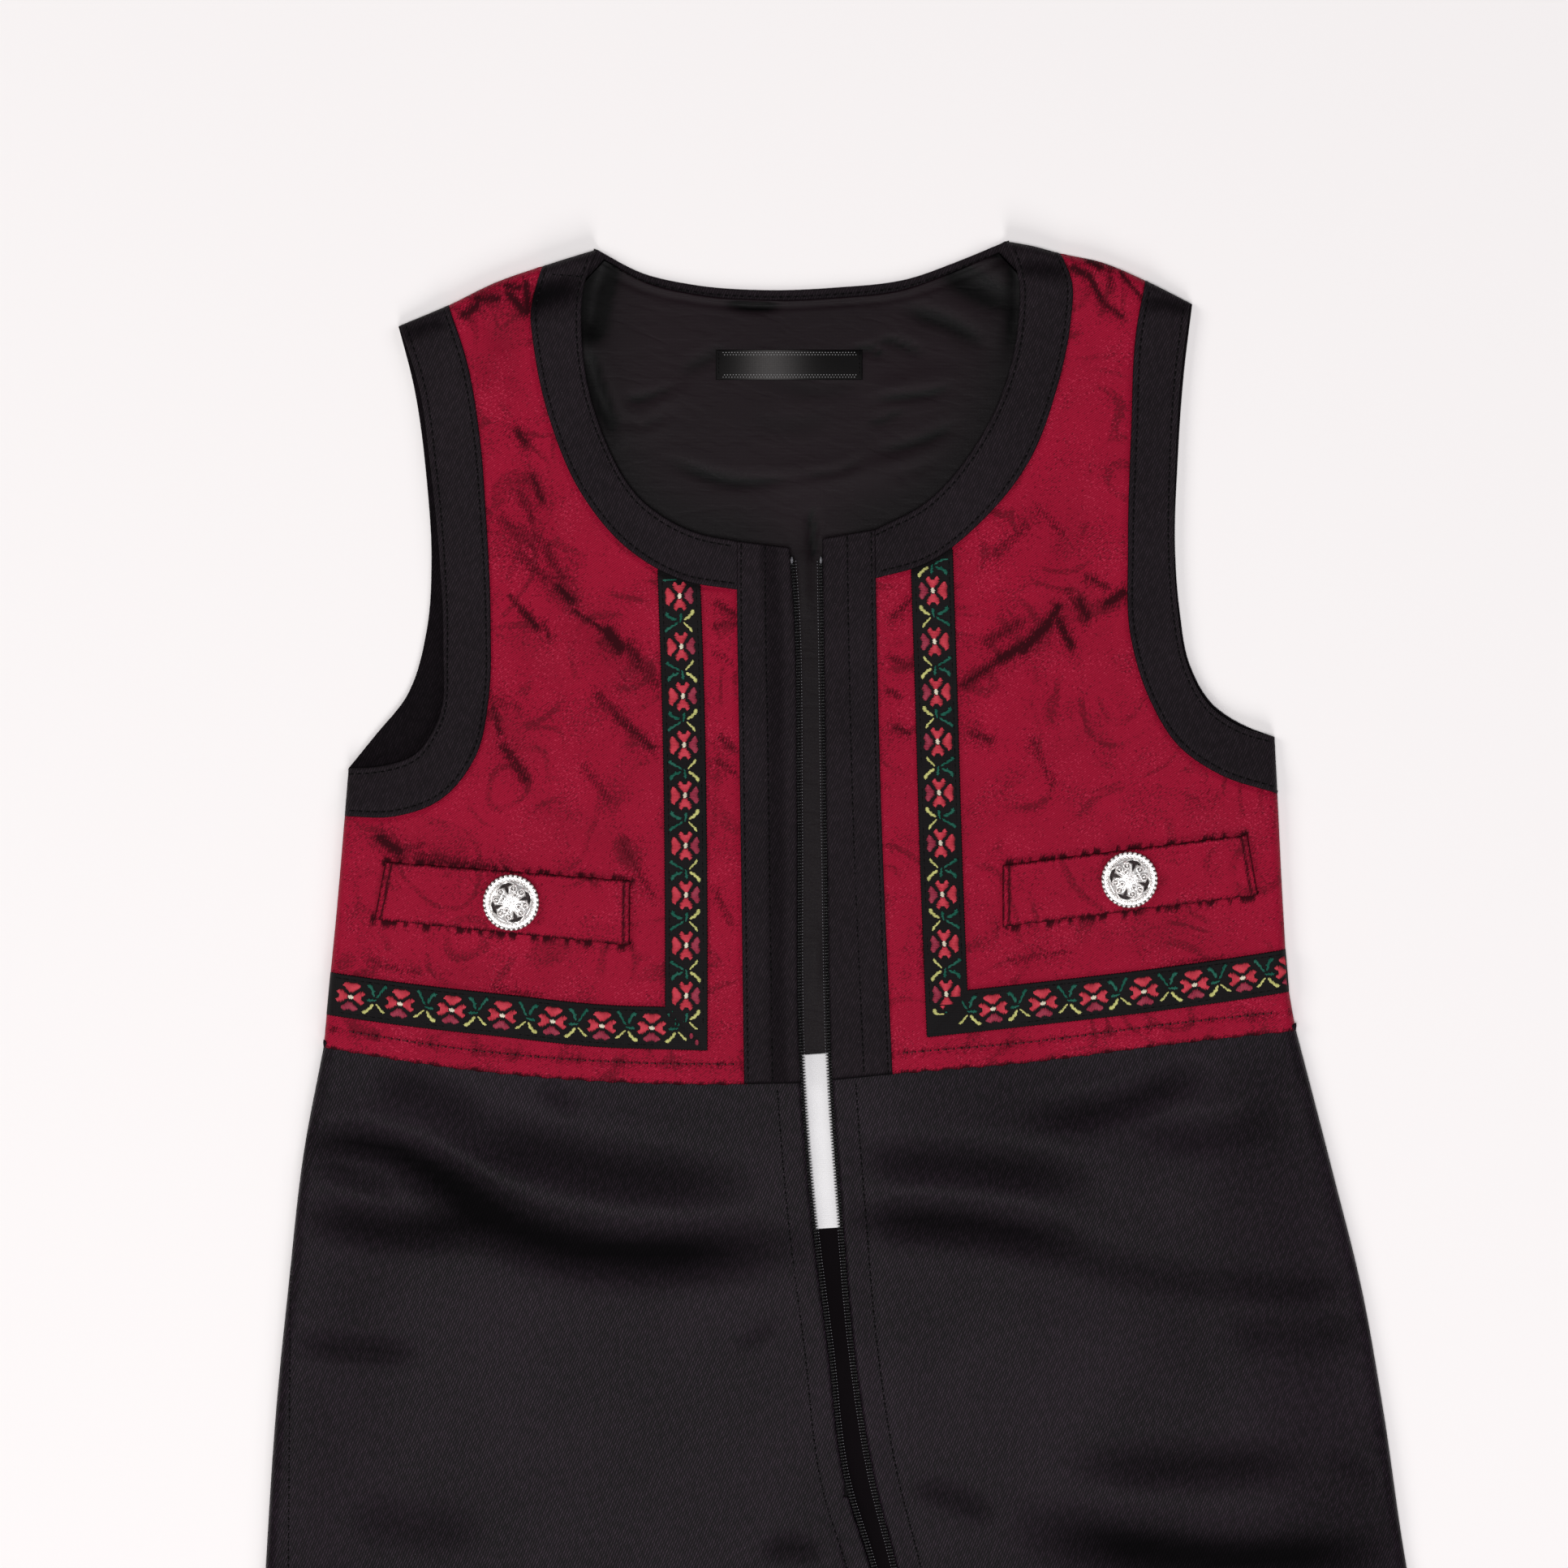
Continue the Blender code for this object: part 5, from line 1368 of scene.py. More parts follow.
@dataclass
class Back:
    """The flat back: red body, black bands and two trouser backs, all resting on the floor."""

    finishes: Finishes
    top: float = 1.0
    shell: float = 0.86
    edge_lift: float = 0.35
    pitch: float = 4.4
    band_pitch: float = 2.8

    def height(self, grid: Grid) -> Array:
        """The upper face, which curves up towards the sides and lifts over small folds."""
        rise = self.edge_lift * (1 - smooth_step(grid.side_inset / 1.6))
        folds = 0.4 * np.clip(unevenness(grid.points, 34.0, 3.0) - 0.35, 0, 1)
        seam = channel(grid.inset, 0.12, 0.8)
        return self.top + rise * (grid.inset < 1.7) + folds * smooth_step(grid.inset / 12) + seam

    def panel(self, name: str, parts: Sequence[Stretch], material: Material, slot: str,
              size: tuple[float, float], shade: float = 0.0, **ends: Array) -> None:
        """Lays one flat panel of the back.

        Args:
            name: the solid that it stands for.
            parts: its left and right lines, from the top down.
            material: its finish.
            slot: the record's material slot.
            size: its cut width and length.
            shade: how dark it lies in the shade of the front.
            ends: its top and bottom lines, where they curve.
        """
        pitch = self.band_pitch if "band" in name else self.pitch
        grid = panel_grid(parts, pitch, (SEAM_STOPS,) * 4, **ends)
        lay(name, grid, self.height(grid), slot, material, Cloth(*size, "floor"), self.shell,
            hollow=np.full(grid.left.shape, shade))

    def build(self) -> None:
        """Lays every panel."""
        p = PATTERN
        for side in Side:
            top = rightwards(stretch(p.shoulder[side], 0, ARM_SEAM_START[side], SHOULDER[side][-1][0]))
            line, seam = p.back_arm_edge[side], p.arm_seam[side]
            self.panel(f"back_arm_band_{side.value}", [Stretch(*side.ordered(line, seam))],
                       self.finishes.twill, "twill", (28.0, 215.0), 0.6, top=top)
        neck = rightwards(p.back_neck_seam)
        ends = [stretch(p.shoulder[side], 0, SHOULDER[side][0][0], NECK_SEAM_START[side]) for side in Side]
        self.panel("back_neck_band", [Stretch(*ends)], self.finishes.twill, "twill", (170.0, 34.0),
                   top=rightwards(p.back_neck_edge), bottom=neck)
        self.bodice(neck)
        centre = smooth_line(((0.0, np.interp(0.0, *p.back_waist.T)), CROTCH))
        crotch = CROTCH[1]
        for side in Side:
            outer = p.trouser_side[side]
            upper = stretch(outer, 1, outer[0, 1], crotch)
            lower = stretch(outer, 1, crotch, outer[-1, 1])
            waist = stretch(p.back_waist, 0, *side.ordered(BACK_WAIST[0 if side is L else -1][0], 0.0))
            self.panel(f"back_trouser_{side.value}",
                       [Stretch(*side.ordered(upper, centre)),
                        Stretch(*side.ordered(lower, p.inner_leg[side]))],
                       self.finishes.satin, "satin_twill", (196.0, 452.0), top=waist)

    def bodice(self, neck: Array) -> None:
        """The red back, between the armhole bands."""
        p = PATTERN
        uppers, lowers = {}, {}
        for side in Side:
            shoulder = stretch(p.shoulder[side], 0, NECK_SEAM_START[side], ARM_SEAM_START[side])
            upper, lower = halves(p.arm_seam[side], ARMHOLE_TURN)
            low = stretch(p.bodice_side[side], 1, BODICE_SIDE[side][1][1], BODICE_SIDE[side][-1][1])
            uppers[side] = np.concatenate([shoulder, upper[1:]])
            lowers[side] = (lower, low)
        self.panel("back_bodice",
                   [Stretch(uppers[L], uppers[R]), Stretch(lowers[L][0], lowers[R][0]),
                    Stretch(lowers[L][1], lowers[R][1])],
                   self.finishes.jacquard, "jacquard", (302.0, 262.0), top=neck, bottom=p.back_waist)


@dataclass
class Lining:
    """The black lining in the neck opening and behind the zip, with its bare labels."""

    finishes: Finishes
    pitch: float = 1.9
    wall: float = 0.75
    neck_stitch: float = 2.2
    margin: float = 9.0
    slot_ends: tuple[float, float] = (83.7, -84.0)
    neck_label: tuple[float, float, float, float, float] = (-20.9, 301.8, 45.2, 9.2, 0.0)
    care_label: tuple[float, float, float, float, float] = (-10.8, 62.4, 26.0, 54.0, 3.7)

    def build(self) -> None:
        """Lays the lining and its labels."""
        p = PATTERN
        grid = panel_grid([Stretch(p.lining_side[L], p.lining_side[R])], self.pitch, (SEAM_STOPS,) * 4,
                          top=p.back_neck_edge)
        height = lining_form().height(grid.points)
        height += channel(grid.top - self.neck_stitch, 0.25, 0.5)
        # Painted shade: the lining's creases, the shadow of the neck band along each neck edge, and shade
        # beside the zip.
        hollow = 1.15 * lining_form().hollow(grid.points, 0.26)
        for line, depth, reach in ((p.neck_edge[L], 0.72, 10.0), (p.neck_edge[R], 0.72, 10.0),
                                   (p.zip_centre, 0.3, 7.0)):
            hollow = np.maximum(hollow, depth * bell(gap_to(grid.points, line), reach))
        lay("back_lining", grid, height, "lining", self.finishes.lining,
            Cloth(152.0, 258.0, "back_bodice_cloth"), self.wall, hollow=hollow)
        edges = [shifted(stretch(p.zip_edge[side], 1, *self.slot_ends), side.outward * self.margin)
                 for side in Side]
        grid = panel_grid([Stretch(*edges)], 1.6, (SEAM_STOPS,) * 4)
        height = np.full(grid.left.shape, LINING_TOP) + channel(grid.left - 14, 0.15, 0.5)
        height += 0.12 * np.sin(grid.points[..., 0] * 2.4) * smooth_step(grid.inset / 2)
        lay("trouser_lining", grid, height, "lining", self.finishes.lining_in_shade,
            Cloth(30.0, 170.0, "back_trouser_left_cloth"), self.wall)
        self.label("neck_label", self.neck_label, self.finishes.label_black, "label_black", 0.25)
        self.label("care_label", self.care_label, self.finishes.label_white, "label_white", 0.2)
        self.sew_labels()
        line = shifted(rightwards(p.back_neck_edge), -self.neck_stitch)[2:-2]
        sew("back_neck_stitches", [runs_along(line, lining_form().height, -0.1)],
            self.finishes.black_thread, "lining", hole_shade=self.finishes.needle_hole_shade)

    def label(self, name: str, label: tuple[float, ...], material: Material, slot: str,
              sway: float) -> None:
        """One bare woven label.

        Args:
            name: the solid that it stands for.
            label: its centre, width, length and turn in degrees.
            material: its finish.
            slot: the record's material slot.
            sway: how far its middle lifts.
        """
        x, y, width, length, turn = label
        angle = math.radians(turn)
        across = np.array((math.cos(angle), math.sin(angle))) * width / 2
        down = np.array((math.sin(angle), -math.cos(angle))) * length / 2
        centre = np.array((x, y))
        sides = [smooth_line((tuple(centre + s * across - down), tuple(centre + s * across + down)))
                 for s in (-1, 1)]
        fine = ((0.0, 0.15, 0.4, 0.8),) * 4
        grid = panel_grid([Stretch(*sides)], 1.0, fine)
        height = lining_form().height(grid.points) + SEAM_GAP + TRIM_SHELL
        height += sway * np.sin(grid.left / width * math.pi) * (0.6 + 0.4 * np.sin(grid.top * 0.35))
        height += round_over(grid.inset, 0.25)
        # On the black label, painted shade darkens both ends and leaves a painted sheen across the middle.
        sheen = {"hollow": 1 - bell(grid.left - width * 0.38, 8.5)} if slot == "label_black" else {}
        lay(name, grid, height, slot, material, Cloth(width, max(length, 10.0), "back_lining_cloth"),
            TRIM_SHELL * 0.8, **sheen)

    def sew_labels(self) -> None:
        """The dashes woven into the neck label and the stitches that hold its two ends."""
        x, y, width, length, _ = self.neck_label
        rows = []
        form = lining_form()

        def over(points: Array) -> Array:
            """The face of the neck label."""
            bend = 0.25 * np.sin((points[..., 0] - x + width / 2) / width * math.pi)
            return form.height(points) + SEAM_GAP + TRIM_SHELL + bend * 0.6

        for edge, shift in ((length / 2 - 0.8, 0.0), (length / 2 - 1.5, 0.45),
                            (1.5 - length / 2, 0.45), (0.8 - length / 2, 0.0)):
            line = smooth_line(((x - width / 2 + 1.6 + shift, y + edge), (x + width / 2 - 1.6, y + edge)))
            rows.append(runs_along(line, over, 0.0, 0.9, 0.45))
        sew("neck_label_dashes", rows, self.finishes.grey_thread, "label_black", 0.17)
        rows = []
        for end in (-1, 1):
            at = x + end * (width / 2 - 0.9)
            rows.append(runs_along(smooth_line(((at, y + 4.2), (at, y - 4.2))), over, 0.04, 1.4, 1.1))
        sew("neck_label_stitches", rows, self.finishes.black_thread, "label_black", 0.14)


# ---------------------------------- the red fronts

# Dark woven figures of the red cloth; columns: from x, y to x, y, half width, strength.
FIGURES = (
    (-92, 233, -88, 229, 1.3, 1.3), (-87.5, 226, -82, 222.5, 0.8, 1), (-81, 222, -77, 219, 0.7, 1.1),
    (-77, 219.5, -73, 214.5, 1.5, 1.6), (-70.5, 215, -67, 209.5, 1.8, 0.9), (-66, 209, -62, 203, 2, 0.6),
    (-107, 230.5, -103, 226, 0.7, 0.9), (-103, 226, -98.5, 220.5, 1, 1.2), (-96.5, 222, -95, 218, 0.8, 0.8),
    (-109, 254, -98, 244, 2.6, 0.5), (-104, 243, -96, 236, 2.4, 0.6), (-98, 248, -91, 236, 2.3, 0.6),
    (-104.6, 281, -102, 277.6, 1.4, 1), (-100, 267, -97, 260, 1.3, 0.9), (-104, 262, -100, 254, 1.6, 0.6),
    (-80, 200, -73, 193, 1.4, 0.7), (-74, 193.5, -63, 183.5, 1.2, 1), (-114, 199, -104, 196, 1.6, 0.5),
    (-112, 196, -110, 188, 1, 0.9), (-109, 184, -102, 174, 1.4, 1), (-84, 178, -76, 167, 1.2, 0.6),
    (-43, 228, -38, 225, 1, 0.8), (-44, 221, -38, 222, 0.8, 0.7), (-44, 213, -39, 210, 0.8, 0.6),
    (-42, 187, -38, 183, 1, 0.8), (-43, 180, -38, 176, 1, 0.7), (-44, 140, -39, 130, 0.9, 0.6),
    (-147, 156, -141, 151.5, 1.3, 1.4), (-141, 152, -134, 154, 1, 0.6), (-135, 150, -113, 147, 1.6, 0.7),
    (-150, 118, -136, 114, 1.2, 0.5), (-112, 110, -98, 107, 1.2, 0.5), (-72, 154, -63, 138, 1.2, 0.6),
    (-121, 317, -117, 320, 1.2, 1.3), (-117, 322, -111, 322, 1.2, 1.2), (-108, 326, -104, 325.5, 0.9, 1.2),
    (-107, 323.5, -102.5, 318, 1.2, 1.4), (-102, 327, -101.5, 318, 0.9, 1.3),
    (33, 203, 44, 211, 1.1, 1), (44, 211, 52, 215.5, 1.4, 1.4), (51, 214, 59, 222, 1.4, 1.5),
    (59, 222, 62, 227, 1.1, 1.3), (62, 223, 66, 215, 1.3, 1.2), (40, 216, 50, 222, 1.8, 0.7),
    (65, 232, 70.5, 221.5, 1, 0.7), (68.6, 229, 71, 224, 1.2, 1.1), (71, 236.5, 77, 233, 1.2, 0.8),
    (77, 228, 82, 231.5, 1.2, 1.4), (43, 244, 52, 252, 2, 0.5), (56, 257, 63, 250, 1.6, 0.5),
    (11, 211, 16, 209, 0.9, 0.7), (10, 201, 13, 199.5, 0.8, 0.8), (12, 190, 16, 188, 1, 0.9),
    (16, 229, 11, 224, 0.9, 0.7), (36, 188, 41, 186, 1.3, 0.8), (54, 186, 60, 173, 1.3, 0.5),
    (20, 128, 22, 114, 1.2, 0.5), (48, 118, 64, 121, 1.2, 0.5), (96, 116, 112, 119, 1.2, 0.5),
    (66.5, 331.5, 71.5, 329, 1.1, 1.3), (71.5, 334, 75, 332, 1.1, 1.3), (71.6, 329, 75.4, 321.6, 0.9, 1.2),
    (76.4, 320.6, 81.4, 316.6, 0.8, 1), (78, 333, 78, 325, 1.5, 0.7), (81.4, 330, 87.4, 322.6, 0.7, 1),
)


def figure_strength(points: Array) -> Array:
    """How dark the woven figures are at each point, from nought to one."""
    flat = points.reshape(-1, 2)
    strength = np.zeros(len(flat))
    for x0, y0, x1, y1, half_width, dark in FIGURES:
        line = np.array(((x0, y0), (x1, y1)))
        near = ((flat > line.min(axis=0) - 7) & (flat < line.max(axis=0) + 7)).all(axis=1)
        if near.any():
            reach = gap_to(flat[near], line) / half_width
            rim = dark * (0.66 * bell(reach, 0.95) + 0.34 * bell(reach, 3.0))
            strength[near] = np.maximum(strength[near], rim)
    return strength.reshape(points.shape[:-1])


@dataclass
class Bodice:
    """The two red fronts and the pocket welts laid over them."""

    finishes: Finishes
    pitch: float = 1.2
    hem_stitch: float = 6.2
    welt_corners: dict[Side, Table] = field(default_factory=lambda: {
        L: ((-145.3, 148.5), (-69.8, 142.7), (-70.0, 122.8), (-148.7, 130.8)),
        R: ((44.8, 147.5), (120.3, 156.8), (123.5, 138.3), (44.8, 128.5)),
    })

    def build(self) -> None:
        """Lays both fronts, with their hems and welts."""
        for side in Side:
            self.front(side)
            self.welt(side)
        self.sew_hems()

    def front(self, side: Side) -> None:
        """One red front, which runs under its bands and its placket."""
        p = PATTERN
        foot = ARMHOLE_FOOT_ON_PLACKET[side]
        seam_upper, seam_lower = halves(p.arm_seam[side], ARMHOLE_TURN)
        shoulder = stretch(p.shoulder[side], 0, NECK_SEAM_START[side], ARM_SEAM_START[side])
        hem = stretch(p.hem[side], 0, HEM[side][0][0], PLACKET_SEAM[side][-1][0])
        low_side = stretch(p.bodice_side[side], 1, BODICE_SIDE[side][1][1], BODICE_SIDE[side][-1][1])
        placket_top = PLACKET_SEAM[side][1][1]
        upper_placket = stretch(p.placket_seam[side], 1, placket_top, foot)
        lower_placket = stretch(p.placket_seam[side], 1, foot, PLACKET_SEAM[side][-1][1])
        stops = (*side.ordered(ROLL_STOPS, SEAM_STOPS), ROLL_STOPS, FOLD_STOPS)
        grid = panel_grid(
            [Stretch(*side.ordered(seam_upper, p.neck_seam[side])),
             Stretch(*side.ordered(seam_lower, upper_placket)),
             Stretch(*side.ordered(low_side, lower_placket))],
            self.pitch, stops, over=side.ordered(0.0, UNDER_BAND),
            top=rightwards(shoulder), bottom=rightwards(hem))
        form = bodice_form(side)
        height = form.height(grid.points)
        band_seams = (p.neck_seam[side], p.arm_seam[side], p.placket_seam[side])
        to_seam = np.min([gap_to(grid.points, seam) for seam in band_seams], axis=0)
        height += tuck(to_seam, 0.55, 1.8) + round_over(grid.bottom, 0.5)
        height += channel(grid.bottom - self.hem_stitch, 0.3, 0.7)
        puckers = 0.10 * np.sin(grid.points[..., 0] * 1.15) * (grid.bottom < self.hem_stitch * 1.7)
        height += puckers * smooth_step(grid.bottom / 2) + 0.12 * unevenness(grid.points, 9.0)
        grid.points[-1, :, 1] += 0.3 * np.sin(grid.points[-1, :, 0] * 4.3)
        # Besides the woven figures, the figure darkens the cloth unevenly along the hem stitches; at the hem's
        # edge it is a painted shadow line with uneven nicks, and beside each welt the welt's painted shadow
        # with dark tufts. The stored shade paints shade into the creases.
        x = grid.points[..., 0]
        patches = np.clip(np.sin(x * 0.71) * np.sin(x * 0.29 + 1) + 0.4 * np.sin(x * 1.9), 0, 1)
        figure = np.max([(0.25 + 0.55 * patches) * bell(grid.bottom - self.hem_stitch, 1.3),
                         (0.6 + 1.2 * patches) * bell(grid.bottom, 0.9),
                         self.welt_shadow_and_tufts(side, grid.points), figure_strength(grid.points)], axis=0)
        lay(f"front_bodice_{side.value}", grid, height, "jacquard", self.finishes.jacquard,
            Cloth(134.0, 256.0, "back_lining_cloth"), figure=figure, hollow=form.hollow(grid.points))

    def welt_shadow_and_tufts(self, side: Side, points: Array) -> Array:
        """The uneven dark marks above and below a welt: its painted shadow, with dark tufts that stick out from
        it.
        """
        upper_left, upper_right, lower_right, lower_left = self.welt_corners[side]
        x, shadow_and_tufts = points[..., 0], np.zeros(points.shape[:-1])
        for ends, reach, phase in (((upper_left, upper_right), 1.3, 0.0),
                                   ((lower_left, lower_right), 1.7, 2.0)):
            gap = gap_to(points, smooth_line(ends))
            patch = 0.25 + np.sin(x * 0.83 + phase) * np.sin(x * 0.31 + phase) + 0.6 * np.sin(x * 1.9 + phase)
            shadow_and_tufts = np.maximum(shadow_and_tufts, 1.9 * np.clip(patch, 0, 0.9) * bell(gap, reach))
        return shadow_and_tufts

    def welt(self, side: Side) -> None:
        """A pocket welt with folded edges."""
        upper_left, upper_right, lower_right, lower_left = self.welt_corners[side]
        fine = ((0.0, 0.12, 0.35, 0.7, 1.2),) * 4
        grid = panel_grid([Stretch(smooth_line((upper_left, lower_left)),
                                   smooth_line((upper_right, lower_right)))], 0.85, fine)
        height = bodice_form(side).height(grid.points) + SEAM_GAP + 1.3
        height += round_over(grid.inset, 0.7) + 0.18 * unevenness(grid.points, 6.0, 1.0)
        height += channel(grid.inset - 1.6, 0.2, 0.45)
        ragged = unevenness(grid.points, 1.1, 2.0)
        grid.points[0, :, 1] += 0.35 * ragged[0]
        grid.points[-1, :, 1] -= 0.35 * ragged[-1]
        patches = 0.62 + 0.38 * np.sin(grid.points[..., 0] * 1.7) * np.sin(grid.points[..., 0] * 0.63)
        figure = np.max([1.5 * patches * bell(np.minimum(grid.top, grid.bottom), 0.75),
                         1.1 * bell(grid.side_inset - 1.9, 0.5), 1.1 * bell(grid.side_inset, 0.6),
                         figure_strength(grid.points)], axis=0)
        lay(f"welt_{side.value}", grid, height, "jacquard", self.finishes.jacquard,
            Cloth(77.0, 20.0, f"front_bodice_{side.value}_cloth"), 1.0, figure=figure)

    def sew_hems(self) -> None:
        """The row of stitches above each hem."""
        rows = []
        for side in Side:
            hem = rightwards(PATTERN.hem[side])
            line = shifted(hem, self.hem_stitch)[2:-2]
            line = line[(line[:, 0] < PLACKET_SEAM[L][-1][0] - 1) | (line[:, 0] > PLACKET_SEAM[R][-1][0] + 1)]
            rows.append(runs_along(line, bodice_form(side).height, -0.12))
        sew("hem_stitches", rows, self.finishes.red_thread, "jacquard", hole_shade=self.finishes.needle_hole_shade)


# ---------------------------------- bands and plackets


@dataclass
class Bands:
    """The black bands round the neck and armholes and the plackets beside the zip."""

    finishes: Finishes
    pitch: float = 1.2
    shell: float = 1.0
    shoulder_row: Table = ((-94.5, 329.6), (-84.8, 328.8))
    rows: list[Array] = field(default_factory=list)

    def build(self) -> None:
        """Lays and sews every band."""
        for side in Side:
            self.neck(side)
            self.armhole(side)
            self.placket(side)
        self.rows.append(runs_along(smooth_line(self.shoulder_row), bodice_form(L).height, BAND_THREAD))
        sew("band_stitches", self.rows, self.finishes.black_thread, "twill",
            hole_shade=self.finishes.needle_hole_shade)

    def strip(self, name: str, side: Side, grid: Grid, cut: Cloth) -> None:
        """Lays one band with a folded edge on each long side.

        Args:
            name: the solid that it stands for.
            side: its side of the suit.
            grid: its points.
            cut: its cut.
        """
        edge = grid.side_inset
        height = bodice_form(side).height(grid.points) + BAND_LIFT + round_over(edge, 0.6)
        height += channel(edge - BAND_STITCH, 0.24, 0.55)
        height += 0.10 * unevenness(grid.points, 5.0, 2.0) * smooth_step(edge / 2)
        # The stored shade paints shade into the creases of the band.
        lay(f"{name}_{side.value}", grid, height, "twill", self.finishes.twill, cut, self.shell,
            hollow=bodice_form(side).hollow(grid.points, 1.9))

    def sew_edges(self, side: Side, grid: Grid, stops: Sequence[float] = (BAND_STITCH, -BAND_STITCH)) -> None:
        """Rows of stitches along a band, at these distances from its left or right border."""
        form = bodice_form(side)
        for stop in stops:
            inset = grid.left if stop > 0 else grid.right
            line = np.array([
                [np.interp(abs(stop), *self.climbing(row_inset, row[:, k])) for k in (0, 1)]
                for row, row_inset in zip(grid.points, inset)])
            self.rows.append(runs_along(line, form.height, BAND_THREAD))

    @staticmethod
    def climbing(inset: Array, values: Array) -> tuple[Array, Array]:
        """The insets in rising order, with their values."""
        order = np.argsort(inset)
        return inset[order], values[order]

    def neck(self, side: Side) -> None:
        """One half of the neck band."""
        p = PATTERN
        top = stretch(p.shoulder[side], 0, SHOULDER[side][0][0], NECK_SEAM_START[side])
        grid = panel_grid([Stretch(*side.ordered(p.neck_seam[side], p.neck_edge[side]))], self.pitch,
                          (FOLD_STOPS, FOLD_STOPS, ROLL_STOPS, FOLD_STOPS), top=rightwards(top))
        self.strip("neck_band", side, grid, Cloth(16.5, 142.0, "back_lining_cloth"))
        self.sew_edges(side, grid)

    def armhole(self, side: Side) -> None:
        """One armhole band."""
        p = PATTERN
        top = stretch(p.shoulder[side], 0, ARM_SEAM_START[side], ARM_EDGE[side][0][0])
        edges, seams = halves(p.arm_edge[side], ARMHOLE_TURN), halves(p.arm_seam[side], ARMHOLE_TURN)
        grid = panel_grid([Stretch(*side.ordered(edge, seam)) for edge, seam in zip(edges, seams)],
                          self.pitch, (FOLD_STOPS, FOLD_STOPS, ROLL_STOPS, ROLL_STOPS), top=rightwards(top))
        self.strip("arm_band", side, grid, Cloth(16.0, 205.0, f"back_arm_band_{side.value}_cloth"))
        self.sew_edges(side, grid)

    def placket(self, side: Side) -> None:
        """The black strip between a red front and the zip."""
        p = PATTERN
        edge = stretch(p.zip_edge[side], 1, ZIP_EDGE[side][0][1], HEM[side][-1][1])
        grid = panel_grid([Stretch(*side.ordered(p.placket_seam[side], edge))], self.pitch,
                          (FOLD_STOPS,) * 4)
        outer, inner = side.ordered(grid.left, grid.right)
        height = bodice_form(side).height(grid.points) + BAND_LIFT + 0.1
        height += round_over(outer, 0.6) + round_over(inner, 1.0) + round_over(grid.top, 0.7)
        near, far = PLACKET_STITCHES
        for groove in (outer - near, outer - far, grid.top - near):
            height += channel(groove, 0.22, 0.5)
        height += 0.10 * unevenness(grid.points, 5.0, 3.0) * smooth_step(grid.inset / 2)
        # Painted shade along the bottom edge; on the left, a darker stripe runs 6.5 mm in from the zip edge.
        hollow = bell(grid.bottom, 0.7)
        if side is L:
            hollow = np.maximum(hollow, 0.4 * np.exp(-(((inner - 6.5) / 2.8) ** 4)))
        lay(f"placket_{side.value}", grid, height, "twill", self.finishes.twill,
            Cloth(19.0, 168.0, "back_lining_cloth"), self.shell, hollow=hollow)
        self.sew_edges(side, grid, (near, far) if side is L else (-near, -far))


# ---------------------------------- ribbons


# Sprig between two flowers: silk, half width, then points as across (to the outer edge) and along.
SPRIG = (
    (Silk.LIME, 0.62, (1.3, -0.7), (2.5, -1.2), (4.0, -2.8)),
    (Silk.LIME, 0.42, (1.1, 0.6), (2.1, 1.5), (3.3, 2.8)),
    (Silk.GREEN, 0.52, (0.0, 0.1), (0.1, -0.8), (0.2, -1.9)),
    (Silk.GREEN, 0.60, (-1.2, -0.7), (-2.6, -1.0), (-4.2, -2.2)),
    (Silk.GREEN, 0.50, (-0.9, 0.5), (-2.4, 1.3), (-4.6, 2.6)),
)

# Small dots that the fold of the ribbon leaves at its outer corner.
CORNER_DOTS = {L: ((-51.0, 95.0), (-49.3, 93.0)), R: ()}

# Petals of a flower: silk, angle from the outer edge, half angle, length and depth of the notch.
PETALS = (
    (Silk.RASPBERRY, 0.0, 0.76, 1.10, 0.12),
    (Silk.CORAL, math.pi / 2, 0.82, 1.03, 0.26),
    (Silk.CORAL, math.pi, 0.76, 1.14, 0.04),
)


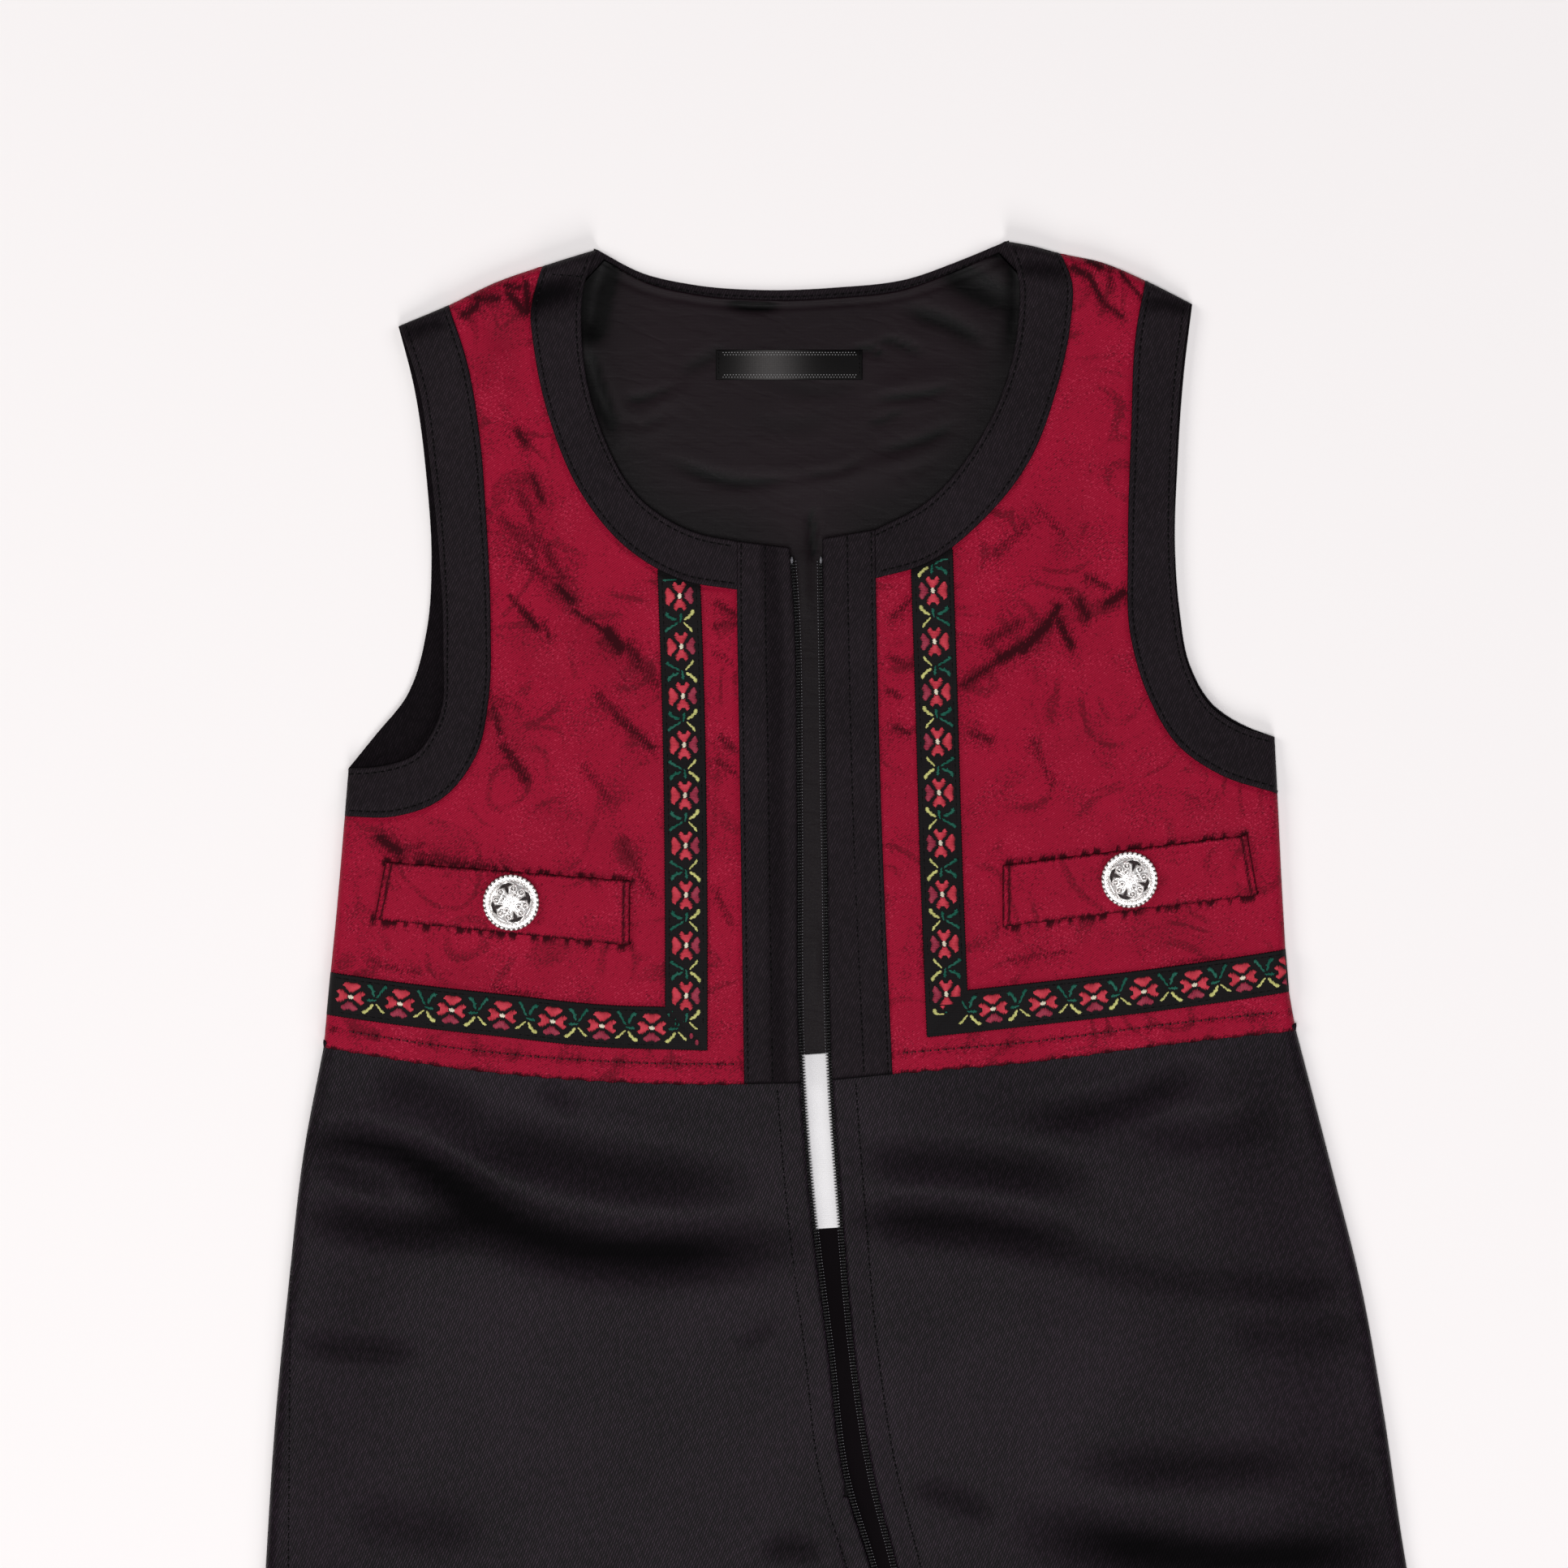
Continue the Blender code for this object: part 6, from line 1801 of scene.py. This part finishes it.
@dataclass
class Ribbons:
    """The woven ribbon on each front: down from the neck band, a mitre, and out to the side."""

    finishes: Finishes
    width: float = 13.0
    pitch: float = 1.0
    row: float = 0.34
    petal: float = 4.5
    thread: float = 0.29
    thread_lift: float = 0.08
    mitre_margin: float = 3.0
    down: dict[Side, Table] = field(default_factory=lambda: {
        L: ((-54.8, 235.4), (-53.6, 200.0), (-52.6, 130.0), (-52.6, 97.2)),
        R: ((23.0, 241.5), (24.2, 205.0), (26.0, 145.0), (27.7, 101.8)),
    })
    out: dict[Side, Table] = field(default_factory=lambda: {
        L: ((-52.6, 97.2), (-78.6, 98.0), (-109.3, 101.2), (-140.8, 104.8), (-166.0, 108.4)),
        R: ((27.7, 101.8), (57.3, 105.0), (88.4, 108.6), (118.8, 112.8), (137.0, 115.7)),
    })
    column: dict[Side, Sequence[float]] = field(default_factory=lambda: {
        L: (230.3, 214.8, 199.5, 184.5, 169.0, 153.5, 138.3, 122.8, 107.3),
        R: (232.0, 216.3, 200.8, 185.5, 169.8, 154.3, 138.5, 123.3, 107.8),
    })
    lower: dict[Side, Sequence[float]] = field(default_factory=lambda: {
        L: (-63.2, -78.6, -93.8, -109.3, -124.9, -140.8, -156.0),
        R: (41.9, 57.3, 72.9, 88.4, 104.0, 118.8, 133.1),
    })

    def build(self) -> None:
        """Lays and embroiders both ribbons."""
        for side in Side:
            self.ribbon(side)
            self.embroider(side)
            self.selvedge(side)

    def edges(self, side: Side) -> list[tuple[Array, Array]]:
        """The two edges, each in a part down and a part out."""
        down, out = smooth_line(self.down[side], 2.0), smooth_line(self.out[side], 2.0)
        down = np.concatenate([[down[0] + (down[0] - down[1]) * 3.0], down])
        made = []
        for distance in (side.outward * self.width / 2, -side.outward * self.width / 2):
            outward = cut_at(shifted(out, distance), PATTERN.bodice_side[side])
            made.append(mitred(shifted(down, distance), outward))
        return made

    @staticmethod
    def from_band(side: Side, points: Array) -> Array:
        """How far each point lies from the neck band's seam, negative under the band."""
        gap, hand, _ = nearest(points, PATTERN.neck_seam[side])
        return gap * np.where(hand == -side.outward, -1.0, 1.0)

    def level(self, side: Side, points: Array) -> Array:
        """The face of the ribbon, which goes under the neck band."""
        clear = smooth_step(self.from_band(side, points) / 1.6)
        return bodice_form(side).height(points) - 0.5 + (0.5 + 0.35 + TRIM_SHELL) * clear

    def ribbon(self, side: Side) -> None:
        """The ribbon's ground, with its mitred corner."""
        first, second = self.edges(side)
        if side is R:
            first, second = second, first
        fine = (0.0, 0.12, 0.35, 0.7)
        parts = [Stretch(first[0], second[0]), Stretch(first[1], second[1])]
        grid = panel_grid(parts, self.pitch, (fine, fine, PLAIN_STOPS, ROLL_STOPS))
        mitre = gap_to(grid.points, np.array((first[0][-1], second[0][-1])))
        height = self.level(side, grid.points)
        edge = grid.side_inset
        height += round_over(edge, 0.35) + channel(edge - 0.9, 0.15, 0.35)
        height += 0.1 * unevenness(grid.points, 7.0, 5.0)
        height += channel(mitre, 0.35, 0.5)
        lay(f"ribbon_{side.value}", grid, height, "ribbon", self.finishes.ribbon,
            Cloth(13.0, 285.0, f"front_bodice_{side.value}_cloth"), TRIM_SHELL)

    def flower(self, along_it: Array, across: Array) -> Array:
        """The silk at each point of a flower, or -1.

        Args:
            along_it: distance along the ribbon from the flower's centre.
            across: distance towards the outer edge.

        Returns:
            The number of the silk.
        """
        reach, angle = np.hypot(along_it, across), np.abs(np.arctan2(along_it, across))
        silk = np.full(reach.shape, -1)
        for thread, centre, half, length, notch in PETALS:
            off = np.abs(angle - centre)
            tip = length * self.petal * (1 - notch * bell(off, 0.17) - 0.24 * (off / half) ** 4)
            silk = np.where((reach < tip) & (reach * (half - off) > 0.17), thread.slot, silk)
        silk = np.where(reach < 1.02, -1, silk)
        return np.where(reach < 0.92, Silk.CREAM.slot, silk)

    @staticmethod
    def sprig(along_it: Array, across: Array, mirror: int) -> Array:
        """The silk at each point of a sprig, or -1."""
        silk = np.full(along_it.shape, -1)
        points = np.stack([across, along_it * mirror], axis=-1)
        for thread, half_width, *line in SPRIG:
            gap, _, fraction = nearest(points, smooth_line(line, 0.6))
            leaf = gap < half_width * (0.72 + 0.6 * fraction + 0.22 * np.sin(16.0 * fraction))
            silk = np.where(leaf, thread.slot, silk)
        return silk

    def threads(self, reach: float, pattern: Callable[[Array, Array], Array]) -> tuple[Array, Array]:
        """Turns a small chart into threads across the ribbon.

        Args:
            reach: half the size of the chart.
            pattern: the silk at each point.

        Returns:
            The ends of each thread as along and across, and its silk.
        """
        rows = np.arange(-reach, reach + 1e-6, self.row)
        cells = np.linspace(-6.1, 6.1, 123)
        chart = pattern(*np.meshgrid(rows, cells, indexing="ij"))
        ends, silks = [], []
        for at, line in zip(rows, chart):
            change = np.flatnonzero(np.diff(line, prepend=-2, append=-2))
            for start, end in zip(change, change[1:]):
                if line[start] >= 0 and end - start > 2:
                    ragged = 0.10 * math.sin(57.0 * at + 23.0 * start)
                    ends.append(((at, cells[start] + ragged), (at, cells[end - 1] + ragged)))
                    silks.append(line[start])
        return np.array(ends), np.array(silks)

    def lay_along(self, side: Side, axis: int) -> Iterator[tuple[Array, Array, Array]]:
        """The flowers of one part of the ribbon, and then the sprigs between them.

        Args:
            side: the ribbon's side of the suit.
            axis: one for the part down, nought for the part out.

        Yields:
            For each of them the ends of its threads, their silks and their places in the weave.
        """
        table, spots = (self.down, self.column) if axis else (self.out, self.lower)
        centre = smooth_line(table[side], 1.0)
        lengths = arc_lengths(centre)
        tangent = np.gradient(centre, lengths, axis=0)
        sign = 1 if centre[-1, axis] > centre[0, axis] else -1
        at = np.interp([sign * v for v in spots[side]], sign * centre[:, axis], lengths)
        step = np.diff(at).mean()
        between = [at[0] - step / 2, *((at[1:] + at[:-1]) / 2), at[-1] + step / 2]
        if axis == 0 and lengths[-1] - between[-1] < self.petal:
            between.pop()
        flower = self.threads(self.petal, self.flower)
        sprigs = [self.threads(4.6, lambda u, v, m=m: self.sprig(u, v, m)) for m in (-1, 1)]
        marks = [(spot, flower) for spot in at] + [(spot, sprigs[k % 2]) for k, spot in enumerate(between)]
        inner, outer = (edge[0][-1] for edge in self.edges(side))
        hand = np.sign(np.cross(outer - inner, centre[len(centre) // 2] - inner))
        for spot, (ends, silks) in marks:
            here = spot + ends[..., 0]
            base = np.stack([np.interp(here, lengths, centre[:, k]) for k in (0, 1)], axis=-1)
            slope = np.stack([np.interp(here, lengths, tangent[:, k]) for k in (0, 1)], axis=-1)
            outward = -side.outward * np.stack([-slope[..., 1], slope[..., 0]], axis=-1)
            laid = base + ends[..., 1:] * outward
            kept = (hand * np.cross(outer - inner, laid - inner) > self.mitre_margin).all(axis=1)
            yield laid[kept], silks[kept], np.stack([here, ends[..., 1]], axis=-1)[kept]

    @staticmethod
    def dot(x: float, y: float) -> tuple[Array, Array, Array]:
        """A small dot, as the ends, silks and places of its threads."""
        rows = np.linspace(-0.6, 0.6, 4)
        half = np.sqrt(0.85**2 - rows**2)
        ends = np.stack([np.stack([x + way * half, y + rows], -1) for way in (-1, 1)], 1)
        return ends, np.full(len(rows), Silk.RASPBERRY.slot), ends

    def embroider(self, side: Side) -> None:
        """Lays the threads of every flower and sprig that lie outside the neck band and the seam."""
        dots = (self.dot(*at) for at in CORNER_DOTS[side])
        marks = (*self.lay_along(side, 1), *self.lay_along(side, 0), *dots)
        ends, silks, weave = (np.concatenate(part) for part in zip(*marks))
        reach = np.interp(ends[..., 1], *PATTERN.bodice_side[side][::-1, ::-1].T) * side.outward
        shown = (self.from_band(side, ends) > 0.2).all(axis=1)
        shown &= (ends[..., 0] * side.outward < reach - 0.4).all(axis=1)
        ends, silks, weave = ends[shown], silks[shown], weave[shown]
        level = self.level(side, ends) + self.thread_lift
        ends = np.concatenate([ends, level[..., None]], axis=-1)
        template = ball_template(5, 3)
        copies = thread_copies(template, ends, self.thread, 0.8)
        centre, half = weave.mean(axis=1), (weave[:, 1] - weave[:, 0]) / 2
        x, y = template.points[None, :, 0, None], template.points[None, :, 1, None]
        spread = centre[:, None] + half[:, None] * x + np.array((0.3, 0.0)) * y
        settle(joined(f"ribbon_flowers_{side.value}", template, copies, spread, silks), "ribbon",
               *self.finishes.silks)

    def selvedge(self, side: Side) -> None:
        """The small loops along both edges of the ribbon."""
        rows = []
        for edge in self.edges(side):
            for part in edge:
                rows.append(runs_along(part, lambda points: self.level(side, points), -0.30, 0.9, 0.62))
        sew(f"ribbon_selvedge_{side.value}", rows, self.finishes.black_thread, "ribbon", 0.22)
        rows = []
        for edge, inward in zip(self.edges(side), (1, -1)):
            for part in edge:
                line = shifted(part, inward * -side.outward * 1.3)[1:-1]
                rows.append(runs_along(line, lambda points: self.level(side, points), -0.08))
        sew(f"ribbon_stitches_{side.value}", rows, self.finishes.black_thread, "ribbon", 0.17,
            self.finishes.needle_hole_shade)


# ---------------------------------- buttons


@dataclass
class Buttons:
    """Two domed silver buttons with pierced scrollwork and beaded rims."""

    finishes: Finishes
    radius: float = 8.75
    rim: float = 1.35
    dome: float = 3.6
    base: float = 2 * SEAM_GAP + 1.4
    groove: float = 0.5
    centres: dict[Side, tuple[float, float]] = field(
        default_factory=lambda: {L: (-106.5, 136.0), R: (83.8, 143.0)})
    turns: dict[Side, float] = field(default_factory=lambda: {L: 17.0, R: -17.0})

    def build(self) -> None:
        """Makes both buttons."""
        for side in Side:
            self.cast(side)
            self.bead(side)

    def arch(self, reach: Array) -> Array:
        """The height of the plain dome at a distance from its axis."""
        inner = self.radius - self.rim - 0.9
        curve = 1.5 + (self.dome - 1.9) * np.sqrt(np.clip(1 - (reach / inner) ** 2, 0, 1)) ** 1.3
        rim = 1.25 + 0.0 * reach
        return np.where(reach < inner, curve, rim)

    def openings(self, reach: Array, angle: Array) -> Array:
        """How far inside one of the four three-pointed openings each place lies."""
        quarter = math.pi / 2
        local = (angle + quarter / 2) % quarter - quarter / 2
        x, y = reach * np.cos(local), reach * np.sin(local)
        arc = 0.78 - np.abs(reach - 5.6) - 0.40 * np.clip(np.abs(y) - 0.7, 0, None)
        arm = 0.86 - np.abs(y) * 1.0 - 0.32 * np.clip(5.0 - x, 0, None)
        arm = np.where((x > 2.6) & (x < 6.0), arm, -1)
        return np.maximum(arc, arm)

    def scrolls(self, reach: Array, angle: Array) -> Array:
        """The raised lobes between the openings, each with a dot."""
        quarter = math.pi / 2
        raised = np.zeros(reach.shape)
        x, y = reach * np.cos(angle), reach * np.sin(angle)
        for k in range(4):
            for lean in (-1, 1):
                at = k * quarter + quarter / 2 + lean * 0.30
                gap = np.hypot(x - 4.5 * math.cos(at), y - 4.5 * math.sin(at))
                raised += 0.34 * bell(gap - 0.95, 0.22) + 0.42 * bell(gap, 0.32)
                raised -= self.groove * bell(gap - 0.58, 0.13)
            at = k * quarter + quarter / 2
            gap = np.hypot(x - 2.7 * math.cos(at), y - 2.7 * math.sin(at))
            raised += 0.30 * bell(gap - 0.6, 0.25) - self.groove * bell(gap, 0.3)
        return raised

    def cast(self, side: Side) -> None:
        """The dome with its openings, spun and then worked."""
        steps, rings = 180, 42
        bm = bmesh.new()
        radii = np.linspace(0.02, self.radius - 0.15, rings)
        profile = [bm.verts.new((r, 0, 0)) for r in radii]
        profile += [bm.verts.new((r, 0, -1)) for r in (self.radius - 0.15, self.radius - 0.6, 0.02)]
        edges = [bm.edges.new(pair) for pair in zip(profile, profile[1:])]
        bmesh.ops.spin(bm, geom=profile + edges, cent=(0, 0, 0), axis=(0, 0, 1), angle=math.tau,
                       steps=steps, use_merge=True)
        bmesh.ops.remove_doubles(bm, verts=bm.verts, dist=1e-5)
        bmesh.ops.recalc_face_normals(bm, faces=bm.faces)
        mesh = bpy.data.meshes.new(f"button_{side.value}_silver")
        bm.to_mesh(mesh)
        bm.free()
        spots = np.empty(len(mesh.vertices) * 3, np.float32)
        mesh.vertices.foreach_get("co", spots)
        spots = spots.reshape(-1, 3).astype(float)
        reach, angle = np.hypot(spots[:, 0], spots[:, 1]), np.arctan2(spots[:, 1], spots[:, 0])
        upper = spots[:, 2] > -0.5
        inside = self.openings(reach, angle)
        relief = self.scrolls(reach, angle) * (inside < 0) * (reach < 6.0)
        worked = self.arch(reach) + relief
        worked += 0.28 * bell(reach - 6.35, 0.24)
        worked += 0.3 * bell(inside + 0.22, 0.16) * (inside < 0) * (reach < 6.3)
        worked -= 1.5 * smooth_step(inside / 0.22)
        spots[:, 2] = np.where(upper, worked, np.where(reach > self.radius - 0.4, 0.7, 0.25))
        spots[:, 2] = np.where(~upper & (reach < 1), 0.25, spots[:, 2])
        flags = np.zeros(len(mesh.polygons), np.int32)
        # Dark faces take the dark material: painted shade in the openings and on the rim between the beads,
        # tarnish in the scroll grooves.
        dark = upper & ((inside > 0.12) | (relief < -0.8 * self.groove) | (reach > 7.6))
        for face in mesh.polygons:
            if all(dark[i] for i in face.vertices):
                flags[face.index] = 1
        mesh.polygons.foreach_set("material_index", flags)
        mesh.vertices.foreach_set("co", (self.placed(side, spots) * MM).astype(np.float32).ravel())
        settle(show(mesh), "silver", self.finishes.silver, self.finishes.button_tarnish_and_shade,
               solid=f"button_{side.value}")

    def placed(self, side: Side, spots: Array) -> Array:
        """Points of a button put on the front, turned and tilted with the cloth."""
        x, y = self.centres[side]
        form = bodice_form(side)
        near = form.height(np.array(((x, y), (x + 1, y), (x - 1, y), (x, y + 1), (x, y - 1))))
        normal = Vector((near[2] - near[1], near[4] - near[3], 2.0)).normalized()
        tilt = Vector((0, 0, 1)).rotation_difference(normal).to_matrix()
        turn = np.array(tilt) @ self.spin_matrix(self.turns[side])
        return spots @ turn.T + np.array((x, y, near[0])) + self.base * np.array(normal)

    @staticmethod
    def spin_matrix(degrees: float) -> Array:
        """A turn about the vertical."""
        c, s = math.cos(math.radians(degrees)), math.sin(math.radians(degrees))
        return np.array(((c, -s, 0), (s, c, 0), (0, 0, 1)))

    def bead(self, side: Side) -> None:
        """The rope of beads at the rim, the ring of small beads in it, and the rosette."""
        template = ball_template(8, 5)
        copies = []
        for count, reach, level, size in ((34, 8.15, 1.25, (0.58, 0.70, 0.60)),
                                          (38, 6.98, 1.42, (0.44, 0.44, 0.44)),
                                          (8, 1.05, self.dome - 0.4, (0.36, 0.36, 0.34)),
                                          (1, 0.0, self.dome - 0.2, (0.52, 0.52, 0.45))):
            angles = np.arange(count) / count * math.tau
            lean = 0.45 if count == 34 else 0.0
            body = template.points * size
            for angle in angles:
                turn = self.spin_matrix(math.degrees(angle))
                shape = body @ self.spin_matrix(math.degrees(lean)).T
                copies.append((shape + (reach, 0, level)) @ turn.T)
        spots = self.placed(side, np.concatenate(copies)).reshape(len(copies), -1, 3)
        settle(joined(f"button_{side.value}_beads", template, spots), "silver", self.finishes.silver)


# ---------------------------------- trousers


@dataclass
class Trousers:
    """The two trouser fronts and the strip beside the crotch, with their stitching."""

    finishes: Finishes
    pitch: float = 2.8
    under_hem: float = 1.6
    zip_stitch: float = 7.2
    side_stitch: Table = ((-174.6, 24.0), (-175.2, -60.0), (-176.0, -200.0), (-175.0, -338.0))

    def build(self) -> None:
        """Lays the fronts and sews along the zip."""
        self.left()
        self.right()
        self.strip()
        self.sew_zip()

    def finish(self, name: str, grid: Grid, zip_border: Array, cut: Cloth) -> None:
        """Gives a trouser front its height and cloth.

        Args:
            name: the solid that it stands for.
            grid: its points.
            zip_border: how far each point lies from the zip's edge.
            cut: its cut.
        """
        height = trouser_form().height(grid.points)
        height += round_over(zip_border, 0.8) + channel(zip_border - self.zip_stitch, 0.22, 0.6)
        height += 0.08 * unevenness(grid.points, 16.0, 1.5) * smooth_step(grid.inset / 6)
        height += round_over(grid.bottom, 0.7)
        # The stored shade paints shade into the trouser folds.
        lay(name, grid, height, "satin_twill", self.finishes.satin, cut,
            hollow=trouser_form().hollow(grid.points))

    @staticmethod
    def zip_gap(grid: Grid, side: Side) -> Array:
        """How far each point lies from its zip edge."""
        line = stretch(PATTERN.zip_edge[side], 1, HEM[side][-1][1] + 6, ZIP_EDGE[side][-1][1])
        return gap_to(grid.points, line)

    def left(self) -> None:
        """The left front, whose border follows the zip, the centre seam and the inner leg."""
        p = PATTERN
        foot, seam_top, crotch = TROUSER_SIDE[L][-1][1], CENTRE_SEAM[0][1], CROTCH[1]
        side_line = p.trouser_side[L]
        grid = panel_grid(
            [Stretch(stretch(side_line, 1, side_line[0, 1], seam_top),
                     stretch(p.zip_edge[L], 1, HEM[L][-1][1], seam_top)),
             Stretch(stretch(side_line, 1, seam_top, crotch), p.centre_seam),
             Stretch(stretch(side_line, 1, crotch, foot), p.inner_leg[L])],
            self.pitch, (ROLL_STOPS, ROLL_STOPS, FOLD_STOPS, FOLD_STOPS), top=rightwards(p.hem[L]))
        grid.points[0, :, 1] += self.under_hem
        self.finish("front_trouser_left", grid, self.zip_gap(grid, L),
                    Cloth(182.0, 448.0, "back_trouser_left_cloth"))

    def right(self) -> None:
        """The right front, whose border follows the zip and the leg seam."""
        p = PATTERN
        foot, open_end = TROUSER_SIDE[R][-1][1], ZIP_EDGE[R][-1][1]
        side_line = p.trouser_side[R]
        closing = smooth_line((ZIP_EDGE[R][-1], ZIP_END))
        grid = panel_grid(
            [Stretch(stretch(p.zip_edge[R], 1, HEM[R][-1][1], open_end),
                     stretch(side_line, 1, side_line[0, 1], open_end)),
             Stretch(closing, stretch(side_line, 1, open_end, ZIP_END[1])),
             Stretch(p.leg_seam, stretch(side_line, 1, ZIP_END[1], foot))],
            self.pitch, (FOLD_STOPS, ROLL_STOPS, FOLD_STOPS, FOLD_STOPS), top=rightwards(p.hem[R]))
        grid.points[0, :, 1] += self.under_hem
        self.finish("front_trouser_right", grid, self.zip_gap(grid, R),
                    Cloth(170.0, 448.0, "back_trouser_right_cloth"))

    def strip(self) -> None:
        """The narrow part of the right leg beside the zip."""
        p = PATTERN
        crotch, open_end, foot = CROTCH[1], ZIP_EDGE[L][-1][1], TROUSER_SIDE[R][-1][1]
        closing = smooth_line((ZIP_EDGE[L][-1], ZIP_END))
        grid = panel_grid(
            [Stretch(stretch(p.centre_seam, 1, STRIP_TOP, crotch),
                     stretch(p.zip_edge[L], 1, STRIP_TOP, crotch)),
             Stretch(stretch(p.inner_leg[R], 1, crotch, open_end),
                     stretch(p.zip_edge[L], 1, crotch, open_end)),
             Stretch(stretch(p.inner_leg[R], 1, open_end, ZIP_END[1]), closing),
             Stretch(stretch(p.inner_leg[R], 1, ZIP_END[1], foot), p.leg_seam)],
            1.4, (FOLD_STOPS, SEAM_STOPS, SEAM_STOPS, FOLD_STOPS))
        self.finish("inner_leg_strip", grid, self.zip_gap(grid, L),
                    Cloth(22.0, 296.0, "back_trouser_right_cloth"))

    def sew_zip(self) -> None:
        """The rows of stitches beside the zip and down the left side."""
        form, rows = trouser_form(), []
        for side in Side:
            line = stretch(PATTERN.zip_edge[side], 1, HEM[side][-1][1] - 1, -225.0)
            rows.append(runs_along(shifted(line, side.outward * self.zip_stitch), form.height, -0.10))
        rows.append(runs_along(smooth_line(self.side_stitch), form.height, -0.10))
        sew("zip_row_stitches", rows, self.finishes.black_thread, "satin_twill",
            hole_shade=self.finishes.needle_hole_shade)


# ---------------------------------- zip


@dataclass
class Zip:
    """The open zip: two tapes with their coils, the slider and its pull."""

    finishes: Finishes
    over: float = 0.9
    under: float = 6.5
    tooth_pitch: float = 0.95
    stop_ends: tuple[float, float] = (0.2, -2.3)

    def build(self) -> None:
        """Lays the tapes and coils and finishes the metal parts."""
        for side in Side:
            self.tape(side)
            self.coil(side)
        for name in ("zip_slider", "zip_pull"):
            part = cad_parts[name]
            part.data.materials.clear()
            part.data.materials.append(self.finishes.black_metal)

    def edge(self, side: Side) -> Array:
        """The line along which the front folds back over the tape."""
        return stretch(PATTERN.zip_edge[side], 1, ZIP_TOP, ZIP_EDGE[side][-1][1])

    def tape(self, side: Side) -> None:
        """One tape."""
        line, into = self.edge(side), -side.outward
        inner, outer = shifted(line, into * self.over), shifted(line, -into * self.under)
        grid = panel_grid([Stretch(*side.ordered(outer, inner))], 1.2,
                          (PLAIN_STOPS, (0.0, 0.15, 0.4), PLAIN_STOPS, PLAIN_STOPS))
        height = tape_form().height(grid.points) + round_over(grid.right if side is L else grid.left, 0.3)
        lay(f"zip_tape_{side.value}", grid, height, "twill", self.finishes.ribbon,
            Cloth(10.0, 486.0, "back_lining_cloth"), 0.8)

    def coil(self, side: Side) -> None:
        """The row of coil teeth along the tape's edge."""
        line, into = self.edge(side), -side.outward
        total = arc_lengths(line)[-1]
        at = np.arange(1.5, total - 8, self.tooth_pitch) / total
        near = along(shifted(line, into * -0.4), at)
        far = along(shifted(line, into * (self.over + 0.75)), at)
        level = tape_form().height(along(line, at)) + 0.12
        ends = np.stack([np.column_stack([near, level]), np.column_stack([far, level + 0.05])], axis=1)
        template = ball_template(6, 4)
        # Small pale beads on the teeth are painted highlights.
        glints = ends[:, 1:] + np.array((((-0.14, 0.0, 0.3), (0.14, 0.0, 0.3)),))
        copies = np.concatenate([thread_copies(template, ends, 0.36, 1.0),
                                 thread_copies(template, glints, 0.19, 1.0)])
        settle(joined(f"zip_coil_{side.value}", template, copies, slots=np.repeat((0, 1), len(ends))),
               "black_metal", self.finishes.coil, self.finishes.zip_glint)
        stop = np.array([(*(line[0] + (into * 0.5, y)), TAPE_TOP_BODICE + 0.3) for y in self.stop_ends])
        settle(joined(f"zip_stop_{side.value}", template, thread_copies(template, stop[None], 0.42, 0.9)),
               "black_metal", self.finishes.zip_glint)


# ---------------------------------- studio


@dataclass
class Studio:
    """The floor, the lights and the camera."""

    finishes: Finishes
    centre: tuple[float, float] = (-0.0225, 0.1725)
    view: float = 0.483
    height: float = 2.0

    def build(self) -> None:
        """Sets everything round the suit."""
        bm = bmesh.new()
        bmesh.ops.create_grid(bm, x_segments=4, y_segments=4, size=3.0)
        mesh = bpy.data.meshes.new("floor")
        bm.to_mesh(mesh)
        bm.free()
        floor = bpy.data.objects.new("floor", mesh)
        bpy.context.scene.collection.objects.link(floor)
        mesh.materials.append(Paper().material())
        self.light("top_light", (-0.2, -0.25, 3.0), 1.0, 39.0, (1.0, 0.965, 0.985))
        self.light("key_light", (-2.5, 0.9, 2.0), 1.4, 34.0, (1.0, 0.985, 0.96))
        self.light("foot_light", (0.3, -2.6, 1.7), 1.4, 42.0, (1.0, 0.985, 0.98))
        self.light("side_light", (2.6, 0.6, 2.3), 1.8, 22.0, (0.98, 0.98, 1.0))
        world = bpy.data.worlds.new("soft_room")
        world.use_nodes = True
        background = world.node_tree.nodes["Background"]
        background.inputs["Color"].default_value = (0.96, 0.96, 1.0, 1)
        background.inputs["Strength"].default_value = 0.10
        bpy.context.scene.world = world
        bpy.context.scene.view_settings.view_transform = "Standard"
        self.camera()

    def light(self, name: str, place: tuple[float, float, float], size: float, power: float,
              colour: Colour) -> None:
        """A square soft light aimed at the suit."""
        lamp = bpy.data.lights.new(name, "AREA")
        lamp.size, lamp.energy, lamp.color = size, power, colour
        stand = bpy.data.objects.new(name, lamp)
        stand.location = place
        aim = Vector((*self.centre, 0)) - Vector(place)
        stand.rotation_euler = aim.to_track_quat("-Z", "Y").to_euler()
        bpy.context.scene.collection.objects.link(stand)

    def camera(self) -> None:
        """A camera straight above the upper part of the suit."""
        data = bpy.data.cameras.new("camera")
        data.sensor_width = 36.0
        data.lens = 36.0 * (self.height - 0.006) / self.view
        data.clip_start, data.clip_end = 0.05, 20.0
        stand = bpy.data.objects.new("camera", data)
        stand.location = (*self.centre, self.height)
        bpy.context.scene.collection.objects.link(stand)
        bpy.context.scene.camera = stand


def main() -> None:
    """Builds the suit part by part."""
    logging.basicConfig(level=logging.INFO, format="%(message)s")
    finishes = Finishes()
    Studio(finishes).build()
    for part in (Back, Lining, Bodice, Bands, Ribbons, Buttons, Trousers, Zip):
        part(finishes).build()
        log.info("built %s", part.__name__)


if __name__ == "__main__":
    main()
